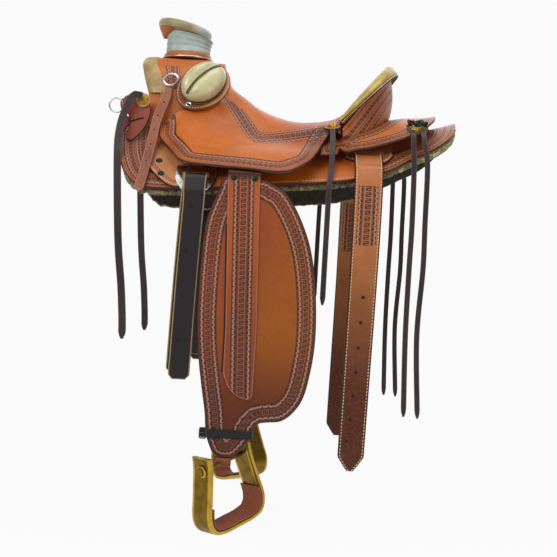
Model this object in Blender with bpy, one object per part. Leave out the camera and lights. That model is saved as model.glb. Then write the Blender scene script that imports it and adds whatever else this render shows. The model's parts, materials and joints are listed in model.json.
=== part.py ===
"""Ranch saddle with a slick fork, bucking rolls, fenders, stirrups, rigging and tie strings.

Metres, +Z up. The horn is at -X, the cantle at +X, the near (left) side at -Y. The origin is on the
centre plane, where the tree rests on a horse's back or on a rack. Every size below is a real size.
"""
import math

import bmesh
import bpy
from mathutils import Matrix, Vector

# Leather and clearances
SKIRT_THICK = 0.0045
JOCKEY_THICK = 0.0050
RIG_THICK = 0.0048
FENDER_THICK = 0.0045
STRAP_THICK = 0.0040
FLEECE_THICK = 0.0180
FLEECE_GAP = 0.0022
TREE_THICK = 0.0170
GAP = 0.0005

# The form of the horse's back that every lower layer follows: z = crown - curl * y * y
BACK_Z = 0.045
BACK_RISE = 0.45
BACK_CURL = 1.70
WITHER_CURL = 15.0

# Tree
BAR_FRONT_X = -0.262
BAR_REAR_X = 0.205
BAR_INNER_Y = 0.052
BAR_OUTER_Y = 0.150
FORK_FRONT_X = -0.288
FORK_REAR_X = -0.142
FORK_HALF_WIDTH = 0.132
FORK_TOP_Z = 0.210
FORK_FOOT_Z = 0.052
GULLET_HALF_WIDTH = 0.072
GULLET_TOP_Z = 0.158
COVER_THICK = 0.0045
GULLET_LEAN = 0.014
BINDING_DEPTH = 0.026
BINDING_WALL = 0.006

# Horn
HORN_X = -0.226
HORN_POST_RADIUS = 0.030
HORN_WRAP_RADIUS = 0.048
HORN_COLLAR_RADIUS = 0.052
HORN_COLLAR_HEIGHT = 0.014
HORN_WRAP_HEIGHT = 0.030
HORN_CAP_RADIUS = 0.060
HORN_CAP_THICK = 0.021
HORN_CAP_TILT = math.radians(12.5)
HORN_CAP_X = -0.235
HORN_CAP_Z = 0.2835

# Seat, measured along the centre plane: (x, z)
SEAT_PROFILE = ((-0.140, 0.186), (-0.125, 0.161), (-0.098, 0.141), (-0.061, 0.116), (-0.025, 0.101),
                (0.011, 0.092), (0.048, 0.090), (0.085, 0.096), (0.120, 0.112), (0.160, 0.146),
                (0.195, 0.187), (0.2165, 0.217))
SEAT_HALF_WIDTH_FRONT = 0.118
SEAT_HALF_WIDTH_REAR = 0.165
JOCKEY_LIFT = 0.0245
JOCKEY_FLARE = 0.016

# Lower edge of the side jockey seen from the side: (x, z)
JOCKEY_EDGE = ((-0.264, 0.062), (-0.266, 0.040), (-0.254, 0.017), (-0.228, -0.009), (-0.209, -0.028),
               (-0.185, -0.035), (-0.129, -0.039), (-0.072, -0.042), (-0.016, -0.046), (0.010, -0.042),
               (0.033, -0.030), (0.052, -0.016), (0.064, 0.003), (0.076, 0.028), (0.092, 0.056))

# Cantle
CANTLE_HALF_WIDTH = 0.170
CANTLE_END_X = 0.104
CANTLE_END_Z = 0.076
CANTLE_TOP_X = 0.220
CANTLE_TOP_Z = 0.224
CANTLE_THICK = 0.014
CANTLE_BACK_THICK = 0.004
RIM_RADIUS = 0.011
CANTLE_FOOT_X = 0.212
CANTLE_FOOT_Z = 0.106

# Skirt edge seen from the side: (x, z)
SKIRT_EDGE = ((-0.346, 0.052), (-0.343, 0.012), (-0.335, -0.024), (-0.317, -0.060), (-0.290, -0.081),
              (-0.245, -0.086), (-0.170, -0.083), (-0.085, -0.075), (0.001, -0.066), (0.075, -0.058),
              (0.142, -0.047), (0.206, -0.026), (0.265, 0.008), (0.315, 0.036), (0.343, 0.062),
              (0.356, 0.086), (0.363, 0.106))
SKIRT_FRONT_TOP_Y = 0.100
FLEECE_MARGIN = 0.010
SKIRT_COLUMNS = 24
SKIRT_ROWS = 8

# Rear jockey edge seen from the side: (x, z)
REAR_JOCKEY_EDGE = ((0.106, 0.020), (0.117, 0.010), (0.140, 0.014), (0.171, 0.020), (0.222, 0.038),
                    (0.258, 0.054), (0.290, 0.078), (0.310, 0.098), (0.318, 0.112))

# Rigging
RIG_EDGE = ((-0.288, -0.005), (-0.280, -0.030), (-0.266, -0.048), (-0.240, -0.070), (-0.2185, -0.079),
            (-0.180, -0.079), (-0.148, -0.076), (-0.137, -0.060), (-0.134, -0.040))
RIG_PLATE_FRONT_X = -0.216
RIG_PLATE_REAR_X = -0.138
RIG_PLATE_TOP_Z = -0.036
RIG_PLATE_BOTTOM_Z = -0.089
RIG_PLATE_THICK = 0.003
RIG_SLOT_TOP_Z = -0.046
RIG_SLOT_HEIGHT = 0.015
RIG_SLOT_WIDTH = 0.056
REAR_RIG_FRONT_X = 0.122
REAR_RIG_REAR_X = 0.218

# Latigo and off billet
LATIGO_WIDTH_TOP = 0.045
LATIGO_TOP_X = -0.1745
LATIGO_BOTTOM_X = -0.1850
LATIGO_BOTTOM_Z = -0.458
LATIGO_THICK = 0.0085
LATIGO_PLANE_Y = 0.2860

# Flank billet
BILLET_WIDTH_TOP = 0.058
BILLET_WIDTH_BOTTOM = 0.052
BILLET_TOP_X = 0.168
BILLET_BOTTOM_X = 0.161
BILLET_TOP_Z = 0.010
BILLET_TIP_Z = -0.622
BILLET_THICK = 0.0055
BILLET_PLANE_Y = 0.268

# Fender, seen from the side: (x, z), clockwise from the top front
FENDER_OUTLINE = ((-0.112, -0.056), (-0.126, -0.084), (-0.146, -0.142), (-0.153, -0.209), (-0.155, -0.299),
                  (-0.153, -0.359), (-0.147, -0.416), (-0.138, -0.472), (-0.130, -0.516), (-0.126, -0.552),
                  (-0.119, -0.578), (-0.104, -0.6015), (-0.072, -0.6035), (-0.045, -0.576), (-0.036, -0.552),
                  (-0.024, -0.536), (-0.007, -0.532), (0.020, -0.528), (0.043, -0.510), (0.061, -0.480),
                  (0.072, -0.431), (0.078, -0.375), (0.077, -0.309), (0.070, -0.241), (0.057, -0.181),
                  (0.033, -0.124), (0.004, -0.081), (-0.020, -0.067), (-0.041, -0.059))
FENDER_PLANE_Y = 0.2950
STIRRUP_LEATHER_WIDTH = 0.064
STIRRUP_LEATHER_TOP_X = -0.077
STIRRUP_LEATHER_FOOT_X = -0.064
STIRRUP_LEATHER_TOP_Z = -0.050
STIRRUP_LEATHER_FOOT_Z = -0.480
HANGER_WIDTH = 0.064
HANGER_PIVOT = (-0.077, 0.158, 0.012)
HANGER_FOOT_Z = -0.044
FENDER_HINGE_Z = -0.047
HOBBLE_Z = -0.558
HOBBLE_HEIGHT = 0.017
HOBBLE_HALF_WIDTH = 0.055
HOBBLE_X = -0.0815
HOBBLE_ROOM = 0.0026

# Stirrup, in its own frame: bolt axis along its x
STIRRUP_BOLT = (-0.088, FENDER_PLANE_Y + 0.0023, -0.6125)
STIRRUP_TURN = math.radians(47.0)
STIRRUP_TILT = math.radians(15.0)
STIRRUP_BAND = 0.051
STIRRUP_WALL = 0.0095
STIRRUP_TOP_WIDTH = 0.104
STIRRUP_TREAD_WIDTH = 0.146
STIRRUP_HEIGHT = 0.152
STIRRUP_ABOVE_BOLT = 0.026
STIRRUP_CORNER = 0.030
TREAD_THICK = 0.0035
BOLT_RADIUS = 0.0045

# Bucking roll, in the plane of its base flap
ROLL_CENTRE = (-0.178, 0.131, 0.146)
ROLL_NORMAL = (0.10, 0.90, 0.40)
ROLL_LONG = 0.104
ROLL_WIDE = 0.076
ROLL_HEIGHT = 0.034
ROLL_LEAN = math.radians(50.0)
ROLL_BASE_THICK = 0.0045
ROLL_BASE_MARGIN = 0.011
FERRULE_RADIUS = 0.0065

# Rope strap, breast ring and latigo keeper, all on the near side
ROPE_STRAP_WIDTH = 0.0195
ROPE_STRAP_THICK = 0.0040
BUCKLE_WIDTH = 0.034
BUCKLE_HEIGHT = 0.029
BUCKLE_WIRE = 0.0022
RING_RADIUS = 0.0145
RING_WIRE = 0.0018

# Tie strings
STRING_WIDTH = 0.0110
STRING_THICK = 0.0030

LEFT = -1
RIGHT = 1
SIDES = (("left", LEFT), ("right", RIGHT))

MATERIALS = {
    "saddle_leather": ((0.56, 0.22, 0.07), 0.45, 0.0),
    "fender_leather": ((0.42, 0.12, 0.045), 0.42, 0.0),
    "dark_leather": ((0.035, 0.024, 0.022), 0.55, 0.0),
    "red_leather": ((0.28, 0.09, 0.06), 0.6, 0.0),
    "rawhide": ((0.55, 0.40, 0.16), 0.35, 0.0),
    "roll_leather": ((0.56, 0.52, 0.27), 0.3, 0.0),
    "mulehide": ((0.38, 0.46, 0.42), 0.6, 0.0),
    "fleece": ((0.45, 0.42, 0.18), 0.95, 0.0),
    "wood": ((0.45, 0.30, 0.16), 0.6, 0.0),
    "brass": ((0.36, 0.25, 0.05), 0.35, 1.0),
    "steel": ((0.60, 0.61, 0.62), 0.25, 1.0),
}


def clear_scene():
    for old in list(bpy.data.objects):
        bpy.data.objects.remove(old, do_unlink=True)


def material(name):
    found = bpy.data.materials.get(name)
    if found:
        return found
    colour, rough, metal = MATERIALS[name]
    made = bpy.data.materials.new(name)
    made.use_nodes = True
    shader = made.node_tree.nodes["Principled BSDF"]
    shader.inputs["Base Color"].default_value = (*colour, 1.0)
    shader.inputs["Roughness"].default_value = rough
    shader.inputs["Metallic"].default_value = metal
    return made


def add_object(name, points, faces, finish, side=LEFT, origin=(0.0, 0.0, 0.0)):
    """Points are written for the near side, with y positive outwards; side mirrors them."""
    centre = Vector((origin[0], origin[1] * side, origin[2]))
    placed = [Vector((p[0], p[1] * side, p[2])) - centre for p in points]
    mesh = bpy.data.meshes.new(name)
    mesh.from_pydata(placed, [], faces)
    work = bmesh.new()
    work.from_mesh(mesh)
    bmesh.ops.remove_doubles(work, verts=work.verts, dist=1e-6)
    bmesh.ops.recalc_face_normals(work, faces=work.faces)
    work.to_mesh(mesh)
    work.free()
    mesh.shade_smooth()
    mesh.set_sharp_from_angle(angle=math.radians(40))
    made = bpy.data.objects.new(name, mesh)
    made.location = centre
    mesh.materials.append(material(finish))
    bpy.context.scene.collection.objects.link(made)
    return made


def add_cutter(name, points, faces, side=LEFT):
    made = add_object(name, points, faces, "wood", side)
    made.hide_render = True
    made.display_type = "WIRE"
    return made


def cut(target, cutter, operation="DIFFERENCE"):
    step = target.modifiers.new(cutter.name, "BOOLEAN")
    step.operation = operation
    step.solver = "EXACT"
    step.object = cutter


def smooth_line(points, count, closed=False):
    """Catmull-Rom curve through the points, with evenly spaced samples."""
    pts = [Vector(p) for p in points]
    if closed:
        ctrl = [pts[-1]] + pts + [pts[0], pts[1]]
    else:
        ctrl = [pts[0] * 2 - pts[1]] + pts + [pts[-1] * 2 - pts[-2]]
    fine = []
    steps = 12
    for a, b, c, d in zip(ctrl, ctrl[1:], ctrl[2:], ctrl[3:]):
        for k in range(steps):
            t = k / steps
            fine.append(0.5 * (2 * b + (c - a) * t + (2 * a - 5 * b + 4 * c - d) * t * t
                               + (3 * b - a - 3 * c + d) * t ** 3))
    fine.append(ctrl[-2].copy())
    return even_samples(fine, count, closed)


def even_samples(line, count, closed=False):
    lengths = [0.0]
    for a, b in zip(line, line[1:]):
        lengths.append(lengths[-1] + (b - a).length)
    total = lengths[-1]
    out = []
    last = count if closed else count - 1
    k = 0
    for i in range(count):
        want = total * i / last
        while k < len(lengths) - 2 and lengths[k + 1] < want:
            k += 1
        span = max(lengths[k + 1] - lengths[k], 1e-9)
        out.append(line[k].lerp(line[k + 1], min(1.0, (want - lengths[k]) / span)))
    return out


def read_curve(points, x):
    """Height of a smooth curve of (x, z) points at x, by monotone cubic steps."""
    if x <= points[0][0]:
        return points[0][1]
    if x >= points[-1][0]:
        return points[-1][1]
    k = 0
    while points[k + 1][0] < x:
        k += 1
    slopes = []
    for i in (k, k + 1):
        lo = max(i - 1, 0)
        hi = min(i + 1, len(points) - 1)
        slopes.append((points[hi][1] - points[lo][1]) / (points[hi][0] - points[lo][0]))
    (x0, z0), (x1, z1) = points[k], points[k + 1]
    h = x1 - x0
    t = (x - x0) / h
    return ((2 * t ** 3 - 3 * t * t + 1) * z0 + (t ** 3 - 2 * t * t + t) * h * slopes[0]
            + (3 * t * t - 2 * t ** 3) * z1 + (t ** 3 - t * t) * h * slopes[1])


def crown(x):
    return BACK_Z + BACK_RISE * x * x


def curl(x):
    return BACK_CURL + (WITHER_CURL * x * x if x < 0 else 0.0)


def on_back(x, y, lift):
    """Point above (x, y) of the horse's back, moved out by lift along the back's normal."""
    slope = 2 * curl(x) * y
    size = math.hypot(slope, 1.0)
    return Vector((x, y + lift * slope / size, crown(x) - curl(x) * y * y + lift / size))


def back_y(x, z, lift=0.0):
    """The y of the back where a layer lifted by lift reaches height z."""
    low, high = 0.0, 0.40
    for _ in range(40):
        mid = (low + high) / 2
        if on_back(x, mid, lift).z > z:
            low = mid
        else:
            high = mid
    return (low + high) / 2


def slab(name, outer, inner, quads, finish, side=LEFT, origin=(0.0, 0.0, 0.0)):
    """Closed solid between two matching sheets of points, with walls along their open edges."""
    count = len(outer)
    faces = [tuple(q) for q in quads]
    faces += [tuple(count + i for i in reversed(q)) for q in quads]
    seen = {}
    for q in quads:
        for a, b in zip(q, q[1:] + q[:1]):
            seen[(a, b)] = True
    for a, b in seen:
        if (b, a) not in seen:
            faces.append((b, a, a + count, b + count))
    return add_object(name, list(outer) + list(inner), faces, finish, side, origin)


def grid_quads(columns, rows):
    return [(i * rows + j, (i + 1) * rows + j, (i + 1) * rows + j + 1, i * rows + j + 1)
            for i in range(columns - 1) for j in range(rows - 1)]


def back_layer(name, columns, top_y, bottom_y, rows, lift_low, lift_high, finish, side):
    """A leather layer over the back. The lifts are functions of (x, share down the row)."""
    outer = []
    inner = []
    for x in columns:
        y0, y1 = top_y(x), bottom_y(x)
        for j in range(rows):
            s = j / (rows - 1)
            y = y0 + (y1 - y0) * s
            outer.append(on_back(x, y, lift_high(x, s)))
            inner.append(on_back(x, y, lift_low(x, s)))
    return slab(name, outer, inner, grid_quads(len(columns), rows), finish, side)


def spread(low, high, count, ends=0.35):
    """Values from low to high, closer together near both ends."""
    out = []
    for i in range(count):
        t = i / (count - 1)
        eased = (1 - math.cos(math.pi * t)) / 2
        out.append(low + (high - low) * (t * (1 - ends) + eased * ends))
    return out


def plate(name, outline, inner_y, thick, finish, side, origin=(0.0, 0.0, 0.0)):
    """Upright plate seen from the side: outline in (x, z), between two y planes."""
    count = len(outline)
    back = [Vector((p[0], inner_y, p[1])) for p in outline]
    front = [Vector((p[0], inner_y + thick, p[1])) for p in outline]
    faces = [tuple(range(count)), tuple(range(2 * count - 1, count - 1, -1))]
    faces += [(i, i + count, (i + 1) % count + count, (i + 1) % count) for i in range(count)]
    return add_object(name, back + front, faces, finish, side, origin)


def ribbon(name, path, widths, across, thicks, finish, side, origin=(0.0, 0.0, 0.0)):
    """Flat strap along a path: across gives its width direction at each point."""
    if isinstance(thicks, float):
        thicks = [thicks] * len(path)
    points = []
    for i, p in enumerate(path):
        ahead = path[min(i + 1, len(path) - 1)] - path[max(i - 1, 0)]
        wide = across[i].normalized()
        face = ahead.normalized().cross(wide).normalized()
        half = widths[i] / 2
        rise = face * thicks[i] / 2
        points += [p - wide * half - rise, p + wide * half - rise, p + wide * half + rise, p - wide * half + rise]
    faces = [(3, 2, 1, 0)]
    for i in range(len(path) - 1):
        a, b = 4 * i, 4 * (i + 1)
        faces += [(a + k, a + (k + 1) % 4, b + (k + 1) % 4, b + k) for k in range(4)]
    last = 4 * (len(path) - 1)
    faces.append((last, last + 1, last + 2, last + 3))
    return add_object(name, points, faces, finish, side, origin)


def turned(name, profile, centre, finish, side=LEFT, tilt=0.0, segments=40, closed_core=True):
    """Turned piece: profile of (radius, height), turned about z, then tilted about y."""
    turn = Matrix.Rotation(tilt, 3, "Y")
    points = []
    for k in range(segments):
        a = 2 * math.pi * k / segments
        for r, h in profile:
            points.append(turn @ Vector((r * math.cos(a), r * math.sin(a), h)) + Vector(centre))
    n = len(profile)
    faces = []
    last = n if not closed_core else n - 1
    for k in range(segments):
        a, b = k * n, (k + 1) % segments * n
        faces += [(a + i, b + i, b + (i + 1) % n, a + (i + 1) % n) for i in range(last)]
    if closed_core:
        faces.append(tuple(k * n for k in range(segments)))
        faces.append(tuple(k * n + n - 1 for k in reversed(range(segments))))
    return add_object(name, points, faces, finish, side)


BAR_LOW = SKIRT_THICK + GAP + 0.0004
BAR_TOP = BAR_LOW + TREE_THICK


def ease(low, high, x):
    t = max(0.0, min(1.0, (x - low) / (high - low)))
    return t * t * (3 - 2 * t)


def skirt_top(x):
    front = SKIRT_FRONT_TOP_Y * (1 - ease(-0.34, -0.24, x))
    middle = BAR_INNER_Y * (1 - ease(0.20, 0.31, x))
    return max(front, middle, 0.003)


def skirt_bottom(x):
    return max(back_y(x, read_curve(SKIRT_EDGE, x)), skirt_top(x) + 0.012)


def make_skirt(label, side):
    xs = spread(SKIRT_EDGE[0][0], SKIRT_EDGE[-1][0], SKIRT_COLUMNS, 0.8)
    back_layer("skirt_" + label, xs, skirt_top, skirt_bottom, SKIRT_ROWS,
               lambda x, s: 0.0, lambda x, s: SKIRT_THICK, "saddle_leather", side)


def make_sheepskin(label, side):
    """Fleece on the skirt's own grid, with one more row and column beyond each of its edges."""
    columns = spread(SKIRT_EDGE[0][0], SKIRT_EDGE[-1][0], SKIRT_COLUMNS, 0.8)
    columns = [columns[0] - 0.004] + columns + [columns[-1] + 0.007]
    outer = []
    inner = []
    for x in columns:
        inside = min(max(x, SKIRT_EDGE[0][0]), SKIRT_EDGE[-1][0])
        y0, y1 = skirt_top(inside), skirt_bottom(inside)
        ys = [y0 + (y1 - y0) * j / (SKIRT_ROWS - 1) for j in range(SKIRT_ROWS)]
        ys.append(y1 + FLEECE_MARGIN * (0.55 + 0.45 * ease(-0.34, -0.25, x)))
        for y in ys:
            outer.append(on_back(x, y, -FLEECE_GAP))
            inner.append(on_back(x, y, -FLEECE_THICK))
    slab("sheepskin_" + label, outer, inner, grid_quads(len(columns), SKIRT_ROWS + 1), "fleece", side)


def make_tree_bar(label, side):
    xs = spread(BAR_FRONT_X, BAR_REAR_X, 16)
    back_layer("tree_bar_" + label, xs, lambda x: BAR_INNER_Y + 0.006,
               lambda x: BAR_OUTER_Y - 0.012 * (1 - ease(-0.25, -0.20, x)) - 0.012 * ease(0.16, 0.20, x),
               7, lambda x, s: BAR_LOW, lambda x, s: BAR_TOP, "wood", side)


def bar_height(x, y):
    return crown(x) - curl(x) * y * y + (BAR_TOP + GAP) * math.hypot(1.0, 2 * curl(x) * y) + 0.0006


def arch_foot(x, half):
    """Height where an arch leg stands on the bar, clear of the bar's crown between its two legs."""
    swell = curl(x) * ((FORK_HALF_WIDTH - GULLET_HALF_WIDTH) / 2) ** 2
    return bar_height(x, half) + swell


def arch_point(x, share, half, top, turn):
    """Point of the fork's arch: share is 1 at the front face and 0 at the rear, for the lean."""
    side = math.sin(turn)
    height = max(0.0, 1 - abs(side) ** 3) ** 0.55
    foot = arch_foot(x, half)
    return Vector((x - GULLET_LEAN * height * share, half * side, foot + (top - foot) * height))


def arch_solid(name, xs, shares, wide, high, limit, steps, finish, tops=None):
    """Arch between an outer and an inner curve: wide and high are (outer, inner) sizes."""
    outer = []
    inner = []
    for x, share in zip(xs, shares):
        for j in range(steps):
            turn = limit * (2 * j / (steps - 1) - 1)
            outer.append(arch_point(x, share, wide[0], high[0], turn))
            inner.append(arch_point(x, share, wide[1], high[1], turn))
    return slab(name, outer, inner, grid_quads(len(xs), steps), finish)


def make_fork():
    steps = 25
    xs = spread(FORK_FRONT_X, FORK_REAR_X, 5, 0.0)
    shares = [1.0, 0.75, 0.5, 0.15, 0.0]
    full = math.radians(90)
    arch_solid("tree_fork", xs, shares, (FORK_HALF_WIDTH, GULLET_HALF_WIDTH),
               (FORK_TOP_Z, GULLET_TOP_Z), full, steps, "wood")
    low = 2 * GAP
    high = low + COVER_THICK
    arch_solid("fork_cover", xs, shares, (FORK_HALF_WIDTH + high, FORK_HALF_WIDTH + low),
               (FORK_TOP_Z + high, FORK_TOP_Z + low), full, steps, "saddle_leather")
    front = [FORK_FRONT_X - BINDING_DEPTH, FORK_FRONT_X - BINDING_DEPTH * 0.8, FORK_FRONT_X - 0.0012]
    arch_solid("gullet_binding", front, [1.0, 1.0, 1.0],
               (FORK_HALF_WIDTH + high, GULLET_HALF_WIDTH - 0.002),
               (FORK_TOP_Z + high, GULLET_TOP_Z - 0.002), math.radians(62), steps, "rawhide")


COVER_TOP = FORK_TOP_Z + 2 * GAP + COVER_THICK
CAP_AXIS = Vector((math.sin(HORN_CAP_TILT), 0.0, math.cos(HORN_CAP_TILT)))


def under_cap(x, y):
    """Height of the horn cap's underside above a point."""
    low = Vector((HORN_CAP_X, 0.0, HORN_CAP_Z)) - CAP_AXIS * (HORN_CAP_THICK / 2)
    return low.z - (x - low.x) * CAP_AXIS.x / CAP_AXIS.z


def horn_ring(name, inner, outer, low, finish, rounding):
    """Ring round the horn post that stands at height low and reaches up to the tilted cap."""
    segments = 32
    points = []
    for k in range(segments):
        a = 2 * math.pi * k / segments
        for r, lift in ((inner, 0), (outer - rounding, 0), (outer, rounding)):
            points.append((HORN_X + r * math.cos(a), r * math.sin(a), low + lift))
        for r, drop in ((outer, rounding), (outer - rounding, 0.0), (inner, 0.0)):
            x, y = HORN_X + r * math.cos(a), r * math.sin(a)
            points.append((x, y, under_cap(x, y) - GAP - drop))
    n = 6
    faces = []
    for k in range(segments):
        a, b = k * n, (k + 1) % segments * n
        faces += [(a + i, b + i, b + (i + 1) % n, a + (i + 1) % n) for i in range(n)]
    return add_object(name, points, faces, finish)


def make_horn():
    foot = COVER_TOP + GAP
    segments = 28
    post = []
    for k in range(segments):
        a = 2 * math.pi * k / segments
        x, y = HORN_X + HORN_POST_RADIUS * math.cos(a), HORN_POST_RADIUS * math.sin(a)
        post += [(x, y, foot), (x, y, under_cap(x, y) - GAP)]
    faces = [(2 * k, 2 * k + 1, 2 * ((k + 1) % segments) + 1, 2 * ((k + 1) % segments))
             for k in range(segments)]
    faces.append(tuple(2 * k for k in range(segments)))
    faces.append(tuple(2 * k + 1 for k in reversed(range(segments))))
    add_object("horn_post", post, faces, "wood")
    bore = HORN_POST_RADIUS + GAP
    top = foot + HORN_COLLAR_HEIGHT
    turned("horn_collar", ((bore, foot), (HORN_COLLAR_RADIUS, foot), (HORN_COLLAR_RADIUS, top - 0.004),
                           (HORN_COLLAR_RADIUS - 0.003, top), (bore, top)),
           (HORN_X, 0, 0), "saddle_leather", closed_core=False, segments=32)
    horn_ring("horn_wrap", bore, HORN_WRAP_RADIUS, top + GAP, "mulehide", 0.004)
    half = HORN_CAP_THICK / 2
    r = HORN_CAP_RADIUS
    turned("horn_cap", ((0.75 * r, -half), (0.93 * r, -half * 0.85), (r, -half * 0.3), (r, half * 0.4),
                        (0.95 * r, half * 0.85), (0.86 * r, half)),
           (HORN_CAP_X, 0, HORN_CAP_Z), "mulehide", tilt=HORN_CAP_TILT, segments=32)


RIM_INSET = 0.0125
REAR_STEP = JOCKEY_THICK + GAP
JOCKEY_FOOT_SHIFT = 0.011
JOCKEY_FOOT_LONG = 0.1106
JOCKEY_FOOT_WIDE = 0.1665
WING_Y = FORK_HALF_WIDTH + 2 * GAP + COVER_THICK + 0.0015
WING_TOP_Z = 0.088
SEAT_FRONT_X = FORK_REAR_X + 0.0015
SEAT_INNER_ROWS = 5
SEAT_OUTER_ROWS = 6
GROUND_SEAT_ROOM = 0.0035
SEAT_REAR_X = CANTLE_TOP_X - RIM_INSET - 0.0005


def rim_share(x):
    return max(0.0, min(1.0, (x - CANTLE_END_X) / (CANTLE_TOP_X - CANTLE_END_X - RIM_INSET)))


def rim_half(x):
    return (CANTLE_HALF_WIDTH - RIM_INSET) * math.sqrt(max(0.0, 1 - rim_share(x) ** 2))


def rim_height(x):
    return CANTLE_END_Z + (CANTLE_TOP_Z - CANTLE_END_Z) * rim_share(x) - 0.9 * RIM_INSET


def seat_side(x, y):
    """Underside of the side jockey, which stands off the leathers that hang below it."""
    flare = JOCKEY_FLARE * ease(0.165, 0.265, y) * ease(-0.262, -0.200, x)
    lift = JOCKEY_LIFT + REAR_STEP * ease(0.02, 0.055, x) + flare
    return crown(x) - curl(x) * y * y + lift * math.hypot(1.0, 2 * curl(x) * y)


def seat_low(x, y):
    """Underside of the seat leather: the rider's dish, then the fall to the side jockey."""
    y = abs(y)
    side = seat_side(x, y)
    if x < SEAT_FRONT_X:
        top = WING_TOP_Z - 0.030 * (1 - ease(-0.268, -0.215, x))
        form = top - 3.2 * (y - WING_Y)
    else:
        middle = read_curve(SEAT_PROFILE, x) - JOCKEY_THICK
        if x <= CANTLE_END_X:
            half = SEAT_HALF_WIDTH_FRONT + (CANTLE_HALF_WIDTH - RIM_INSET - SEAT_HALF_WIDTH_FRONT) * ease(
                -0.10, 0.06, x)
            edge = seat_side(x, half)
            corner = rim_height(CANTLE_END_X) - seat_side(CANTLE_END_X, half)
            edge += corner * ease(-0.06, CANTLE_END_X, x)
        else:
            half = max(rim_half(x), 0.002)
            edge = rim_height(x)
        power = 2.6 - 0.6 * ease(0.06, 0.12, x)
        if y < half:
            form = middle - (middle - edge) * (y / half) ** power
        else:
            form = edge - 1.3 * (y - half)
    soft = 0.006
    gap = form - side
    return side + (gap + math.sqrt(gap * gap + soft * soft)) / 2


def seat_normal(x, y):
    d = 0.0008
    x0, x1 = x - d, x + d
    if x0 < SEAT_FRONT_X <= x:
        x0 = x
    if x < SEAT_FRONT_X <= x1:
        x1 = x
    slope_x = (seat_low(x1, y) - seat_low(x0, y)) / (x1 - x0)
    slope_y = (seat_low(x, y + d) - seat_low(x, y - d)) / (2 * d)
    return Vector((-slope_x, -slope_y, 1.0)).normalized()


def jockey_bottom(x):
    if x > CANTLE_END_X:
        return rim_half(x)
    edge = read_curve(JOCKEY_EDGE, x)
    low, high = 0.10, 0.36
    for _ in range(40):
        mid = (low + high) / 2
        if seat_low(x, mid) > edge:
            low = mid
        else:
            high = mid
    return low


def seat_row_y(x, bottom, row):
    """Rows run from the centre to the wing line, and from there to the jockey's lower edge."""
    e = ease(FORK_REAR_X + 0.010, FORK_REAR_X + 0.120, x)
    middle = WING_Y * (1 - e) + 0.55 * bottom * e
    if row <= SEAT_INNER_ROWS:
        return middle * row / SEAT_INNER_ROWS
    return middle + (bottom - middle) * (row - SEAT_INNER_ROWS) / SEAT_OUTER_ROWS


def make_seat():
    """One leather: the seat and both side jockeys, notched in front for the fork."""
    rows = SEAT_INNER_ROWS + SEAT_OUTER_ROWS + 1
    wing = spread(JOCKEY_EDGE[0][0], FORK_REAR_X + 0.0010, 7, 0.5)
    body = spread(SEAT_FRONT_X, CANTLE_END_X, 13, 0.3) + spread(CANTLE_END_X + 0.010, SEAT_REAR_X, 8, 0.6)
    inner = []
    outer = []
    quads = []
    place = {}
    for side in (1, -1):
        for i, x in enumerate(wing + body):
            first = SEAT_INNER_ROWS if i < len(wing) else 0
            bottom = max(jockey_bottom(x), WING_Y + 0.008 if first else 0.0025)
            for row in range(first, rows):
                if row == 0 and side == -1:
                    place[(side, i, row)] = place[(1, i, row)]
                    continue
                y = seat_row_y(x, bottom, row)
                normal = seat_normal(x, y)
                if row == 0:
                    normal.y = 0.0
                low = Vector((x, y, seat_low(x, y)))
                high = low + normal * JOCKEY_THICK
                place[(side, i, row)] = len(inner)
                inner.append(Vector((low.x, low.y * side, low.z)))
                outer.append(Vector((high.x, high.y * side, high.z)))
        for i in range(len(wing) + len(body) - 1):
            first = SEAT_INNER_ROWS if i < len(wing) else 0
            for row in range(first, rows - 1):
                quad = [(side, i, row), (side, i + 1, row), (side, i + 1, row + 1), (side, i, row + 1)]
                quad = tuple(place[key] for key in quad)
                quads.append(quad if side == 1 else quad[::-1])
    slab("seat_leather", outer, inner, quads, "saddle_leather")


def make_ground_seat():
    xs = spread(SEAT_FRONT_X + 0.002, CANTLE_END_X - 0.006, 12, 0.2)
    rows = 15
    half = BAR_OUTER_Y - 0.032
    top = []
    low = []
    for x in xs:
        for j in range(rows):
            y = half * (2 * j / (rows - 1) - 1)
            room = GROUND_SEAT_ROOM / max(0.3, seat_normal(x, abs(y)).z)
            top.append(Vector((x, y, max(seat_low(x, y) - room, bar_height(x, y) + 0.0010))))
            low.append(Vector((x, y, bar_height(x, y))))
    slab("ground_seat", top, low, grid_quads(len(xs), rows), "wood")


def rim_point(turn, inset):
    c, s = math.cos(turn), math.sin(turn)
    return Vector((CANTLE_END_X + (CANTLE_TOP_X - CANTLE_END_X - inset) * c,
                   (CANTLE_HALF_WIDTH - inset) * s,
                   CANTLE_END_Z + (CANTLE_TOP_Z - CANTLE_END_Z) * c - 0.9 * inset))


def cantle_back_point(turn, share, out):
    """Point on the cantle's rear face, share 0 under the rim to 1 at the foot."""
    c, s = math.cos(turn), math.sin(turn)
    top = rim_point(turn, RIM_INSET + 0.002) + Vector((0.008, 0, 0))
    foot_x = CANTLE_END_X + 0.012 + (CANTLE_FOOT_X - CANTLE_END_X - 0.012) * c
    foot_y = (CANTLE_HALF_WIDTH - RIM_INSET + 0.002) * s
    foot = Vector((foot_x, foot_y, bar_height(foot_x, abs(foot_y)) + GAP))
    p = top.lerp(foot, share)
    bulge = 0.010 * math.sin(math.pi * share) * c
    return p + Vector((c * (out + bulge), s * out, 0))


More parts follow.
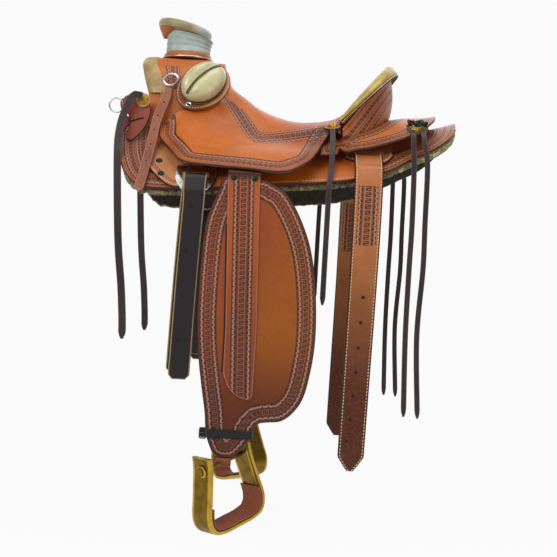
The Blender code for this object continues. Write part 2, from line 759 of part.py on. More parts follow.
def make_cantle():
    turns = [math.radians(80) * (2 * k / 22 - 1) for k in range(23)]
    rows = 7
    back = []
    front = []
    for turn in turns:
        for j in range(rows):
            share = j / (rows - 1)
            back.append(cantle_back_point(turn, share, 0.0))
            rim = rim_point(turn, RIM_INSET + 0.010)
            foot_x = CANTLE_END_X + 0.004 + 0.026 * math.cos(turn)
            x = rim.x - 0.002 + (foot_x - rim.x) * share
            y = rim.y * (1 - 0.04 * share)
            z = min(seat_low(x, y) - 0.0055 / seat_normal(x, abs(y)).z, rim.z + 0.010)
            if share == 1:
                z = bar_height(x, abs(y)) + GAP
            front.append(Vector((x, y, z)))
    quads = grid_quads(len(turns), rows)
    slab("tree_cantle", back, front, quads, "wood")
    rows = 6
    outer = []
    inner = []
    for turn in turns:
        for j in range(rows):
            share = 0.96 * j / (rows - 1)
            outer.append(cantle_back_point(turn, share, 2 * GAP + CANTLE_BACK_THICK))
            inner.append(cantle_back_point(turn, share, 2 * GAP))
    slab("cantle_back", outer, inner, grid_quads(len(turns), rows), "saddle_leather")
    make_cantle_binding()


def make_cantle_binding():
    steps = 27
    sides = 8
    points = []
    lean = Vector((0.70, 0.0, 0.71))
    for k in range(steps):
        turn = math.radians(88) * (2 * k / (steps - 1) - 1)
        centre = rim_point(turn, 0.0)
        out = Vector((math.cos(turn) * 0.75, math.sin(turn), -0.6 * math.cos(turn))).normalized()
        ahead = rim_point(turn + 0.01, 0.0) - rim_point(turn - 0.01, 0.0)
        thin = ahead.normalized().cross(out).normalized()
        for i in range(sides):
            a = 2 * math.pi * i / sides
            points.append(centre + out * (RIM_RADIUS * math.cos(a)) + thin * (0.66 * RIM_RADIUS * math.sin(a)))
    faces = [tuple(range(sides)), tuple((steps - 1) * sides + i for i in reversed(range(sides)))]
    for k in range(steps - 1):
        faces += [(k * sides + i, (k + 1) * sides + i, (k + 1) * sides + (i + 1) % sides,
                   k * sides + (i + 1) % sides) for i in range(sides)]
    add_object("cantle_binding", points, faces, "rawhide")


def rear_jockey_lift(x):
    return JOCKEY_LIFT + 0.0115 * ease(0.105, 0.150, x) - 0.010 * ease(0.235, 0.315, x)


def rear_jockey_top(x):
    """Upper edge of the rear jockey, which fits round the foot of the cantle's back."""
    outside = 0.190 * (1 - ease(0.104, 0.128, x))
    span = max((x - CANTLE_END_X - JOCKEY_FOOT_SHIFT) / JOCKEY_FOOT_LONG, 0.0)
    foot = JOCKEY_FOOT_WIDE * math.sqrt(max(0.0, 1 - span ** 2))
    return max(outside, foot / (1 + 2 * curl(x) * rear_jockey_lift(x)), 0.0004)


def make_rear_jockey(label, side):
    xs = spread(0.069, REAR_JOCKEY_EDGE[-1][0], 18, 0.5)
    edge = ((0.069, 0.014), (0.085, 0.012)) + REAR_JOCKEY_EDGE
    back_layer("rear_jockey_" + label, xs, rear_jockey_top,
               lambda x: max(back_y(x, read_curve(edge, x), rear_jockey_lift(x)), rear_jockey_top(x) + 0.010),
               7, lambda x, s: rear_jockey_lift(x), lambda x, s: rear_jockey_lift(x) + JOCKEY_THICK,
               "saddle_leather", side)


RIG_LOW = SKIRT_THICK + GAP + 0.0007
RIG_HIGH = RIG_LOW + RIG_THICK
PLATE_LOW = RIG_HIGH + GAP
PLATE_HIGH = PLATE_LOW + RIG_PLATE_THICK


def make_front_rigging(label, side):
    xs = spread(RIG_EDGE[0][0], RIG_EDGE[-1][0], 13, 0.6)

    def bottom(x):
        return back_y(x, read_curve(RIG_EDGE, x), RIG_HIGH)

    back_layer("front_rigging_" + label, xs, lambda x: min(BAR_OUTER_Y + 0.004, bottom(x) - 0.012), bottom, 8,
               lambda x, s: RIG_LOW, lambda x, s: RIG_HIGH, "saddle_leather", side)


def make_rig_plate(label, side):
    middle = (RIG_PLATE_FRONT_X + RIG_PLATE_REAR_X) / 2
    half = (RIG_PLATE_REAR_X - RIG_PLATE_FRONT_X) / 2
    rise = 0.026

    def bottom(x):
        round_off = rise * abs((x - middle) / half) ** 4
        return back_y(x, RIG_PLATE_BOTTOM_Z + round_off, PLATE_LOW)

    made = back_layer("rig_plate_" + label, spread(RIG_PLATE_FRONT_X, RIG_PLATE_REAR_X, 13, 0.9),
                      lambda x: back_y(x, RIG_PLATE_TOP_Z, PLATE_LOW), bottom, 5,
                      lambda x, s: PLATE_LOW, lambda x, s: PLATE_HIGH, "steel", side)
    slot = [(middle + sx * RIG_SLOT_WIDTH / 2, y, RIG_SLOT_TOP_Z - dz)
            for sx in (-1, 1) for y in (0.18, 0.32) for dz in (0.0, RIG_SLOT_HEIGHT)]
    faces = [(0, 1, 3, 2), (4, 6, 7, 5), (0, 4, 5, 1), (2, 3, 7, 6), (0, 2, 6, 4), (1, 5, 7, 3)]
    cut(made, add_cutter("rig_slot_cutter_" + label, slot, faces, side))


def make_rear_rigging(label, side):
    edge = ((REAR_RIG_FRONT_X, 0.004), (0.134, 0.000), (0.150, -0.004), (0.190, -0.006), (0.206, -0.001),
            (REAR_RIG_REAR_X, 0.012))
    back_layer("rear_rigging_" + label, spread(REAR_RIG_FRONT_X, REAR_RIG_REAR_X, 11, 0.6),
               lambda x: BAR_OUTER_Y + 0.003, lambda x: back_y(x, read_curve(edge, x), RIG_HIGH), 4,
               lambda x, s: RIG_LOW, lambda x, s: RIG_HIGH, "saddle_leather", side)


def latigo_hinge():
    """Axis of the latigo's loop, against the rig plate at the middle of its slot."""
    z = RIG_SLOT_TOP_Z - RIG_SLOT_HEIGHT / 2
    off = PLATE_HIGH + GAP + LATIGO_THICK / 2 + 0.0003
    rear = LATIGO_TOP_X + LATIGO_WIDTH_TOP / 2
    clear = on_back(rear, back_y(rear, z, off), off)
    return Vector((LATIGO_TOP_X, clear.y, clear.z))


def rolled_start(line, wide, thick):
    """Rounds a strap's first end, so that it turns on its axis with an even gap."""
    back = (line[0] - line[1]).normalized() * (thick / 2)
    turns = [math.radians(a) for a in (80, 50, 25)]
    thicks = [thick * math.cos(a) for a in turns] + [thick] * len(line)
    line = [line[0] + back * math.sin(a) for a in turns] + line
    return line, [wide[0]] * 3 + wide, thicks


def hanging_strap(name, hinge, route, widths, thick, finish, side, tip=0.0):
    """Strap that hangs from a rolled end: route points are (x, y, z) from the roll down."""
    fine = smooth_line([Vector(p) for p in route], 60)
    line = [fine[round(59 * (k / 15) ** 1.6)] for k in range(16)]
    wide = [widths[0] + (widths[1] - widths[0]) * k / (len(line) - 1) for k in range(len(line))]
    line, wide, thicks = rolled_start(line, wide, thick)
    if tip:
        line.append(line[-1] + (line[-1] - line[-2]).normalized() * tip)
        wide.append(widths[1] * 0.30)
        thicks.append(thick)
    across = [Vector((1, 0, 0))] * len(line)
    return ribbon(name, line, wide, across, thicks, finish, side, origin=hinge)


def make_latigo(name, side):
    hinge = latigo_hinge()
    plane = LATIGO_PLANE_Y
    route = [hinge, hinge + Vector((0, 0.014, -0.003)), (LATIGO_TOP_X, plane - 0.006, hinge.z - 0.012),
             (LATIGO_TOP_X, plane, hinge.z - 0.032), (LATIGO_TOP_X, plane, hinge.z - 0.060),
             ((LATIGO_TOP_X + LATIGO_BOTTOM_X) / 2, plane, (hinge.z + LATIGO_BOTTOM_Z) / 2),
             (LATIGO_BOTTOM_X, plane, LATIGO_BOTTOM_Z)]
    hanging_strap(name, hinge, route, (LATIGO_WIDTH_TOP, LATIGO_WIDTH_TOP), LATIGO_THICK, "dark_leather", side)


def billet_rise():
    """The back rises towards the rear, so the flat billet clears it by its rear edge."""
    return BACK_RISE * ((BILLET_TOP_X + BILLET_WIDTH_TOP / 2) ** 2 - BILLET_TOP_X ** 2)


def billet_hinge():
    off = RIG_HIGH + BILLET_THICK / 2 + billet_rise()
    return on_back(BILLET_TOP_X, back_y(BILLET_TOP_X, BILLET_TOP_Z, off), off)


def make_flank_billet(label, side):
    hinge = billet_hinge()
    plane = BILLET_PLANE_Y
    off = RIG_HIGH + BILLET_THICK / 2 + billet_rise()
    slope = [on_back(BILLET_TOP_X, y, off) for y in (0.205, 0.225, 0.240)]
    tip = 0.020
    route = [hinge] + slope + [(BILLET_TOP_X, plane, -0.085),
                               (BILLET_TOP_X - 0.001, plane, -0.250),
                               (BILLET_BOTTOM_X, plane, BILLET_TIP_Z + tip)]
    hanging_strap("flank_billet_" + label, hinge, route, (BILLET_WIDTH_TOP, BILLET_WIDTH_BOTTOM),
                  BILLET_THICK, "saddle_leather", side, tip)


LIFT_HINGE_Y = FENDER_PLANE_Y - FENDER_THICK / 2 - GAP - 0.0021
LIFT_HINGE_Z = -0.0495
SWING_Z = -0.062


def make_stirrup_run(label, side):
    """Upper run of the stirrup leather, from the bar to just below the side jockey."""
    x = STIRRUP_LEATHER_TOP_X
    route = [(x, BAR_OUTER_Y + 0.006, 0.0170), (x, 0.180, 0.0065), (x, 0.210, -0.0075), (x, 0.245, -0.0270),
             (x, 0.270, -0.0400), (x, LIFT_HINGE_Y - 0.0018, LIFT_HINGE_Z + 0.0012)]
    line = smooth_line(route, 9)
    ribbon("stirrup_run_" + label, line, [HANGER_WIDTH] * 9, [Vector((1, 0, 0))] * 9, STRAP_THICK,
           "fender_leather", side)


def make_hanger(label, side):
    x = STIRRUP_LEATHER_TOP_X
    half = HANGER_WIDTH / 2
    outline = ((x - half, LIFT_HINGE_Z - GAP), (x - half, -0.078), (x + half, -0.078),
               (x + half, LIFT_HINGE_Z - GAP))
    plate("stirrup_hanger_" + label, outline, LIFT_HINGE_Y - STRAP_THICK / 2, STRAP_THICK, "fender_leather",
          side, origin=(x, LIFT_HINGE_Y, LIFT_HINGE_Z))


STIRRUP_LEATHER_OUTLINE = ((-0.1090, -0.0640), (-0.098, -0.352), (-0.098, -0.440), (-0.088, -0.465),
                           (-0.075, -0.480), (-0.060, -0.488), (-0.043, -0.491), (-0.038, -0.482),
                           (-0.037, -0.352), (-0.0460, -0.0640), (-0.056, -0.0530), (-0.100, -0.0530))


def make_fender(label, side):
    pivot = (STIRRUP_LEATHER_TOP_X, FENDER_PLANE_Y, SWING_Z)
    line = [(p.x, p.y) for p in smooth_line([(x, z, 0) for x, z in FENDER_OUTLINE], 64, closed=True)]
    inner = FENDER_PLANE_Y - FENDER_THICK / 2
    plate("fender_" + label, line, inner, FENDER_THICK, "fender_leather", side, origin=pivot)
    plate("stirrup_leather_" + label, STIRRUP_LEATHER_OUTLINE, inner + FENDER_THICK + GAP, STRAP_THICK,
          "fender_leather", side, origin=pivot)
    make_hobble(label, side, pivot)


def make_hobble(label, side, pivot):
    """Square loop of strap round the neck of the fender."""
    wall = 0.0030
    rings = [[(HOBBLE_X + sx * (HOBBLE_HALF_WIDTH - wall + grow), FENDER_PLANE_Y + sy * (HOBBLE_ROOM + grow))
              for sx, sy in ((-1, -1), (1, -1), (1, 1), (-1, 1))] for grow in (0.0, wall)]
    points = []
    for z in (HOBBLE_Z - HOBBLE_HEIGHT / 2, HOBBLE_Z + HOBBLE_HEIGHT / 2):
        for ring in rings:
            points += [(x, y, z) for x, y in ring]
    faces = []
    for i in range(4):
        j = (i + 1) % 4
        faces += [(i, j, 4 + j, 4 + i), (8 + i, 12 + i, 12 + j, 8 + j), (i, 8 + i, 8 + j, j),
                  (4 + i, 4 + j, 12 + j, 12 + i)]
    add_object("hobble_strap_" + label, points, faces, "dark_leather", side, origin=pivot)


def stirrup_frame():
    """Axes of the stirrup: along its bolt, across its band, and up."""
    flat = math.cos(STIRRUP_TILT)
    along = Vector((math.cos(STIRRUP_TURN) * flat, -math.sin(STIRRUP_TURN) * flat, math.sin(STIRRUP_TILT)))
    up = (Vector((0, 0, 1)) - along * along.z).normalized()
    return along, up.cross(along).normalized(), up


def stirrup_line():
    top = STIRRUP_TOP_WIDTH / 2
    foot = STIRRUP_TREAD_WIDTH / 2
    low = STIRRUP_ABOVE_BOLT - STIRRUP_HEIGHT
    half = [(-top, STIRRUP_ABOVE_BOLT), (-top * 1.03, 0.0), (-(top + foot) * 0.52, low * 0.42),
            (-foot, low * 0.72), (-foot * 0.88, low * 0.93), (-foot * 0.52, low * 0.995)]
    route = half + [(0.0, low)] + [(-x, z) for x, z in reversed(half)]
    return smooth_line([(x, z, 0) for x, z in route], 29)


def make_stirrup(label, side):
    along, across, up = stirrup_frame()
    bolt = Vector(STIRRUP_BOLT)

    def place(x, z, y=0.0):
        return bolt + along * x + up * z + across * y

    line = stirrup_line()
    path = [place(p.x, p.y) for p in line]
    made = ribbon("stirrup_" + label, path, [STIRRUP_BAND] * len(path), [across] * len(path),
                  STIRRUP_WALL, "brass", side, origin=bolt)
    inside = []
    for k, p in enumerate(line):
        ahead = (line[min(k + 1, len(line) - 1)] - line[max(k - 1, 0)]).normalized()
        inward = Vector((-ahead.y, ahead.x, 0))
        off = STIRRUP_WALL / 2 + GAP + TREAD_THICK / 2
        q = p + inward * off
        if p.y < -0.066:
            inside.append(place(q.x, q.y))
    ribbon("stirrup_tread_" + label, inside, [STIRRUP_BAND + 0.002] * len(inside), [across] * len(inside),
           TREAD_THICK, "red_leather", side, origin=bolt)
    reach = STIRRUP_TOP_WIDTH / 2 * 1.03 + STIRRUP_WALL / 2 + 0.0035
    sides = 16
    profile = [(BOLT_RADIUS * 2, -reach - 0.003), (BOLT_RADIUS * 2, -reach), (BOLT_RADIUS, -reach),
               (BOLT_RADIUS, reach), (BOLT_RADIUS * 2, reach), (BOLT_RADIUS * 2, reach + 0.003)]
    add_turned_along("stirrup_bolt_" + label, profile, sides, place, "steel", side, bolt)
    hole = [(BOLT_RADIUS + GAP, -reach - 0.02), (BOLT_RADIUS + GAP, reach + 0.02)]
    bore = add_turned_along("bolt_cutter_" + label, hole, sides, place, "steel", side, bolt)
    bore.hide_render = True
    bore.display_type = "WIRE"
    cut(made, bore)


def add_turned_along(name, profile, sides, place, finish, side, origin):
    n = len(profile)
    points = [place(h, r * math.cos(2 * math.pi * k / sides), r * math.sin(2 * math.pi * k / sides))
              for k in range(sides) for r, h in profile]
    faces = []
    for k in range(sides):
        a, b = k * n, (k + 1) % sides * n
        faces += [(a + i, b + i, b + i + 1, a + i + 1) for i in range(n - 1)]
    faces.append(tuple(k * n for k in range(sides)))
    faces.append(tuple(k * n + n - 1 for k in reversed(range(sides))))
    return add_object(name, points, faces, finish, side, origin)


def roll_frame():
    """Axes of the bucking roll's flap: long, wide and outwards, and the flap's inner plane."""
    out = Vector(ROLL_NORMAL).normalized()
    level = (Vector((1, 0, 0)) - out * out.x).normalized()
    up = out.cross(level)
    if up.z < 0:
        up = -up
    long = level * math.cos(ROLL_LEAN) + up * math.sin(ROLL_LEAN)
    wide = up * math.cos(ROLL_LEAN) - level * math.sin(ROLL_LEAN)
    high = 2 * GAP + COVER_THICK
    reach = 0.0
    for k in range(91):
        turn = math.radians(k)
        for x, share in ((FORK_FRONT_X, 1.0), (FORK_REAR_X, 0.0)):
            p = arch_point(x, share, FORK_HALF_WIDTH + high, FORK_TOP_Z + high, turn)
            reach = max(reach, p.dot(out))
    centre = Vector(ROLL_CENTRE)
    centre += out * (reach + GAP - centre.dot(out))
    return long, wide, out, centre


def make_bucking_roll(label, side):
    long, wide, out, centre = roll_frame()
    steps = 26
    ring = []
    for k in range(steps):
        a = 2 * math.pi * k / steps
        drop = 0.006 * max(0.0, -math.cos(a)) ** 2
        p = (long * ((ROLL_LONG / 2 + ROLL_BASE_MARGIN + drop) * math.cos(a))
             + wide * ((ROLL_WIDE / 2 + ROLL_BASE_MARGIN) * math.sin(a)))
        ring.append(centre + p)
    points = ring + [p + out * ROLL_BASE_THICK for p in ring]
    faces = [tuple(reversed(range(steps))), tuple(range(steps, 2 * steps))]
    faces += [(k, (k + 1) % steps, steps + (k + 1) % steps, steps + k) for k in range(steps)]
    add_object("bucking_roll_base_" + label, points, faces, "saddle_leather", side)
    foot = centre + out * (ROLL_BASE_THICK + GAP)
    levels = ((0.93, 0.0), (1.0, 0.22), (0.97, 0.50), (0.84, 0.78), (0.58, 0.95), (0.25, 1.0))
    points = []
    for share, rise in levels:
        for k in range(steps):
            a = 2 * math.pi * k / steps
            points.append(foot + long * (ROLL_LONG / 2 * share * math.cos(a))
                          + wide * (ROLL_WIDE / 2 * share * math.sin(a)) + out * (ROLL_HEIGHT * rise))
    faces = [tuple(reversed(range(steps)))]
    for i in range(len(levels) - 1):
        faces += [(i * steps + k, i * steps + (k + 1) % steps, (i + 1) * steps + (k + 1) % steps,
                   (i + 1) * steps + k) for k in range(steps)]
    faces.append(tuple((len(levels) - 1) * steps + k for k in range(steps)))
    add_object("bucking_roll_" + label, points, faces, "roll_leather", side)


def wire_ring(name, centre, half_wide, half_high, wire, finish, side, lean=0.0, origin=None):
    """Oval ring of round wire in an upright plane along x; lean tips its top inwards."""
    steps, sides = 20, 6
    points = []
    for k in range(steps):
        a = 2 * math.pi * k / steps
        spoke = Vector((math.cos(a), 0, math.sin(a)))
        middle = Vector((half_wide * spoke.x, 0, half_high * spoke.z))
        for i in range(sides):
            b = 2 * math.pi * i / sides
            p = middle + spoke * (wire * math.cos(b)) + Vector((0, wire * math.sin(b), 0))
            p.y -= p.z * math.tan(lean)
            points.append(Vector(centre) + p)
    faces = [(k * sides + i, (k + 1) % steps * sides + i, (k + 1) % steps * sides + (i + 1) % sides,
              k * sides + (i + 1) % sides) for k in range(steps) for i in range(sides)]
    return add_object(name, points, faces, finish, side, origin or (0.0, 0.0, 0.0))


ROPE_STRAP_ROUTE = ((-0.2490, 0.1305, 0.1360), (-0.2580, 0.1500, 0.1000), (-0.2680, 0.1650, 0.0660),
                    (-0.2730, 0.1920, 0.0200), (-0.2790, 0.2200, -0.0300), (-0.2870, 0.2560, -0.0840))
ROPE_BUCKLE_CENTRE = (-0.2480, 0.1260, 0.1530)
RING_CENTRE = (-0.3571, 0.1600, 0.0940)
KEEPER_OUTLINE = ((-0.285, 0.094), (-0.283, 0.073), (-0.295, 0.042), (-0.319, 0.018), (-0.331, 0.025),
                  (-0.325, 0.055), (-0.331, 0.076), (-0.3405, 0.087), (-0.3405, 0.103), (-0.328, 0.112),
                  (-0.300, 0.110))
KEEPER_THICK = 0.0040


def make_front_fittings():
    """Rope strap with its buckle, breast ring and latigo keeper, on the near side."""
    hinge = Vector(ROPE_STRAP_ROUTE[0])
    line = smooth_line(ROPE_STRAP_ROUTE, 12)
    line.append(line[-1] + (line[-1] - line[-2]).normalized() * 0.007)
    widths = [ROPE_STRAP_WIDTH] * 12 + [ROPE_STRAP_WIDTH * 0.35]
    along = (Vector(ROPE_STRAP_ROUTE[-1]) - hinge).normalized()
    line, widths, thicks = rolled_start(line, widths, ROPE_STRAP_THICK)
    across = [Vector((1, 0, 0)) - along * along.x] * len(line)
    ribbon("rope_strap", line, widths, across, thicks, "red_leather", LEFT, origin=hinge)
    wire_ring("rope_buckle", ROPE_BUCKLE_CENTRE, BUCKLE_WIDTH / 2 - BUCKLE_WIRE,
              BUCKLE_HEIGHT / 2 - BUCKLE_WIRE, BUCKLE_WIRE, "steel", LEFT, lean=math.radians(18))
    wire_ring("breast_ring", RING_CENTRE, RING_RADIUS, RING_RADIUS, RING_WIRE, "steel", LEFT,
              origin=RING_CENTRE)
    keeper_y = back_y(-0.319, 0.018, RIG_LOW + GAP) + 0.0028
    plate("latigo_keeper", KEEPER_OUTLINE, keeper_y, KEEPER_THICK, "red_leather", LEFT)


FRONT_STRING = ((-0.300, 0.1760, 0.1080), (-0.318, 0.1790, 0.1080), (-0.335, 0.1800, 0.0700),
                (-0.342, 0.1870, 0.0300), (-0.341, 0.1985, -0.0170), (-0.333, 0.2020, -0.1440),
                (-0.327, 0.2020, -0.2140), (-0.318, 0.2020, -0.2850), (-0.312, 0.2020, -0.3550),
                (-0.311, 0.2020, -0.3900))
SEAT_STRING = ((0.0935, 0.1690, 0.0690), (0.0945, 0.1860, 0.0500), (0.0945, 0.2050, 0.0270),
               (0.0940, 0.2235, 0.0030), (0.0925, 0.2420, -0.0290), (0.0905, 0.2610, -0.0570),
               (0.0895, 0.2670, -0.0900), (0.0890, 0.2680, -0.2980))
SEAT_STRING_TOP = (0.0930, 0.1500)
REAR_STRING = ((0.2660, 0.2240, -0.5140), (0.2610, 0.2240, -0.3540), (0.2610, 0.2240, -0.2180),
               (0.2620, 0.2240, -0.1280), (0.2600, 0.2220, -0.0100), (0.2575, 0.2140, 0.0330),
               (0.2575, 0.2045, 0.0560), (0.2580, 0.1840, 0.0665), (0.2600, 0.1610, 0.0785),
               (0.2670, 0.1420, 0.0870), (0.2740, 0.1610, 0.0790), (0.2765, 0.1820, 0.0695),
               (0.2785, 0.2010, 0.0560), (0.2810, 0.2120, 0.0330), (0.2870, 0.2220, -0.0100),
               (0.2880, 0.2240, -0.1260), (0.2890, 0.2240, -0.2160), (0.2840, 0.2240, -0.3530),
               (0.2940, 0.2240, -0.5160))


def make_string(name, route, count, width, side, lay=(0.0, 1.0, 0.0)):
    """Flat string: it faces straight out where it hangs, and along lay near its top."""
    line = smooth_line(route, count)
    across = []
    for k in range(count):
        ahead = line[min(k + 1, count - 1)] - line[max(k - 1, 0)]
        face = Vector((0.0, 1.0, 0.0)).lerp(Vector(lay), ease(0.0, 0.075, line[k].z))
        across.append(ahead.cross(face))
    ribbon(name, line, [width] * count, across, STRING_THICK, "dark_leather", side)


def seat_string_route():
    """The seat string comes out on top of the seat leather beside the cantle's end."""
    x, y = SEAT_STRING_TOP
    lift = (JOCKEY_THICK + STRING_THICK / 2 + 1.8 * GAP) / seat_normal(x, y).z
    return [(x, y, seat_low(x, y) + lift)] + list(SEAT_STRING)


def make_saddle():
    clear_scene()
    make_fork()
    make_horn()
    make_ground_seat()
    make_seat()
    make_cantle()
    for label, side in SIDES:
        make_tree_bar(label, side)
        make_skirt(label, side)
        make_sheepskin(label, side)
        make_rear_jockey(label, side)
        make_front_rigging(label, side)
        make_rig_plate(label, side)
        make_rear_rigging(label, side)
        make_flank_billet(label, side)
        make_stirrup_run(label, side)
        make_hanger(label, side)
        make_fender(label, side)
        make_stirrup(label, side)
        make_bucking_roll(label, side)
        make_string("front_string_" + label, FRONT_STRING, 22, 0.0155, side)
        make_string("seat_string_" + label, seat_string_route(), 18, STRING_WIDTH, side, (0.0, 0.70, 0.70))
        make_string("rear_string_" + label, REAR_STRING, 40, STRING_WIDTH, side, (0.0, 0.43, 0.90))
    make_latigo("latigo_left", LEFT)
    make_latigo("off_billet_right", RIGHT)
    make_front_fittings()


make_saddle()
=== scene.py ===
"""Ranch saddle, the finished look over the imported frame.

Metres, +Z up, the horn at -X, the near (left) side at -Y. Shapes are written for the near side with
y positive outwards, and side (LEFT or RIGHT) mirrors them, as in the part's own source.
"""
import json
import math

import bmesh
import bpy
import numpy as np
from mathutils import Matrix, Vector, noise
from mathutils.bvhtree import BVHTree
from mathutils.geometry import delaunay_2d_cdt

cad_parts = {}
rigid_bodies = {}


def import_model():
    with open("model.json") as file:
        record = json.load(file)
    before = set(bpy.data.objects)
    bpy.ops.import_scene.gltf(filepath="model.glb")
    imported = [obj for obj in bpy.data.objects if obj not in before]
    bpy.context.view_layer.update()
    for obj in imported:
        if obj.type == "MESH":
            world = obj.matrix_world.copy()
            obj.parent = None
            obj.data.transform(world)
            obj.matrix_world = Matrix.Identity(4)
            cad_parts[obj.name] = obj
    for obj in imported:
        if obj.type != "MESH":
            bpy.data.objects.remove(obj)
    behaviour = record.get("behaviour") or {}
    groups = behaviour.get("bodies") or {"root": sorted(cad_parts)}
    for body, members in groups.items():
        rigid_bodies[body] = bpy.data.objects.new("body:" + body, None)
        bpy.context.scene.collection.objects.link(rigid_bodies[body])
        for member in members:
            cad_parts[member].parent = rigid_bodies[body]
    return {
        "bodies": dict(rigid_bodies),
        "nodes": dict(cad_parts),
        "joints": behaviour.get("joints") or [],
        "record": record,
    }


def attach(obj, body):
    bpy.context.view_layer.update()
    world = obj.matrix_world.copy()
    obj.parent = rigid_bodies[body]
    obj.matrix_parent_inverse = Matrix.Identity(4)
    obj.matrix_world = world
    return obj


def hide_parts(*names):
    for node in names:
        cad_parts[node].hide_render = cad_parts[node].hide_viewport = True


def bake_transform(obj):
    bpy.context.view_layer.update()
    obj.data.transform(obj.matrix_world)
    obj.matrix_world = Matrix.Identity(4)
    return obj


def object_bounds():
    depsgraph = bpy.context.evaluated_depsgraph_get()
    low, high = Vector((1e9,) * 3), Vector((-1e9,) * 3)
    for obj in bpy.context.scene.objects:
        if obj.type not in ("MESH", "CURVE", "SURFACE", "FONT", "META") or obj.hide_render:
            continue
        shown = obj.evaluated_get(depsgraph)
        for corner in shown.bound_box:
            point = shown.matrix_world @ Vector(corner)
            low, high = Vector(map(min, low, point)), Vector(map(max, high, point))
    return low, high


# Leather and clearances
SKIRT_THICK = 0.0045
JOCKEY_THICK = 0.0050
RIG_THICK = 0.0048
FENDER_THICK = 0.0045
STRAP_THICK = 0.0040
FLEECE_THICK = 0.0180
FLEECE_GAP = 0.0022
TREE_THICK = 0.0170
GAP = 0.0005

# The form of the horse's back that every lower layer follows: z = crown - curl * y * y
BACK_Z = 0.045
BACK_RISE = 0.45
BACK_CURL = 1.70
WITHER_CURL = 15.0

BAR_INNER_Y = 0.052
BAR_OUTER_Y = 0.150
FORK_FRONT_X = -0.288
FORK_REAR_X = -0.142
FORK_HALF_WIDTH = 0.132
FORK_TOP_Z = 0.210
GULLET_HALF_WIDTH = 0.072
GULLET_TOP_Z = 0.158
COVER_THICK = 0.0045
GULLET_LEAN = 0.014
BINDING_DEPTH = 0.026

# Horn
HORN_X = -0.226
HORN_POST_RADIUS = 0.030
HORN_WRAP_RADIUS = 0.048
HORN_COLLAR_RADIUS = 0.052
HORN_COLLAR_HEIGHT = 0.014
HORN_CAP_RADIUS = 0.060
HORN_CAP_THICK = 0.021
HORN_CAP_TILT = math.radians(12.5)
HORN_CAP_X = -0.235
HORN_CAP_Z = 0.2835

# Seat, measured along the centre plane: (x, z)
SEAT_PROFILE = ((-0.140, 0.186), (-0.125, 0.161), (-0.098, 0.141), (-0.061, 0.116), (-0.025, 0.101),
                (0.011, 0.092), (0.048, 0.090), (0.085, 0.096), (0.120, 0.112), (0.160, 0.146),
                (0.195, 0.187), (0.2165, 0.217))
SEAT_HALF_WIDTH_FRONT = 0.118
JOCKEY_LIFT = 0.0245
JOCKEY_FLARE = 0.016
RISE_FRONT_X = -0.236
RISE_REAR_X = -0.060

# Lower edge of the side jockey seen from the side: (x, z)
JOCKEY_EDGE = ((-0.264, 0.062), (-0.266, 0.040), (-0.254, 0.017), (-0.228, -0.009), (-0.209, -0.028),
               (-0.185, -0.035), (-0.129, -0.039), (-0.072, -0.042), (-0.016, -0.046), (0.010, -0.042),
               (0.033, -0.030), (0.052, -0.016), (0.064, 0.003), (0.076, 0.028), (0.092, 0.056))

# Cantle
CANTLE_HALF_WIDTH = 0.170
CANTLE_END_X = 0.104
CANTLE_END_Z = 0.076
CANTLE_TOP_X = 0.220
CANTLE_TOP_Z = 0.224
CANTLE_BACK_THICK = 0.004
RIM_RADIUS = 0.011
CANTLE_FOOT_X = 0.212

# Skirt edge seen from the side: (x, z)
SKIRT_EDGE = ((-0.346, 0.052), (-0.343, 0.012), (-0.335, -0.024), (-0.317, -0.060), (-0.290, -0.081),
              (-0.245, -0.086), (-0.170, -0.083), (-0.085, -0.075), (0.001, -0.066), (0.075, -0.058),
              (0.142, -0.047), (0.206, -0.026), (0.265, 0.008), (0.315, 0.036), (0.343, 0.062),
              (0.356, 0.086), (0.363, 0.106))
SKIRT_FRONT_TOP_Y = 0.100
FLEECE_MARGIN = 0.010

# Rear jockey edge seen from the side: (x, z)
REAR_JOCKEY_EDGE = ((0.106, 0.020), (0.117, 0.010), (0.140, 0.014), (0.171, 0.020), (0.222, 0.038),
                    (0.258, 0.054), (0.290, 0.078), (0.310, 0.098), (0.318, 0.112))

# Rigging
RIG_EDGE = ((-0.288, -0.005), (-0.280, -0.030), (-0.266, -0.048), (-0.240, -0.070), (-0.2185, -0.079),
            (-0.180, -0.079), (-0.148, -0.076), (-0.137, -0.060), (-0.134, -0.040))
RIG_PLATE_THICK = 0.003
RIG_SLOT_TOP_Z = -0.046
RIG_SLOT_HEIGHT = 0.015
REAR_RIG_FRONT_X = 0.122
REAR_RIG_REAR_X = 0.218

# Latigo and off billet
LATIGO_WIDTH_TOP = 0.045
LATIGO_TOP_X = -0.1745
LATIGO_BOTTOM_X = -0.1850
LATIGO_BOTTOM_Z = -0.458
LATIGO_THICK = 0.0085
LATIGO_PLANE_Y = 0.2860

# Flank billet
BILLET_WIDTH_TOP = 0.058
BILLET_WIDTH_BOTTOM = 0.052
BILLET_TOP_X = 0.168
BILLET_BOTTOM_X = 0.161
BILLET_TOP_Z = 0.010
BILLET_TIP_Z = -0.622
BILLET_THICK = 0.0055
BILLET_PLANE_Y = 0.268

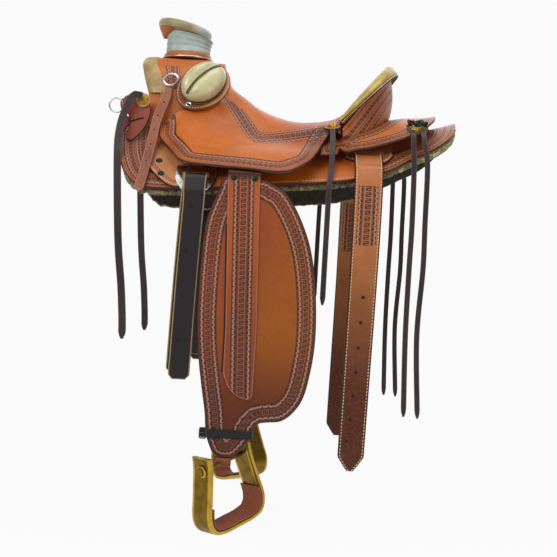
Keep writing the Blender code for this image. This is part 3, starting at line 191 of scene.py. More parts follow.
# Fender, seen from the side: (x, z), clockwise from the top front
FENDER_OUTLINE = ((-0.112, -0.056), (-0.126, -0.084), (-0.146, -0.142), (-0.153, -0.209), (-0.155, -0.299),
                  (-0.153, -0.359), (-0.147, -0.416), (-0.138, -0.472), (-0.130, -0.516), (-0.126, -0.552),
                  (-0.119, -0.578), (-0.104, -0.6015), (-0.072, -0.6035), (-0.045, -0.576), (-0.036, -0.552),
                  (-0.024, -0.536), (-0.007, -0.532), (0.020, -0.528), (0.043, -0.510), (0.061, -0.480),
                  (0.072, -0.431), (0.078, -0.375), (0.077, -0.309), (0.070, -0.241), (0.057, -0.181),
                  (0.033, -0.124), (0.004, -0.081), (-0.020, -0.067), (-0.041, -0.059))
FENDER_PLANE_Y = 0.2950
HOBBLE_Z = -0.558
HOBBLE_HEIGHT = 0.017
HOBBLE_HALF_WIDTH = 0.055
HOBBLE_X = -0.0815
HOBBLE_ROOM = 0.0026

# Stirrup, in its own frame: bolt axis along its x
STIRRUP_BOLT = (-0.088, FENDER_PLANE_Y + 0.0023, -0.6125)
STIRRUP_TURN = math.radians(47.0)
STIRRUP_TILT = math.radians(15.0)
STIRRUP_BAND = 0.051
STIRRUP_WALL = 0.0095
STIRRUP_TOP_WIDTH = 0.104
STIRRUP_TREAD_WIDTH = 0.146
STIRRUP_HEIGHT = 0.152
STIRRUP_ABOVE_BOLT = 0.026
TREAD_THICK = 0.0035

# Bucking roll, in the plane of its base flap
ROLL_CENTRE = (-0.178, 0.131, 0.146)
ROLL_NORMAL = (0.10, 0.90, 0.40)
ROLL_LONG = 0.104
ROLL_WIDE = 0.076
ROLL_HEIGHT = 0.034
ROLL_LEAN = math.radians(50.0)
ROLL_BASE_THICK = 0.0045
ROLL_BASE_MARGIN = 0.011
FERRULE_RADIUS = 0.0065
ROLL_GROWTH = 1.07
SWELL_FRAMES = 20

# Rope strap, breast ring and latigo keeper, all on the near side
ROPE_STRAP_WIDTH = 0.0195
ROPE_STRAP_THICK = 0.0040
BUCKLE_WIDTH = 0.034
BUCKLE_HEIGHT = 0.029
BUCKLE_WIRE = 0.0022
RING_RADIUS = 0.0145
RING_WIRE = 0.0018

# Tie strings
STRING_WIDTH = 0.0110
STRING_THICK = 0.0030
STRING_POINT = 0.018
FRONT_STRING_WIDTH = 0.0155

# Camera, as the photograph was taken: lens and sensor in millimetres
CAMERA_LENS = 76.38
CAMERA_SENSOR = 36.0
CAMERA_PLACE = (0.0, -2.6, -0.25)
CAMERA_ROLL = math.radians(3.2)

# Studio: a floor that curves up into a wall behind the saddle
FLOOR_HALF = 6
FLOOR_FRONT_Y = -5
CURVE_START_Y = 2.2
CURVE_RADIUS = 0.8
WALL_TOP_Z = 6.0

LEFT = -1
RIGHT = 1
SIDES = (("left", LEFT), ("right", RIGHT))


def smooth_line(points, count, closed=False):
    """Catmull-Rom curve through the points, with evenly spaced samples."""
    pts = [Vector(p) for p in points]
    if closed:
        ctrl = [pts[-1]] + pts + [pts[0], pts[1]]
    else:
        ctrl = [pts[0] * 2 - pts[1]] + pts + [pts[-1] * 2 - pts[-2]]
    fine = []
    steps = 12
    for a, b, c, d in zip(ctrl, ctrl[1:], ctrl[2:], ctrl[3:]):
        for k in range(steps):
            t = k / steps
            fine.append(0.5 * (2 * b + (c - a) * t + (2 * a - 5 * b + 4 * c - d) * t * t
                               + (3 * b - a - 3 * c + d) * t ** 3))
    fine.append(ctrl[-2].copy())
    return even_samples(fine, count, closed)


def even_samples(line, count, closed=False):
    lengths = [0.0]
    for a, b in zip(line, line[1:]):
        lengths.append(lengths[-1] + (b - a).length)
    total = lengths[-1]
    out = []
    last = count if closed else count - 1
    k = 0
    for i in range(count):
        want = total * i / last
        while k < len(lengths) - 2 and lengths[k + 1] < want:
            k += 1
        span = max(lengths[k + 1] - lengths[k], 1e-9)
        out.append(line[k].lerp(line[k + 1], min(1.0, (want - lengths[k]) / span)))
    return out


def read_curve(points, x):
    """Height of a smooth curve of (x, z) points at x, by monotone cubic steps."""
    if x <= points[0][0]:
        return points[0][1]
    if x >= points[-1][0]:
        return points[-1][1]
    k = 0
    while points[k + 1][0] < x:
        k += 1
    slopes = []
    for i in (k, k + 1):
        lo = max(i - 1, 0)
        hi = min(i + 1, len(points) - 1)
        slopes.append((points[hi][1] - points[lo][1]) / (points[hi][0] - points[lo][0]))
    (x0, z0), (x1, z1) = points[k], points[k + 1]
    h = x1 - x0
    t = (x - x0) / h
    return ((2 * t ** 3 - 3 * t * t + 1) * z0 + (t ** 3 - 2 * t * t + t) * h * slopes[0]
            + (3 * t * t - 2 * t ** 3) * z1 + (t ** 3 - t * t) * h * slopes[1])


def crown(x):
    return BACK_Z + BACK_RISE * x * x


def curl(x):
    return BACK_CURL + (WITHER_CURL * x * x if x < 0 else 0.0)


def on_back(x, y, lift):
    """Point above (x, y) of the horse's back, moved out by lift along the back's normal."""
    slope = 2 * curl(x) * y
    size = math.hypot(slope, 1.0)
    return Vector((x, y + lift * slope / size, crown(x) - curl(x) * y * y + lift / size))


def back_y(x, z, lift=0.0):
    """The y of the back where a layer lifted by lift reaches height z."""
    low, high = 0.0, 0.40
    for _ in range(40):
        mid = (low + high) / 2
        if on_back(x, mid, lift).z > z:
            low = mid
        else:
            high = mid
    return (low + high) / 2


def grid_quads(columns, rows):
    return [(i * rows + j, (i + 1) * rows + j, (i + 1) * rows + j + 1, i * rows + j + 1)
            for i in range(columns - 1) for j in range(rows - 1)]


def spread(low, high, count, ends=0.35):
    """Values from low to high, closer together near both ends."""
    out = []
    for i in range(count):
        t = i / (count - 1)
        eased = (1 - math.cos(math.pi * t)) / 2
        out.append(low + (high - low) * (t * (1 - ends) + eased * ends))
    return out


def ease(low, high, x):
    t = max(0.0, min(1.0, (x - low) / (high - low)))
    return t * t * (3 - 2 * t)


def skirt_top(x):
    front = SKIRT_FRONT_TOP_Y * (1 - ease(-0.34, -0.24, x))
    middle = BAR_INNER_Y * (1 - ease(0.20, 0.31, x))
    return max(front, middle, 0.003)


def skirt_bottom(x):
    return max(back_y(x, read_curve(SKIRT_EDGE, x)), skirt_top(x) + 0.012)


BAR_LOW = SKIRT_THICK + GAP + 0.0004
BAR_TOP = BAR_LOW + TREE_THICK


def bar_height(x, y):
    return crown(x) - curl(x) * y * y + (BAR_TOP + GAP) * math.hypot(1.0, 2 * curl(x) * y) + 0.0006


def arch_foot(x, half):
    """Height where an arch leg stands on the bar, clear of the bar's crown between its two legs."""
    swell = curl(x) * ((FORK_HALF_WIDTH - GULLET_HALF_WIDTH) / 2) ** 2
    return bar_height(x, half) + swell


def arch_point(x, share, half, top, turn):
    """Point of the fork's arch: share is 1 at the front face and 0 at the rear, for the lean."""
    side = math.sin(turn)
    height = max(0.0, 1 - abs(side) ** 3) ** 0.55
    foot = arch_foot(x, half)
    return Vector((x - GULLET_LEAN * height * share, half * side, foot + (top - foot) * height))


COVER_TOP = FORK_TOP_Z + 2 * GAP + COVER_THICK
CAP_AXIS = Vector((math.sin(HORN_CAP_TILT), 0.0, math.cos(HORN_CAP_TILT)))


def under_cap(x):
    """Height of the horn cap's underside at x; its tilt is along x only."""
    low = Vector((HORN_CAP_X, 0.0, HORN_CAP_Z)) - CAP_AXIS * (HORN_CAP_THICK / 2)
    return low.z - (x - low.x) * CAP_AXIS.x / CAP_AXIS.z


RIM_INSET = 0.0125
REAR_STEP = JOCKEY_THICK + GAP
JOCKEY_FOOT_SHIFT = 0.011
JOCKEY_FOOT_LONG = 0.1106
JOCKEY_FOOT_WIDE = 0.1665
WING_Y = FORK_HALF_WIDTH + 2 * GAP + COVER_THICK + 0.0015
WING_TOP_Z = 0.088
SEAT_FRONT_X = FORK_REAR_X + 0.0015
SEAT_REAR_X = CANTLE_TOP_X - RIM_INSET - 0.0005


def rim_share(x):
    return max(0.0, min(1.0, (x - CANTLE_END_X) / (CANTLE_TOP_X - CANTLE_END_X - RIM_INSET)))


def rim_half(x):
    return (CANTLE_HALF_WIDTH - RIM_INSET) * math.sqrt(max(0.0, 1 - rim_share(x) ** 2))


def rim_height(x):
    return CANTLE_END_Z + (CANTLE_TOP_Z - CANTLE_END_Z) * rim_share(x) - 0.9 * RIM_INSET


def seat_side(x, y):
    """Underside of the side jockey, which stands off the leathers that hang below it."""
    flare = JOCKEY_FLARE * ease(0.165, 0.265, y) * ease(-0.262, -0.200, x)
    lift = JOCKEY_LIFT + REAR_STEP * ease(0.02, 0.055, x) + flare
    return crown(x) - curl(x) * y * y + lift * math.hypot(1.0, 2 * curl(x) * y)


def seat_low(x, y):
    """Underside of the seat leather: the rider's dish, then the fall to the side jockey."""
    y = abs(y)
    side = seat_side(x, y)
    if x < SEAT_FRONT_X:
        top = WING_TOP_Z - 0.030 * (1 - ease(-0.268, -0.215, x))
        form = top - 3.2 * (y - WING_Y)
        behind = seat_form(SEAT_FRONT_X, y)
        form += (behind - form) * ease(-0.205, SEAT_FRONT_X, x)
    else:
        form = seat_form(x, y)
    soft = 0.006
    gap = form - side
    return side + (gap + math.sqrt(gap * gap + soft * soft)) / 2


def seat_form(x, y):
    """The rider's dish and its fall to the side, before it rests on the side jockey."""
    middle = read_curve(SEAT_PROFILE, x) - JOCKEY_THICK
    if x <= CANTLE_END_X:
        half = SEAT_HALF_WIDTH_FRONT + (CANTLE_HALF_WIDTH - RIM_INSET - SEAT_HALF_WIDTH_FRONT) * ease(
            -0.10, 0.06, x)
        edge = seat_side(x, half)
        corner = rim_height(CANTLE_END_X) - seat_side(CANTLE_END_X, half)
        edge += corner * ease(-0.06, CANTLE_END_X, x)
    else:
        half = max(rim_half(x), 0.002)
        edge = rim_height(x)
    power = 2.6 - 0.6 * ease(0.06, 0.12, x)
    if y < half:
        return middle - (middle - edge) * (y / half) ** power
    return edge - 1.3 * (y - half)


def seat_normal(x, y):
    d = 0.0008
    x0, x1 = x - d, x + d
    if x0 < SEAT_FRONT_X <= x:
        x0 = x
    if x < SEAT_FRONT_X <= x1:
        x1 = x
    slope_x = (seat_low(x1, y) - seat_low(x0, y)) / (x1 - x0)
    slope_y = (seat_low(x, y + d) - seat_low(x, y - d)) / (2 * d)
    return Vector((-slope_x, -slope_y, 1.0)).normalized()


def jockey_bottom(x):
    if x > CANTLE_END_X:
        return rim_half(x)
    edge = read_curve(JOCKEY_EDGE, x)
    low, high = 0.10, 0.36
    for _ in range(40):
        mid = (low + high) / 2
        if seat_low(x, mid) > edge:
            low = mid
        else:
            high = mid
    return low


def rim_point(turn, inset):
    c, s = math.cos(turn), math.sin(turn)
    return Vector((CANTLE_END_X + (CANTLE_TOP_X - CANTLE_END_X - inset) * c,
                   (CANTLE_HALF_WIDTH - inset) * s,
                   CANTLE_END_Z + (CANTLE_TOP_Z - CANTLE_END_Z) * c - 0.9 * inset))


def rim_out(turn):
    """Outward direction of the cantle's rim, along which its binding is laid."""
    return Vector((math.cos(turn) * 0.75, math.sin(turn), -0.6 * math.cos(turn))).normalized()


def cantle_back_point(turn, share, out):
    """Point on the cantle's rear face, share 0 under the rim to 1 at the foot."""
    c, s = math.cos(turn), math.sin(turn)
    top = rim_point(turn, RIM_INSET + 0.002) + Vector((0.008, 0, 0))
    foot_x = CANTLE_END_X + 0.012 + (CANTLE_FOOT_X - CANTLE_END_X - 0.012) * c
    foot_y = (CANTLE_HALF_WIDTH - RIM_INSET + 0.002) * s
    foot = Vector((foot_x, foot_y, bar_height(foot_x, abs(foot_y)) + GAP))
    p = top.lerp(foot, share)
    bulge = 0.010 * math.sin(math.pi * share) * c
    return p + Vector((c * (out + bulge), s * out, 0))


def rear_jockey_lift(x):
    return JOCKEY_LIFT + 0.0115 * ease(0.105, 0.150, x) - 0.010 * ease(0.235, 0.315, x)


def rear_jockey_top(x):
    """Upper edge of the rear jockey, which fits round the foot of the cantle's back."""
    outside = 0.190 * (1 - ease(0.104, 0.128, x))
    span = max((x - CANTLE_END_X - JOCKEY_FOOT_SHIFT) / JOCKEY_FOOT_LONG, 0.0)
    foot = JOCKEY_FOOT_WIDE * math.sqrt(max(0.0, 1 - span ** 2))
    return max(outside, foot / (1 + 2 * curl(x) * rear_jockey_lift(x)), 0.0004)


RIG_LOW = SKIRT_THICK + GAP + 0.0007
RIG_HIGH = RIG_LOW + RIG_THICK
PLATE_LOW = RIG_HIGH + GAP
PLATE_HIGH = PLATE_LOW + RIG_PLATE_THICK


def latigo_hinge():
    """Axis of the latigo's loop, against the rig plate at the middle of its slot."""
    z = RIG_SLOT_TOP_Z - RIG_SLOT_HEIGHT / 2
    off = PLATE_HIGH + GAP + LATIGO_THICK / 2 + 0.0003
    rear = LATIGO_TOP_X + LATIGO_WIDTH_TOP / 2
    clear = on_back(rear, back_y(rear, z, off), off)
    return Vector((LATIGO_TOP_X, clear.y, clear.z))


def billet_rise():
    """The back rises towards the rear, so the flat billet clears it by its rear edge."""
    return BACK_RISE * ((BILLET_TOP_X + BILLET_WIDTH_TOP / 2) ** 2 - BILLET_TOP_X ** 2)


def billet_hinge():
    off = RIG_HIGH + BILLET_THICK / 2 + billet_rise()
    return on_back(BILLET_TOP_X, back_y(BILLET_TOP_X, BILLET_TOP_Z, off), off)


STIRRUP_LEATHER_OUTLINE = ((-0.1090, -0.0640), (-0.098, -0.352), (-0.098, -0.440), (-0.088, -0.465),
                           (-0.075, -0.480), (-0.060, -0.488), (-0.043, -0.491), (-0.038, -0.482),
                           (-0.037, -0.352), (-0.0460, -0.0640), (-0.056, -0.0530), (-0.100, -0.0530))


def stirrup_frame():
    """Axes of the stirrup: along its bolt, across its band, and up."""
    flat = math.cos(STIRRUP_TILT)
    along = Vector((math.cos(STIRRUP_TURN) * flat, -math.sin(STIRRUP_TURN) * flat, math.sin(STIRRUP_TILT)))
    up = (Vector((0, 0, 1)) - along * along.z).normalized()
    return along, up.cross(along).normalized(), up


def stirrup_line():
    top = STIRRUP_TOP_WIDTH / 2
    foot = STIRRUP_TREAD_WIDTH / 2
    low = STIRRUP_ABOVE_BOLT - STIRRUP_HEIGHT
    half = [(-top, STIRRUP_ABOVE_BOLT), (-top * 1.03, 0.0), (-(top + foot) * 0.52, low * 0.42),
            (-foot, low * 0.72), (-foot * 0.88, low * 0.93), (-foot * 0.52, low * 0.995)]
    route = half + [(0.0, low)] + [(-x, z) for x, z in reversed(half)]
    return smooth_line([(x, z, 0) for x, z in route], 29)


def roll_frame():
    """Axes of the bucking roll's flap: long, wide and outwards, and the flap's inner plane."""
    out = Vector(ROLL_NORMAL).normalized()
    level = (Vector((1, 0, 0)) - out * out.x).normalized()
    up = out.cross(level)
    if up.z < 0:
        up = -up
    long = level * math.cos(ROLL_LEAN) + up * math.sin(ROLL_LEAN)
    wide = up * math.cos(ROLL_LEAN) - level * math.sin(ROLL_LEAN)
    high = 2 * GAP + COVER_THICK
    reach = 0.0
    for k in range(91):
        turn = math.radians(k)
        for x, share in ((FORK_FRONT_X, 1.0), (FORK_REAR_X, 0.0)):
            p = arch_point(x, share, FORK_HALF_WIDTH + high, FORK_TOP_Z + high, turn)
            reach = max(reach, p.dot(out))
    centre = Vector(ROLL_CENTRE)
    centre += out * (reach + GAP - centre.dot(out))
    return long, wide, out, centre


ROPE_STRAP_ROUTE = ((-0.2490, 0.1305, 0.1360), (-0.2580, 0.1500, 0.1000), (-0.2680, 0.1650, 0.0660),
                    (-0.2730, 0.1920, 0.0200), (-0.2790, 0.2200, -0.0300), (-0.2870, 0.2560, -0.0840))
ROPE_BUCKLE_CENTRE = (-0.2480, 0.1260, 0.1530)
RING_CENTRE = (-0.3571, 0.1600, 0.0940)
KEEPER_OUTLINE = ((-0.285, 0.094), (-0.283, 0.073), (-0.295, 0.042), (-0.319, 0.018), (-0.331, 0.025),
                  (-0.325, 0.055), (-0.331, 0.076), (-0.3405, 0.087), (-0.3405, 0.103), (-0.328, 0.112),
                  (-0.300, 0.110))
KEEPER_THICK = 0.0040


FRONT_STRING = ((-0.300, 0.1760, 0.1080), (-0.318, 0.1790, 0.1080), (-0.335, 0.1800, 0.0700),
                (-0.342, 0.1870, 0.0300), (-0.341, 0.1985, -0.0170), (-0.333, 0.2020, -0.1440),
                (-0.327, 0.2020, -0.2140), (-0.318, 0.2020, -0.2850), (-0.312, 0.2020, -0.3550),
                (-0.311, 0.2020, -0.3900))
SEAT_STRING = ((0.0935, 0.1690, 0.0690), (0.0945, 0.1860, 0.0500), (0.0945, 0.2050, 0.0270),
               (0.0940, 0.2235, 0.0030), (0.0925, 0.2420, -0.0290), (0.0905, 0.2610, -0.0570),
               (0.0895, 0.2670, -0.0900), (0.0890, 0.2680, -0.2980))
SEAT_STRING_TOP = (0.0930, 0.1500)
REAR_STRING_EXIT = (0.2670, 0.1420, 0.0870)
REAR_STRING = ((0.2660, 0.2240, -0.5140), (0.2610, 0.2240, -0.3540), (0.2610, 0.2240, -0.2180),
               (0.2620, 0.2240, -0.1280), (0.2600, 0.2220, -0.0100), (0.2575, 0.2140, 0.0330),
               (0.2575, 0.2045, 0.0560), (0.2580, 0.1840, 0.0665), (0.2600, 0.1610, 0.0785),
               REAR_STRING_EXIT, (0.2740, 0.1610, 0.0790), (0.2765, 0.1820, 0.0695),
               (0.2785, 0.2010, 0.0560), (0.2810, 0.2120, 0.0330), (0.2870, 0.2220, -0.0100),
               (0.2880, 0.2240, -0.1260), (0.2890, 0.2240, -0.2160), (0.2840, 0.2240, -0.3530),
               (0.2940, 0.2240, -0.5160))


def seat_string_route():
    """The seat string comes out on top of the seat leather beside the cantle's end."""
    x, y = SEAT_STRING_TOP
    lift = (JOCKEY_THICK + STRING_THICK / 2 + 1.8 * GAP) / seat_normal(x, y).z
    return [(x, y, seat_low(x, y) + lift)] + list(SEAT_STRING)


# Colours as the photograph's materials read in sRGB
ORANGE = "#CF6C1E"
ORANGE_DEEP = "#A54E12"
RED_LEATHER = "#9C3B22"
FENDER_RED = "#A34A22"
FENDER_AMBER = "#A45815"
FENDER_DEEP = "#7E3A1C"
ANTIQUE = "#431F1B"
STAMP_RIM = "#C99C86"
WASH = "#733A26"
NEAR_BLACK = "#241C1F"
STRING_BLACK = "#3A2C30"
TAN_EDGE = "#A98F60"
MULEHIDE = "#C0CFC8"
MULEHIDE_DEEP = "#93A49C"
ROLL_OLIVE = "#DAD3A4"
ROLL_DEEP = "#B4AB78"
FLEECE_PALE = "#A89560"
FLEECE_DARK = "#544422"
THREAD = "#EAD9B4"
BRASS = "#A98532"
BRASS_DARK = "#6C541A"
SILVER = "#C9CDD0"
PATINA = "#243F33"

# How leather takes light: cloudiness, depth of the grain, brightness of a stamp's raised rim
HIDE_MOTTLE = 0.55
HIDE_GRAIN = 0.16
TOOLED_RIM = 0.62


def colour(code):
    """Linear colour from an sRGB hex code."""
    parts = [int(code[i:i + 2], 16) / 255 for i in (1, 3, 5)]
    return tuple(p / 12.92 if p <= 0.04045 else ((p + 0.055) / 1.055) ** 2.4 for p in parts) + (1.0,)


def node(tree, kind, inputs=None, **settings):
    made = tree.nodes.new(kind)
    for key, value in settings.items():
        setattr(made, key, value)
    for key, value in (inputs or {}).items():
        if isinstance(value, bpy.types.NodeSocket):
            tree.links.new(value, made.inputs[key])
        else:
            made.inputs[key].default_value = value
    return made


def maths(tree, operation, a, b=0.0, c=0.0, clamp=False):
    return node(tree, "ShaderNodeMath", {0: a, 1: b, 2: c}, operation=operation, use_clamp=clamp).outputs[0]


def mix(tree, share, a, b):
    return node(tree, "ShaderNodeMix", {"Factor": share, 6: a, 7: b}, data_type="RGBA").outputs[2]


def ramp(tree, value, low, high):
    """Value from low to high as 0 to 1."""
    return node(tree, "ShaderNodeMapRange", {"Value": value, 1: low, 2: high}).outputs[0]


def stamp_group(kind):
    """One stamped row of leather tooling: a window of the border, filled with a repeating stamp."""
    name = "stamp_" + kind
    if name in bpy.data.node_groups:
        return bpy.data.node_groups[name]
    tree = bpy.data.node_groups.new(name, "ShaderNodeTree")
    for label in ("Along", "Across", "Start", "End", "Pitch", "From", "To"):
        tree.interface.new_socket(label, in_out="INPUT", socket_type="NodeSocketFloat")
    for label in ("Dark", "Light", "Inside"):
        tree.interface.new_socket(label, in_out="OUTPUT", socket_type="NodeSocketFloat")
    at = node(tree, "NodeGroupInput").outputs
    wide = maths(tree, "SUBTRACT", at["End"], at["Start"])
    t = maths(tree, "DIVIDE", maths(tree, "SUBTRACT", at["Across"], at["Start"]), wide)
    edge = maths(tree, "MINIMUM", t, maths(tree, "SUBTRACT", 1.0, t))
    window = maths(tree, "MULTIPLY", edge, 10.0, clamp=True)
    first = maths(tree, "GREATER_THAN", at["Along"], at["From"])
    last = maths(tree, "LESS_THAN", at["Along"], at["To"])
    window = maths(tree, "MULTIPLY", window, maths(tree, "MULTIPLY", first, last))
    turns = maths(tree, "DIVIDE", at["Along"], at["Pitch"])
    s = maths(tree, "SUBTRACT", maths(tree, "FRACT", turns), 0.5)
    if kind == "scallop":
        dx = maths(tree, "MULTIPLY", s, at["Pitch"])
        dy = maths(tree, "MULTIPLY", t, wide)
        r = maths(tree, "SQRT", maths(tree, "ADD", maths(tree, "MULTIPLY", dx, dx),
                                      maths(tree, "MULTIPLY", dy, dy)))
        r = maths(tree, "DIVIDE", r, maths(tree, "ABSOLUTE", wide))
        crescent = maths(tree, "MINIMUM", ramp(tree, r, 0.46, 0.58), ramp(tree, r, 0.92, 0.80))
        crescent = maths(tree, "MULTIPLY", crescent, ramp(tree, maths(tree, "ABSOLUTE", s), 0.48, 0.41))
        dark = maths(tree, "SUBTRACT", 1.0, crescent)
    elif kind == "rope":
        lean = maths(tree, "FRACT", maths(tree, "MULTIPLY_ADD", t, 0.9, turns))
        dark = maths(tree, "SUBTRACT", 1.0, maths(tree, "POWER", maths(tree, "SINE", maths(
            tree, "MULTIPLY", lean, math.pi)), 0.7))
    elif kind == "meander":
        q = maths(tree, "MULTIPLY_ADD", t, 2.0, -1.0)
        off = maths(tree, "ABSOLUTE", s)
        bars = maths(tree, "MINIMUM", off, maths(tree, "ABSOLUTE", maths(tree, "SUBTRACT", off, 0.30)))
        bars = maths(tree, "MULTIPLY", ramp(tree, bars, 0.112, 0.074), ramp(
            tree, maths(tree, "ABSOLUTE", q), 0.74, 0.66))
        way = maths(tree, "MULTIPLY", q, maths(tree, "SIGN", s))
        link = ramp(tree, maths(tree, "ABSOLUTE", maths(tree, "ADD", way, 0.50)), 0.27, 0.19)
        link = maths(tree, "MULTIPLY", link, maths(tree, "LESS_THAN", off, 0.32))
        dark = maths(tree, "MAXIMUM", bars, link)
    else:
        dark = maths(tree, "MULTIPLY", edge, 4.0, clamp=True)
    light = maths(tree, "MULTIPLY", maths(tree, "SUBTRACT", 1.0, dark), window)
    if kind != "scallop":
        light = maths(tree, "MULTIPLY", light, 0.25)
    node(tree, "NodeGroupOutput", {"Dark": maths(tree, "MULTIPLY", dark, window), "Light": light,
                                   "Inside": window})
    return tree


def bare_material(name):
    made = bpy.data.materials.new(name)
    made.use_nodes = True
    made.node_tree.nodes.clear()
    return made


def start_material(name):
    """A material, its tree and the place on the object that its textures follow."""
    made = bare_material(name)
    tree = made.node_tree
    return made, tree, node(tree, "ShaderNodeTexCoord").outputs["Object"]


def map_place(tree, label):
    """Sockets of a UV map: along first, then across."""
    found = node(tree, "ShaderNodeUVMap", uv_map=label)
    return node(tree, "ShaderNodeSeparateXYZ", {0: found.outputs[0]}).outputs


def finish_surface(made, base, rough, height, metallic=0.0, depth=0.0006, strength=0.7, **fixed):
    tree = made.node_tree
    bump = node(tree, "ShaderNodeBump", {"Height": height, "Distance": depth, "Strength": strength})
    inputs = {"Base Color": base, "Roughness": rough, "Normal": bump.outputs[0], "Metallic": metallic}
    inputs.update({key.replace("_", " ").title().replace("Ior", "IOR"): value for key,
                   value in fixed.items()})
    shader = node(tree, "ShaderNodeBsdfPrincipled", inputs)
    node(tree, "ShaderNodeOutputMaterial", {"Surface": shader.outputs[0]})
    return made


def leather(name, base, deep, rows=(), fades=(), rough=0.42, edge=None, shown=None, wash_share=0.36,
            shade=None):
    """Vegetable-tanned leather with antiqued tooling. Each row is (kind, map, start, end, pitch[, from, to]).

    fades are (colour, point, point): the leather turns to that colour from one point to the other.
    shown is (point, point): the tooling grows from nothing to full between them.
    shade is like a fade, over all the rest: a painted shadow where the leather runs in under another.
    """
    made, tree, place = start_material(name)
    cloud = node(tree, "ShaderNodeTexNoise", {"Vector": place, "Scale": 11.0, "Detail": 5.0,
                                              "Roughness": 0.6})
    speck = node(tree, "ShaderNodeTexNoise", {"Vector": place, "Scale": 140.0, "Detail": 3.0})
    hide = node(tree, "ShaderNodeTexVoronoi", {"Vector": place, "Scale": 620.0})
    tint = mix(tree, maths(tree, "MULTIPLY", ramp(tree, cloud.outputs[0], 0.42, 0.66), HIDE_MOTTLE),
               colour(base), colour(deep))
    for tone, low, high in fades:
        tint = mix(tree, between(tree, place, low, high), tint, colour(tone))
    tint = mix(tree, maths(tree, "MULTIPLY", ramp(tree, speck.outputs[0], 0.45, 0.75), 0.28), tint,
               colour(deep))
    dark = light = inside = 0.0
    maps = {}
    for row in rows:
        kind, label, start, end, pitch = row[:5]
        span = row[5:] or (-9.0, 9.0)
        if label not in maps:
            maps[label] = map_place(tree, label)
        cell = node(tree, "ShaderNodeGroup", node_tree=stamp_group(kind))
        for key, value in (("Along", maps[label][0]), ("Across", maps[label][1])):
            tree.links.new(value, cell.inputs[key])
        for key, value in (("Start", start), ("End", end), ("Pitch", pitch), ("From", span[0]),
                           ("To", span[1])):
            cell.inputs[key].default_value = value
        dark = maths(tree, "MAXIMUM", dark, cell.outputs["Dark"])
        inside = maths(tree, "MAXIMUM", inside, cell.outputs["Inside"])
        if kind != "line":
            light = maths(tree, "MAXIMUM", light, cell.outputs["Light"])
    if rows and shown:
        share = between(tree, place, *shown)
        dark, light, inside = [maths(tree, "MULTIPLY", part, share) for part in (dark, light, inside)]
    if rows:
        wear = ramp(tree, cloud.outputs[0], 0.25, 0.60)
        tint = mix(tree, maths(tree, "MULTIPLY", inside, wash_share), tint, colour(WASH))
        tint = mix(tree, maths(tree, "MULTIPLY", light, TOOLED_RIM), tint, colour(STAMP_RIM))
        stain = maths(tree, "MULTIPLY", dark, maths(tree, "MULTIPLY_ADD", wear, 0.25, 0.70))
        tint = mix(tree, stain, tint, colour(ANTIQUE))
    if edge:
        across = map_place(tree, "border")[1]
        tint = mix(tree, ramp(tree, across, edge[1] * 1.3, edge[1] * 0.6), tint, colour(edge[0]))
    # Painted shadow over all the rest, where the leather runs in under another piece.
    if shade:
        tint = mix(tree, between(tree, place, shade[1], shade[2]), tint, colour(shade[0]))
    height = maths(tree, "MULTIPLY_ADD", hide.outputs["Distance"], HIDE_GRAIN, maths(
        tree, "MULTIPLY", speck.outputs[0], 0.25))
    if rows:
        height = maths(tree, "SUBTRACT", height, dark)
    shine = maths(tree, "MULTIPLY_ADD", speck.outputs[0], 0.22, rough - 0.08)
    return finish_surface(made, tint, shine, height, coat_weight=0.10, coat_roughness=0.3,
                          specular_ior_level=0.32)


def between(tree, place, low, high):
    """0 at the low point and 1 at the high one, measured along the line between them."""
    span = [b - a for a, b in zip(low, high)]
    size = sum(s * s for s in span)
    off = node(tree, "ShaderNodeVectorMath", {0: place, 1: low}, operation="SUBTRACT").outputs[0]
    dot = node(tree, "ShaderNodeVectorMath", {0: off, 1: [s / size for s in span]},
               operation="DOT_PRODUCT").outputs["Value"]
    return node(tree, "ShaderNodeMapRange", {"Value": dot}, interpolation_type="SMOOTHSTEP").outputs[0]


def hide_like(name, base, deep, rough=0.35, scale=30.0, coat=0.2, turn=None):
    """Rawhide, mulehide or chrome-tanned leather: mottled, with pores and soft wrinkles."""
    made, tree, place = start_material(name)
    cloud = node(tree, "ShaderNodeTexNoise", {"Vector": place, "Scale": scale, "Detail": 6.0,
                                              "Roughness": 0.65})
    pores = node(tree, "ShaderNodeTexVoronoi", {"Vector": place, "Scale": scale * 14})
    tint = mix(tree, ramp(tree, cloud.outputs[0], 0.38, 0.68), colour(base), colour(deep))
    if turn:
        share = maths(tree, "MULTIPLY_ADD", cloud.outputs[0], 0.9, maths(tree, "SUBTRACT", between(
            tree, place, turn[1], turn[2]), 0.45), clamp=True)
        tint = mix(tree, share, tint, colour(turn[0]))
    height = maths(tree, "MULTIPLY_ADD", pores.outputs["Distance"], 0.35, cloud.outputs[0])
    shine = maths(tree, "MULTIPLY_ADD", cloud.outputs[0], 0.25, rough - 0.1)
    return finish_surface(made, tint, shine, height, depth=0.0008, coat_weight=coat, coat_roughness=0.25)


def metal(name, base, dark, rough=0.28, hammer=0.0, tarnish=0.5):
    """Polished or hammered metal, clouded darker by tarnish."""
    made, tree, place = start_material(name)
    cloud = node(tree, "ShaderNodeTexNoise", {"Vector": place, "Scale": 60.0, "Detail": 5.0})
    pits = node(tree, "ShaderNodeTexVoronoi", {"Vector": place, "Scale": 150.0}, feature="SMOOTH_F1")
    tint = mix(tree, maths(tree, "MULTIPLY", ramp(tree, cloud.outputs[0], 0.45, 0.70), tarnish),
               colour(base), colour(dark))
    height = maths(tree, "MULTIPLY_ADD", pits.outputs["Distance"], hammer, maths(
        tree, "MULTIPLY", cloud.outputs[0], 0.15))
    shine = maths(tree, "MULTIPLY_ADD", cloud.outputs[0], 0.25, rough - 0.1)
    return finish_surface(made, tint, shine, height, metallic=1.0, depth=0.0009)


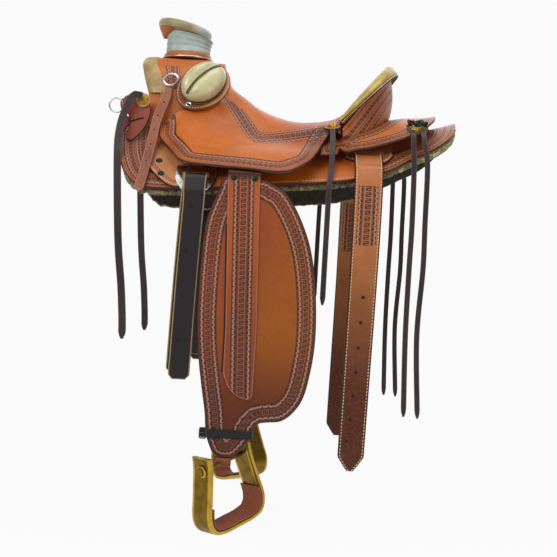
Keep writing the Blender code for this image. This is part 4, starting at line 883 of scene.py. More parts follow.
def wool(name, base, deep, sheen=0.4):
    """Sheepskin fleece: pale tips over darker, shaded roots."""
    made, tree, place = start_material(name)
    curls = node(tree, "ShaderNodeTexNoise", {"Vector": place, "Scale": 120.0, "Detail": 6.0,
                                              "Distortion": 1.5})
    locks = node(tree, "ShaderNodeTexVoronoi", {"Vector": place, "Scale": 95.0})
    tint = mix(tree, ramp(tree, curls.outputs[0], 0.38, 0.62), colour(deep), colour(base))
    height = maths(tree, "ADD", curls.outputs[0], locks.outputs["Distance"])
    return finish_surface(made, tint, 0.95, height, depth=0.003, strength=1.0, sheen_weight=sheen,
                          sheen_roughness=0.6)


def wood(name, base, deep):
    """Tree wood, seen only from below: long grain along the bars."""
    made, tree, place = start_material(name)
    place = node(tree, "ShaderNodeMapping", {"Vector": place, "Scale": (6.0, 70.0, 70.0)}).outputs[0]
    grain = node(tree, "ShaderNodeTexNoise", {"Vector": place, "Scale": 2.0, "Detail": 6.0,
                                              "Distortion": 0.6})
    tint = mix(tree, ramp(tree, grain.outputs[0], 0.35, 0.65), colour(base), colour(deep))
    return finish_surface(made, tint, 0.6, grain.outputs[0], depth=0.0005)


def settle(made, solid, body="saddle"):
    """The piece stands for a solid of the frame and rides its body."""
    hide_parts(solid)
    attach(made, body)


def as_array(points):
    return np.array([tuple(p) for p in points], float)


def measure(points, line, closed=False):
    """For each point, the distance along the line to its nearest place, and the distance away from it."""
    p = np.asarray(points, float)
    a = np.asarray(line, float)
    b = np.roll(a, -1, axis=0) if closed else a[1:]
    a = a if closed else a[:-1]
    step = b - a
    size = np.maximum((step ** 2).sum(1), 1e-12)
    start = np.concatenate([[0.0], np.cumsum(np.sqrt(size))[:-1]])
    along = np.empty(len(p))
    away = np.empty(len(p))
    for k in range(0, len(p), 1500):
        part = p[k:k + 1500, None, :]
        t = np.clip(((part - a) * step).sum(2) / size, 0, 1)
        gap = ((part - a - t[:, :, None] * step) ** 2).sum(2)
        best = gap.argmin(1)
        rows = np.arange(len(best))
        along[k:k + 1500] = start[best] + t[rows, best] * np.sqrt(size[best])
        away[k:k + 1500] = np.sqrt(gap[rows, best])
    return np.stack([along, away], 1)


def write_map(mesh, label, values, wrap=0.0):
    """UV map from one value pair per point; wrap is the length at which the first value starts again."""
    layer = mesh.uv_layers.new(name=label)
    index = np.empty(len(mesh.loops), np.int32)
    mesh.loops.foreach_get("vertex_index", index)
    uv = np.array(values, float)[index]
    if wrap:
        starts = np.empty(len(mesh.polygons), np.int32)
        totals = np.empty(len(mesh.polygons), np.int32)
        mesh.polygons.foreach_get("loop_start", starts)
        mesh.polygons.foreach_get("loop_total", totals)
        order = np.argsort(starts)
        top = np.maximum.reduceat(uv[:, 0], starts[order])
        top = np.repeat(top, totals[order])
        uv[:, 0] += wrap * (top - uv[:, 0] > wrap / 2)
    layer.data.foreach_set("uv", uv.astype(np.float32).ravel())


def piece(name, points, faces, finishes, maps=None, wrap=None, chosen=None, sharp=50):
    """Mesh object with outward faces. maps is {label: value pairs}, chosen gives each face's finish."""
    mesh = bpy.data.meshes.new(name)
    mesh.from_pydata([tuple(p) for p in points], [], [tuple(f) for f in faces])
    for item in (finishes if isinstance(finishes, (list, tuple)) else [finishes]):
        mesh.materials.append(item)
    if chosen is not None:
        mesh.polygons.foreach_set("material_index", np.array(chosen, np.int32))
    work = bmesh.new()
    work.from_mesh(mesh)
    bmesh.ops.recalc_face_normals(work, faces=work.faces)
    work.to_mesh(mesh)
    work.free()
    for label, values in (maps or {}).items():
        write_map(mesh, label, values, (wrap or {}).get(label, 0.0))
    mesh.shade_smooth()
    mesh.set_sharp_from_angle(angle=math.radians(sharp))
    made = bpy.data.objects.new(name, mesh)
    bpy.context.scene.collection.objects.link(made)
    return made


def sheet_solid(name, outer, inner, quads, finishes, side=LEFT, maps=None, wrap=None, rounding=0.35,
                chosen=None,
                sharp=50):
    """Closed leather between two matching sheets of points, with rounded open edges."""
    outer = as_array(outer)
    inner = as_array(inner)
    count = len(outer)
    directed = {}
    near = [set() for _ in range(count)]
    for q in quads:
        for a, b in zip(q, q[1:] + q[:1]):
            directed[(a, b)] = True
            near[a].add(b)
            near[b].add(a)
    border = [(a, b) for a, b in directed if (b, a) not in directed]
    rim = sorted({a for e in border for a in e})
    on_rim = set(rim)
    extra = {}
    middle = []
    start_outer, start_inner = outer.copy(), inner.copy()
    for k, a in enumerate(rim):
        inside = [b for b in near[a] if b not in on_rim] or list(near[a])
        thick = np.linalg.norm(outer[a] - inner[a])
        pull = start_outer[inside].mean(0) - start_outer[a]
        pull /= max(np.linalg.norm(pull), 1e-9)
        outer[a] = start_outer[a] + pull * thick * rounding
        inner[a] = start_inner[a] + pull * thick * rounding * 0.7
        extra[a] = 2 * count + k
        middle.append((start_outer[a] + start_inner[a]) / 2)
    faces = [tuple(q) for q in quads] + [tuple(count + i for i in reversed(q)) for q in quads]
    for a, b in border:
        faces.append((b, a, extra[a], extra[b]))
        faces.append((extra[b], extra[a], a + count, b + count))
    points = np.concatenate([outer, inner, np.array(middle).reshape(-1, 3)])
    points[:, 1] *= side
    full = {}
    for label, values in (maps or {}).items():
        values = np.asarray(values, float)
        edge = values[rim].copy()
        edge[:, 1] = -0.001 if label == "border" else edge[:, 1]
        full[label] = np.concatenate([values, values, edge])
    if chosen is not None:
        chosen = list(chosen) + list(chosen) + [chosen[0]] * (2 * len(border))
    return piece(name, points, faces, finishes, full, wrap, chosen, sharp)


def flat_piece(name, outline, inner_y, thick, finishes, side=LEFT, cell=0.005, maps=None):
    """Upright leather cut to an outline of (x, z), meshed inside."""
    line = [Vector((p[0], p[1])) for p in outline]
    ring = np.array([tuple(p) for p in line])
    low, high = ring.min(0), ring.max(0)
    grid = [(x, z) for x in np.arange(low[0] + cell / 2, high[0], cell)
            for z in np.arange(low[1] + cell / 2, high[1], cell)]
    spots = np.array(grid)
    away = measure(spots, ring, True)[:, 1]
    inside = inside_outline(spots, ring)
    verts = line + [Vector(p) for p, a, ok in zip(grid, away, inside) if ok and a > cell * 0.6]
    edges = [(i, (i + 1) % len(line)) for i in range(len(line))]
    found, _, tris, _, _, _ = delaunay_2d_cdt(verts, edges, [], 0, 1e-7)
    flat = np.array([tuple(p) for p in found])
    middles = np.array([flat[list(t)].mean(0) for t in tris])
    tris = [tuple(t) for t, ok in zip(tris, inside_outline(middles, ring)) if ok]
    used = sorted({i for t in tris for i in t})
    place = {old: new for new, old in enumerate(used)}
    flat = flat[used]
    tris = [tuple(place[i] for i in t) for t in tris]
    outer = np.stack([flat[:, 0], np.full(len(flat), inner_y + thick), flat[:, 1]], 1)
    inner = np.stack([flat[:, 0], np.full(len(flat), inner_y), flat[:, 1]], 1)
    all_maps = {"border": measure(flat, ring, True)}
    for label, make in (maps or {}).items():
        all_maps[label] = make(flat)
    length = np.linalg.norm(np.roll(ring, -1, 0) - ring, axis=1).sum()
    return sheet_solid(name, outer, inner, tris, finishes, side, all_maps, {"border": length})


def inside_outline(spots, ring):
    """Which of the spots lie inside a closed outline, by counting crossings."""
    x, z = spots[:, 0], spots[:, 1]
    inside = np.zeros(len(spots), bool)
    a, b = ring, np.roll(ring, -1, 0)
    for (x0, z0), (x1, z1) in zip(a, b):
        if z0 == z1:
            continue
        cross = ((z0 > z) != (z1 > z)) & (x < (x1 - x0) * (z - z0) / (z1 - z0) + x0)
        inside ^= cross
    return inside


def strap(name, path, widths, across, thicks, finishes, side=LEFT, columns=9):
    """Flat strap along a path of points: a border map along both edges, a band map down its middle."""
    count = len(path)
    if isinstance(widths, float):
        widths = [widths] * count
    if isinstance(thicks, float):
        thicks = [thicks] * count
    outer, inner, band = [], [], []
    run = 0.0
    left, right = [], []
    for i, p in enumerate(path):
        ahead = path[min(i + 1, count - 1)] - path[max(i - 1, 0)]
        wide = (across[i] if isinstance(across, list) else across).normalized()
        face = ahead.normalized().cross(wide).normalized()
        if face.y < 0 or (abs(face.y) < 0.2 and face.z < 0):
            face = -face
        if i:
            run += (p - path[i - 1]).length
        for j in range(columns):
            s = 2 * j / (columns - 1) - 1
            rise = face * thicks[i] / 2
            at = p + wide * (s * widths[i] / 2)
            outer.append(at + rise)
            inner.append(at - rise)
            band.append((run, s * widths[i] / 2))
        left.append(p - wide * widths[i] / 2)
        right.append(p + wide * widths[i] / 2)
    edge = left + right[::-1]
    middle = (as_array(outer) + as_array(inner)) / 2
    maps = {"border": measure(middle, as_array(edge)), "band": np.array(band)}
    return sheet_solid(name, outer, inner, grid_quads(count, columns), finishes, side, maps, rounding=0.4)


def turned_piece(name, profile, finishes, place, segments, side=LEFT, closed=True):
    """Piece turned about an axis: profile of (radius, height), place(x, y, height) puts it in the frame."""
    points = []
    for k in range(segments):
        a = 2 * math.pi * k / segments
        points += [place(r * math.cos(a), r * math.sin(a), h) for r, h in profile]
    n = len(profile)
    faces = []
    last = n - 1 if closed else n
    for k in range(segments):
        a, b = k * n, (k + 1) % segments * n
        faces += [(a + i, b + i, b + (i + 1) % n, a + (i + 1) % n) for i in range(last)]
    if closed:
        faces.append(tuple(k * n for k in range(segments)))
        faces.append(tuple(k * n + n - 1 for k in reversed(range(segments))))
    points = [(p[0], p[1] * side, p[2]) for p in points]
    return piece(name, points, faces, finishes, sharp=40)


def frame_at(centre, out):
    """Placer for a small piece that stands on a surface: its height points out, its y points up."""
    out = Vector(out).normalized()
    level = Vector((0.0, 0.0, 1.0)).cross(out).normalized()
    rise = out.cross(level)
    centre = Vector(centre)
    return lambda x, y, h: centre + level * x + rise * y + out * h


def scatter_tree(shape):
    """Geometry nodes that set one small shape on every point, turned to the leather under it."""
    name = "set_" + shape
    if name in bpy.data.node_groups:
        return bpy.data.node_groups[name]
    tree = bpy.data.node_groups.new(name, "GeometryNodeTree")
    tree.interface.new_socket("Points", in_out="INPUT", socket_type="NodeSocketGeometry")
    for label in ("Length", "Width", "Height"):
        tree.interface.new_socket(label, in_out="INPUT", socket_type="NodeSocketFloat")
    tree.interface.new_socket("Finish", in_out="INPUT", socket_type="NodeSocketMaterial")
    tree.interface.new_socket("Pieces", in_out="OUTPUT", socket_type="NodeSocketGeometry")
    at = node(tree, "NodeGroupInput").outputs
    out = node(tree, "GeometryNodeInputNamedAttribute", {"Name": "out"}, data_type="FLOAT_VECTOR").outputs[0]
    along = node(tree, "GeometryNodeInputNamedAttribute", {"Name": "along"},
                 data_type="FLOAT_VECTOR").outputs[0]
    turn = node(tree, "FunctionNodeAxesToRotation", {0: out, 1: along}, primary_axis="Z",
                secondary_axis="X").outputs[0]
    if shape == "bead":
        form = node(tree, "GeometryNodeMeshUVSphere", {"Segments": 8, "Rings": 5, "Radius": 0.5}).outputs[0]
    elif shape == "stud":
        form = node(tree, "GeometryNodeMeshUVSphere", {"Segments": 20, "Rings": 10, "Radius": 0.5}).outputs[0]
    else:
        circle = node(tree, "GeometryNodeCurvePrimitiveCircle", {"Resolution": 18, "Radius": 0.42}).outputs[0]
        wire = node(tree, "GeometryNodeCurvePrimitiveCircle", {"Resolution": 6, "Radius": 0.13}).outputs[0]
        form = node(tree, "GeometryNodeCurveToMesh", {"Curve": circle, "Profile Curve": wire}).outputs[0]
    size = node(tree, "ShaderNodeCombineXYZ", {0: at["Length"], 1: at["Width"], 2: at["Height"]}).outputs[0]
    many = node(tree, "GeometryNodeInstanceOnPoints",
                {"Points": at["Points"], "Instance": form, "Rotation": turn,
                                                       "Scale": size}).outputs[0]
    real = node(tree, "GeometryNodeRealizeInstances", {0: many}).outputs[0]
    smooth = node(tree, "GeometryNodeSetShadeSmooth", {0: real}).outputs[0]
    done = node(tree, "GeometryNodeSetMaterial", {"Geometry": smooth, "Material": at["Finish"]}).outputs[0]
    node(tree, "NodeGroupOutput", {0: done})
    return tree


def scatter(name, spots, shape, size, finish, side=LEFT):
    """Stitches, rivets or hole rims: spots are (point, along, out), size is (length, width, height)."""
    mesh = bpy.data.meshes.new(name + "_spots")
    mesh.from_pydata([(p[0], p[1] * side, p[2]) for p, _, _ in spots], [], [])
    for label, pick in (("along", 1), ("out", 2)):
        data = mesh.attributes.new(label, "FLOAT_VECTOR", "POINT").data
        rows = [(s[pick][0], s[pick][1] * side, s[pick][2]) for s in spots]
        data.foreach_set("vector", np.array(rows, np.float32).ravel())
    holder = bpy.data.objects.new(name + "_spots", mesh)
    bpy.context.scene.collection.objects.link(holder)
    step = holder.modifiers.new("Set", "NODES")
    step.node_group = scatter_tree(shape)
    values = {"Length": size[0], "Width": size[1], "Height": size[2], "Finish": finish}
    for item in step.node_group.interface.items_tree:
        if item.in_out == "INPUT" and item.name in values:
            step[item.identifier] = values[item.name]
    bpy.context.view_layer.update()
    ready = holder.evaluated_get(bpy.context.evaluated_depsgraph_get())
    mesh = bpy.data.meshes.new_from_object(ready)
    bpy.data.objects.remove(holder)
    made = bpy.data.objects.new(name, mesh)
    bpy.context.scene.collection.objects.link(made)
    return made


def along_line(points, outs, pitch, lift):
    """Evenly pitched spots on a line of points with outward directions."""
    spots = []
    run = 0.0
    for a, b, o in zip(points, points[1:], outs):
        a, b = Vector(a), Vector(b)
        step = (b - a).length
        if step < 1e-9:
            continue
        while run <= step:
            spots.append((a.lerp(b, run / step) + Vector(o).normalized() * lift, (b - a) / step, Vector(o)))
            run += pitch
        run -= step
    return spots


def all_finishes():
    """Every material, named for what the real one is."""
    line = "line"
    border = "border"
    frame_rows = ((line, border, 0.0008, 0.0022, 1), ("scallop", border, 0.0024, 0.0128, 0.0108),
                  (line, border, 0.0128, 0.0142, 1), ("meander", border, 0.0146, 0.0262, 0.0108),
                  (line, border, 0.0264, 0.0278, 1), ("scallop", border, 0.0382, 0.0280, 0.0108))
    seat_rows = ((line, border, 0.0015, 0.0032, 1), (line, border, 0.0050, 0.0066, 1),
                 (line, border, 0.0084, 0.0098, 1), ("meander", border, 0.0108, 0.0225, 0.0110),
                 (line, border, 0.0230, 0.0246, 1), ("scallop", border, 0.0355, 0.0250, 0.0108),
                 ("scallop", "band", -0.0060, -0.0140, 0.0100), ("meander", "band", -0.0055, 0.0065, 0.0110),
                 ("scallop", "band", 0.0070, 0.0150, 0.0100))
    jockey_rows = ((line, border, 0.0015, 0.0036, 1), (line, border, 0.0056, 0.0074, 1),
                   ("meander", border, 0.0085, 0.0195, 0.0115), (line, border, 0.0200, 0.0216, 1),
                   ("scallop", border, 0.0320, 0.0220, 0.0108))
    skirt_rows = ((line, border, 0.0040, 0.0056, 1), ("scallop", border, 0.0070, 0.0160, 0.0110),
                  ("meander", border, 0.0170, 0.0280, 0.0110), (line, border, 0.0290, 0.0306, 1),
                  ("scallop", border, 0.0410, 0.0320, 0.0110), ("meander", border, 0.0420, 0.0530, 0.0110),
                  (line, border, 0.0540, 0.0556, 1), ("scallop", border, 0.0660, 0.0570, 0.0110))
    rig_rows = ((line, border, 0.0080, 0.0094, 1), ("rope", border, 0.0105, 0.0165, 0.0090))
    cover_rows = (("scallop", border, 0.0240, 0.0320, 0.0100, 0.085, 0.150),
                  ("meander", border, 0.0335, 0.0445, 0.0140, 0.085, 0.150),
                  ("scallop", border, 0.0460, 0.0540, 0.0100, 0.085, 0.150))
    back_rows = ((line, border, 0.0060, 0.0075, 1), ("meander", border, 0.0150, 0.0250, 0.0110),
                 (line, border, 0.0275, 0.0290, 1), ("meander", border, 0.0310, 0.0410, 0.0110),
                 (line, border, 0.0440, 0.0456, 1), ("scallop", border, 0.0560, 0.0470, 0.0110))
    strap_rows = ((line, "band", -0.0205, -0.0190, 1), ("scallop", "band", -0.0090, -0.0190, 0.0104),
                  (line, "band", -0.0088, -0.0076, 1),
                  ("meander", "band", -0.0072, 0.0072, 0.0108), (line, "band", 0.0076, 0.0088, 1),
                  ("scallop", "band", 0.0090, 0.0190, 0.0104),
                  (line, "band", 0.0190, 0.0205, 1))
    billet_rows = (("scallop", "band", -0.0100, -0.0200, 0.0110, 0.096, 0.214),
                   ("meander", "band", -0.0080, 0.0080, 0.0120, 0.096, 0.214),
                   ("scallop", "band", 0.0100, 0.0200, 0.0110, 0.096, 0.214),
                   (line, "band", -0.0100, -0.0088, 1, 0.096, 0.214),
                   (line, "band", 0.0088, 0.0100, 1, 0.096, 0.214))
    made = {}
    # Vegetable-tanned saddle leather, oiled and rubbed: warm orange with a soft sheen, stamps antiqued dark.
    made["seat"] = leather("tooled_seat_leather", ORANGE, ORANGE_DEEP, seat_rows, wash_share=0.62,
                           fades=((RED_LEATHER, (-0.03, 0, 0.01), (0.13, 0, 0.12)),), edge=(ANTIQUE, 0.0016))
    made["jockey"] = leather("tooled_rear_jockey_leather", "#CD7432", ORANGE_DEEP, jockey_rows,
                             wash_share=0.50,
                             edge=(ANTIQUE, 0.0014))
    made["skirt_rear"] = leather("tooled_skirt_leather", ORANGE, ORANGE_DEEP, skirt_rows,
                                 edge=(ANTIQUE, 0.0014),
                                 shown=((0.14, 0, 0), (0.19, 0, 0)), wash_share=0.62)
    made["skirt_front"] = leather("tooled_front_skirt_leather", "#BC632A", ORANGE_DEEP, skirt_rows,
                                  edge=(ANTIQUE, 0.0014), shown=((-0.20, 0, 0), (-0.23, 0, 0)),
                                  wash_share=0.80)
    made["plain"] = leather("plain_saddle_leather", ORANGE, ORANGE_DEEP, edge=(ANTIQUE, 0.0010))
    made["cover"] = leather("fork_cover_leather", "#C4692A", ORANGE_DEEP, cover_rows)
    made["back"] = leather("cantle_back_leather", "#CC7740", "#9C4A20", back_rows)
    # The same leather, redder, on the tree's covered ends; and darker on the run below, a painted shade on its
    # hanger under the jockey and its loop round the bolt.
    made["back_plain"] = leather("cantle_end_leather", "#A94B28", RED_LEATHER)
    made["strap_in_painted_shade"] = leather("stirrup_run_painted_shade", "#8A4626", FENDER_DEEP)
    # Fender leather: redder in front, amber at the rear, darkened by oil towards its foot.
    made["fender"] = leather("tooled_fender_leather", FENDER_RED, FENDER_DEEP, frame_rows,
                             fades=((FENDER_AMBER, (-0.11, 0, -0.22), (0.03, 0, -0.28)),
                                    ("#63270A", (0, 0, -0.34), (-0.01, 0, -0.53))), edge=(ANTIQUE, 0.0010))
    # Stirrup strap: darker downwards, a light cut edge, and a painted shadow at its top where it runs in under
    # the jockey.
    made["strap"] = leather("stirrup_strap_leather", "#B9602C", FENDER_RED, strap_rows,
                            edge=("#B57B62", 0.0008),
                            fades=(("#8A4420", (0, 0, -0.10), (0, 0, -0.46)),),
                            shade=("#35180E", (0, 0, -0.066), (0, 0, -0.049)))
    made["billet"] = leather("flank_billet_leather", "#C47A46", "#A15C2C", billet_rows,
                             fades=(("#53210A", (0, 0, -0.10), (0, 0, -0.50)),), edge=(ANTIQUE, 0.0010))
    # Lighter skirting leather that was never antiqued: the rigging and the flap under the bucking roll.
    made["rig"] = leather("stitched_rigging_leather", "#CE8A55", "#A5622F", rig_rows, edge=(ANTIQUE, 0.0010))
    made["base"] = leather("bucking_roll_flap_leather", "#D2935F", "#B06E3E", edge=("#7A4426", 0.0014),
                           fades=(("#7F3F22", (-0.195, 0, 0), (-0.222, 0, 0.012)),))
    # Burgundy latigo leather, waxy and close-grained: a dull reddish brown.
    made["keeper"] = leather("keeper_leather", "#9C4B38", "#6E2D26", edge=("#5A2A20", 0.0012))
    made["rope_strap"] = leather("rope_strap_leather", "#97583F", "#6E3826", edge=("#B57B66", 0.0010))
    made["tread"] = leather("stirrup_tread_leather", "#A5583C", "#71351F", rough=0.6)
    # Black-dyed leather, oiled: nearly black faces with tan where the cut edge was left undyed.
    made["latigo"] = leather("oiled_latigo_leather", NEAR_BLACK, "#1C1517", edge=(TAN_EDGE, 0.0010))
    made["string"] = leather("tie_string_leather", STRING_BLACK, "#241A1D", edge=("#5F4A40", 0.0009),
                             rough=0.5)
    made["hobble"] = leather("black_hobble_leather", "#221F22", "#121113", rough=0.38)
    made["collar"] = leather("horn_collar_leather", "#C46E30", "#A2551F")
    made["rosette"] = leather("rosette_leather", "#6A3E2C", "#3B201A")
    made["tan_rosette"] = leather("tan_rosette_leather", "#C79A62", "#8A5A30")
    # Rawhide, laced on wet and varnished when dry: yellow, glassy, with cloudy depth.
    made["rawhide"] = hide_like("rawhide_binding", "#C9AC4E", "#9C7B2A", rough=0.32, coat=0.3)
    made["horn_rawhide"] = hide_like("horn_rawhide", "#B5A777", "#7C683A", rough=0.38, turn=(
        MULEHIDE, (-0.222, 0, 0.28), (-0.190, 0, 0.28)))
    # Chrome-tanned mulehide: pale grey-green, soft and matt, marked by rope.
    made["mulehide"] = hide_like("mulehide_wrap", MULEHIDE, MULEHIDE_DEEP, rough=0.5, scale=24.0, coat=0.05)
    # Smooth upholstery-weight leather, stuffed tight: cream-olive with a broad highlight.
    made["roll"] = hide_like("bucking_roll_leather", ROLL_OLIVE, ROLL_DEEP, rough=0.26, scale=16.0, coat=0.5)
    made["piping"] = hide_like("bucking_roll_piping", "#5E5934", "#3A371F", rough=0.4)
    made["gullet"] = hide_like("gullet_binding_hide", "#BC9C66", "#8A7040", rough=0.45)
    made["gullet_edge"] = hide_like("gullet_binding_edge", "#D9C682", "#A99455", rough=0.4)
    # Wool-on sheepskin: a yellowed, curly edge, paler at the rear; its inner faces are near black, painted
    # shade under the skirt.
    made["wool"] = wool("sheepskin_fleece", FLEECE_PALE, FLEECE_DARK)
    made["pale_wool"] = wool("sheepskin_pale_rear_edge", "#D6CB86", "#9C8D4A")
    made["worn_wool"] = wool("sheepskin_painted_shade", "#2C2316", "#130E08", sheen=0.0)
    # Waxed linen thread: off-white, catching light on each stitch.
    made["thread"] = hide_like("waxed_thread", THREAD, "#C9A874", rough=0.6, coat=0.0)
    # Brass, cast and engraved, tarnished in the hollows; the stirrups are sheet brass, hammered over wood.
    made["brass"] = metal("engraved_brass", BRASS, BRASS_DARK, rough=0.30, tarnish=0.6)
    made["stirrup"] = metal("hammered_stirrup_brass", "#80651F", "#54421A", rough=0.36, hammer=0.8,
                            tarnish=0.7)
    made["stirrup_edge"] = metal("polished_stirrup_edge", "#BE9A40", "#8A6C28", rough=0.26, tarnish=0.5)
    # Stainless steel, tumbled bright; the hobble's buckle is blackened, and the copper rivets are green.
    made["steel"] = metal("stainless_steel", SILVER, "#83888C", rough=0.26)
    made["gunmetal"] = metal("hobble_buckle_steel", "#5A5A5C", "#2A2A2C", rough=0.36)
    made["patina"] = metal("patinated_copper", PATINA, "#1C3029", rough=0.45, tarnish=0.7)
    # Painted shade: near-black in holes, slits and the screw slot, the gap beside the stirrup strap and under
    # the cantle's binding, where shade falls.
    made["dark"] = leather("painted_shade_near_black", "#1B1210", "#120C0B", rough=0.7)
    # Pine tree under its rawhide, seen only from below.
    made["wood"] = wood("tree_wood", "#B58A5A", "#8A6236")
    return made


def seat_maps(spots, edge_line):
    """How far each place lies along and from the jockey's edge, and from the tooled band across it."""
    mirrored = spots.copy()
    mirrored[:, 1] = abs(mirrored[:, 1])
    border = measure(mirrored, as_array(edge_line))
    route = np.array(((-0.142, 0.152), (-0.070, 0.0455), (-0.060, 0.0385), (-0.046, 0.0375), (0.088, 0.0595)))
    band = measure(spots[:, [0, 2]], route)
    above = spots[:, 2] > np.interp(spots[:, 0], route[:, 0], route[:, 1])
    band[:, 1] *= np.where(above, 1.0, -1.0)
    band[:, 1] += 0.5 * (abs(spots[:, 1]) < 0.085)
    return {"border": border, "band": band}


def make_seat(look):
    """The seat and both side jockeys in one leather, notched in front for the fork."""
    inner_rows, outer_rows = 22, 34
    rows = inner_rows + outer_rows + 1
    wing = spread(JOCKEY_EDGE[0][0], FORK_REAR_X + 0.0010, 34, 0.4)
    body = spread(SEAT_FRONT_X, CANTLE_END_X, 62, 0.2) + spread(CANTLE_END_X + 0.004, SEAT_REAR_X, 34, 0.4)
    right_low, right_high = {}, {}
    edge_line = []
    for i, x in enumerate(wing + body):
        first = inner_rows if i < len(wing) else 0
        bottom = max(jockey_bottom(x), WING_Y + 0.008 if first else 0.0025)
        e = ease(FORK_REAR_X + 0.010, FORK_REAR_X + 0.120, x)
        middle = WING_Y * (1 - e) + 0.55 * bottom * e
        for row in range(first, rows):
            if row <= inner_rows:
                y = middle * row / inner_rows
            else:
                y = middle + (bottom - middle) * (row - inner_rows) / outer_rows
            normal = seat_normal(x, y)
            if row == 0:
                normal.y = 0.0
            low = Vector((x, y, seat_low(x, y)))
            right_low[i, row] = low
            right_high[i, row] = low + normal * JOCKEY_THICK
    for row in range(inner_rows, rows):
        edge_line.append(right_high[0, row])
    for i, x in enumerate(wing + body):
        if 0 < i and x <= CANTLE_END_X:
            edge_line.append(right_high[i, rows - 1])
    inner, outer, quads = [], [], []
    place = {}
    for side in (1, -1):
        for (i, row), low in right_low.items():
            if row == 0 and side == -1:
                place[side, i, row] = place[1, i, row]
                continue
            high = right_high[i, row]
            place[side, i, row] = len(inner)
            inner.append(Vector((low.x, low.y * side, low.z)))
            outer.append(Vector((high.x, high.y * side, high.z)))
        for i in range(len(wing) + len(body) - 1):
            first = inner_rows if i < len(wing) else 0
            for row in range(first, rows - 1):
                quad = [(side, i, row), (side, i + 1, row), (side, i + 1, row + 1), (side, i, row + 1)]
                quad = tuple(place[key] for key in quad)
                quads.append(quad if side == 1 else quad[::-1])
    maps = seat_maps(as_array(outer), edge_line)
    made = sheet_solid("tooled_seat", outer, inner, quads, look["seat"], LEFT, maps)
    settle(made, "seat_leather")
    return made, edge_line


def layer(name, xs, top_y, bottom_y, rows, low, high, finish, side, edges="bottom"):
    """Leather over the back between two curves, with its border map along the edges that are tooled."""
    outer, inner = [], []
    for x in xs:
        y0, y1 = top_y(x), bottom_y(x)
        for j in range(rows):
            y = y0 + (y1 - y0) * j / (rows - 1)
            outer.append(on_back(x, y, high(x)))
            inner.append(on_back(x, y, low(x)))
    grid = as_array(outer).reshape(len(xs), rows, 3)
    bottom = np.concatenate([grid[0, rows // 3:, :], grid[1:-1, -1, :], grid[-1, ::-1, :]])
    border = measure(as_array(outer), bottom)
    if edges == "both":
        upper = measure(as_array(outer), grid[:, 0, :])
        nearer = upper[:, 1] < border[:, 1]
        border[nearer] = upper[nearer]
    return sheet_solid(name, outer, inner, grid_quads(len(xs), rows), finish, side, {"border": border})


def bottom_spots(xs, bottom_y, lift, inset, pitch):
    """Stitch places along a layer's lower edge, a little way in from it."""
    line = [on_back(x, bottom_y(x) - inset, lift) for x in xs]
    outs = [on_back(x, bottom_y(x) - inset, lift + 0.01) - p for x, p in zip(xs, line)]
    return along_line(line, outs, pitch, 0.0002)


def make_skirts(look):
    """Skirts with their stitches, and the sheepskin under them."""
    for label, side in SIDES:
        xs = spread(SKIRT_EDGE[0][0], SKIRT_EDGE[-1][0], 150, 0.4)
        made = layer("tooled_skirt_" + label, xs, skirt_top, skirt_bottom, 44, lambda x: 0.0,
                     lambda x: SKIRT_THICK, look["skirt_rear"], side, edges="bottom")
        made.data.materials.append(look["skirt_front"])
        for face in made.data.polygons:
            face.material_index = 1 if face.center.x < -0.05 else 0
        settle(made, "skirt_" + label)
        row = bottom_spots([x for x in xs if -0.12 < x < 0.16], skirt_bottom, SKIRT_THICK, 0.0065, 0.0062)
        made = scatter("skirt_stitches_" + label, row, "bead", (0.0046, 0.0020, 0.0014), look["thread"], side)
        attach(made, "saddle")
        make_fleece(label, side, look)


def make_fleece(label, side, look):
    """Sheepskin under the skirt: a lumpy slab whose locks stand out along its edge."""
    columns = [SKIRT_EDGE[0][0] - 0.003] + list(np.linspace(SKIRT_EDGE[0][0], SKIRT_EDGE[-1][0], 176)) + [
        SKIRT_EDGE[-1][0] + 0.006]
    rows = 40
    outer, inner = [], []
    for x in columns:
        inside = min(max(x, SKIRT_EDGE[0][0]), SKIRT_EDGE[-1][0])
        y0, y1 = skirt_top(inside), skirt_bottom(inside)
        y1 += FLEECE_MARGIN * (0.35 + 0.65 * ease(0.20, 0.30, x))
        for j in range(rows):
            s = j / (rows - 1)
            y = y0 + (y1 - y0) * s
            lump = noise.noise(Vector((x * 90, y * 90, 3.0 * side))) + 0.6 * noise.noise(
                Vector((x * 230, y * 230, 7.0 * side)))
            edge = ease(0.88, 1.0, s)
            y += edge * (0.0005 + 0.0040 * lump)
            outer.append(on_back(x, y, -FLEECE_GAP - 0.0012 - 0.0030 * edge + 0.0008 * lump * (1 - edge)))
            inner.append(on_back(x, y - 0.002 * edge, -FLEECE_THICK + 0.003 * edge + 0.0032 * lump))
    quads = grid_quads(len(columns), rows)
    made = sheet_solid("sheepskin_lining_" + label, outer, inner, quads, [look["wool"], look["worn_wool"],
                                                                          look["pale_wool"]],
                       side, None, None, 0.9, sharp=180)
    # Inner faces take the near-black painted shade; faces past x 0.228, at the rear, take the paler wool.
    for k, face in enumerate(made.data.polygons):
        if len(quads) <= k < 2 * len(quads):
            face.material_index = 1
        elif face.center.x > 0.228:
            face.material_index = 2
    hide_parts("sheepskin_" + label)
    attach(made, "saddle")


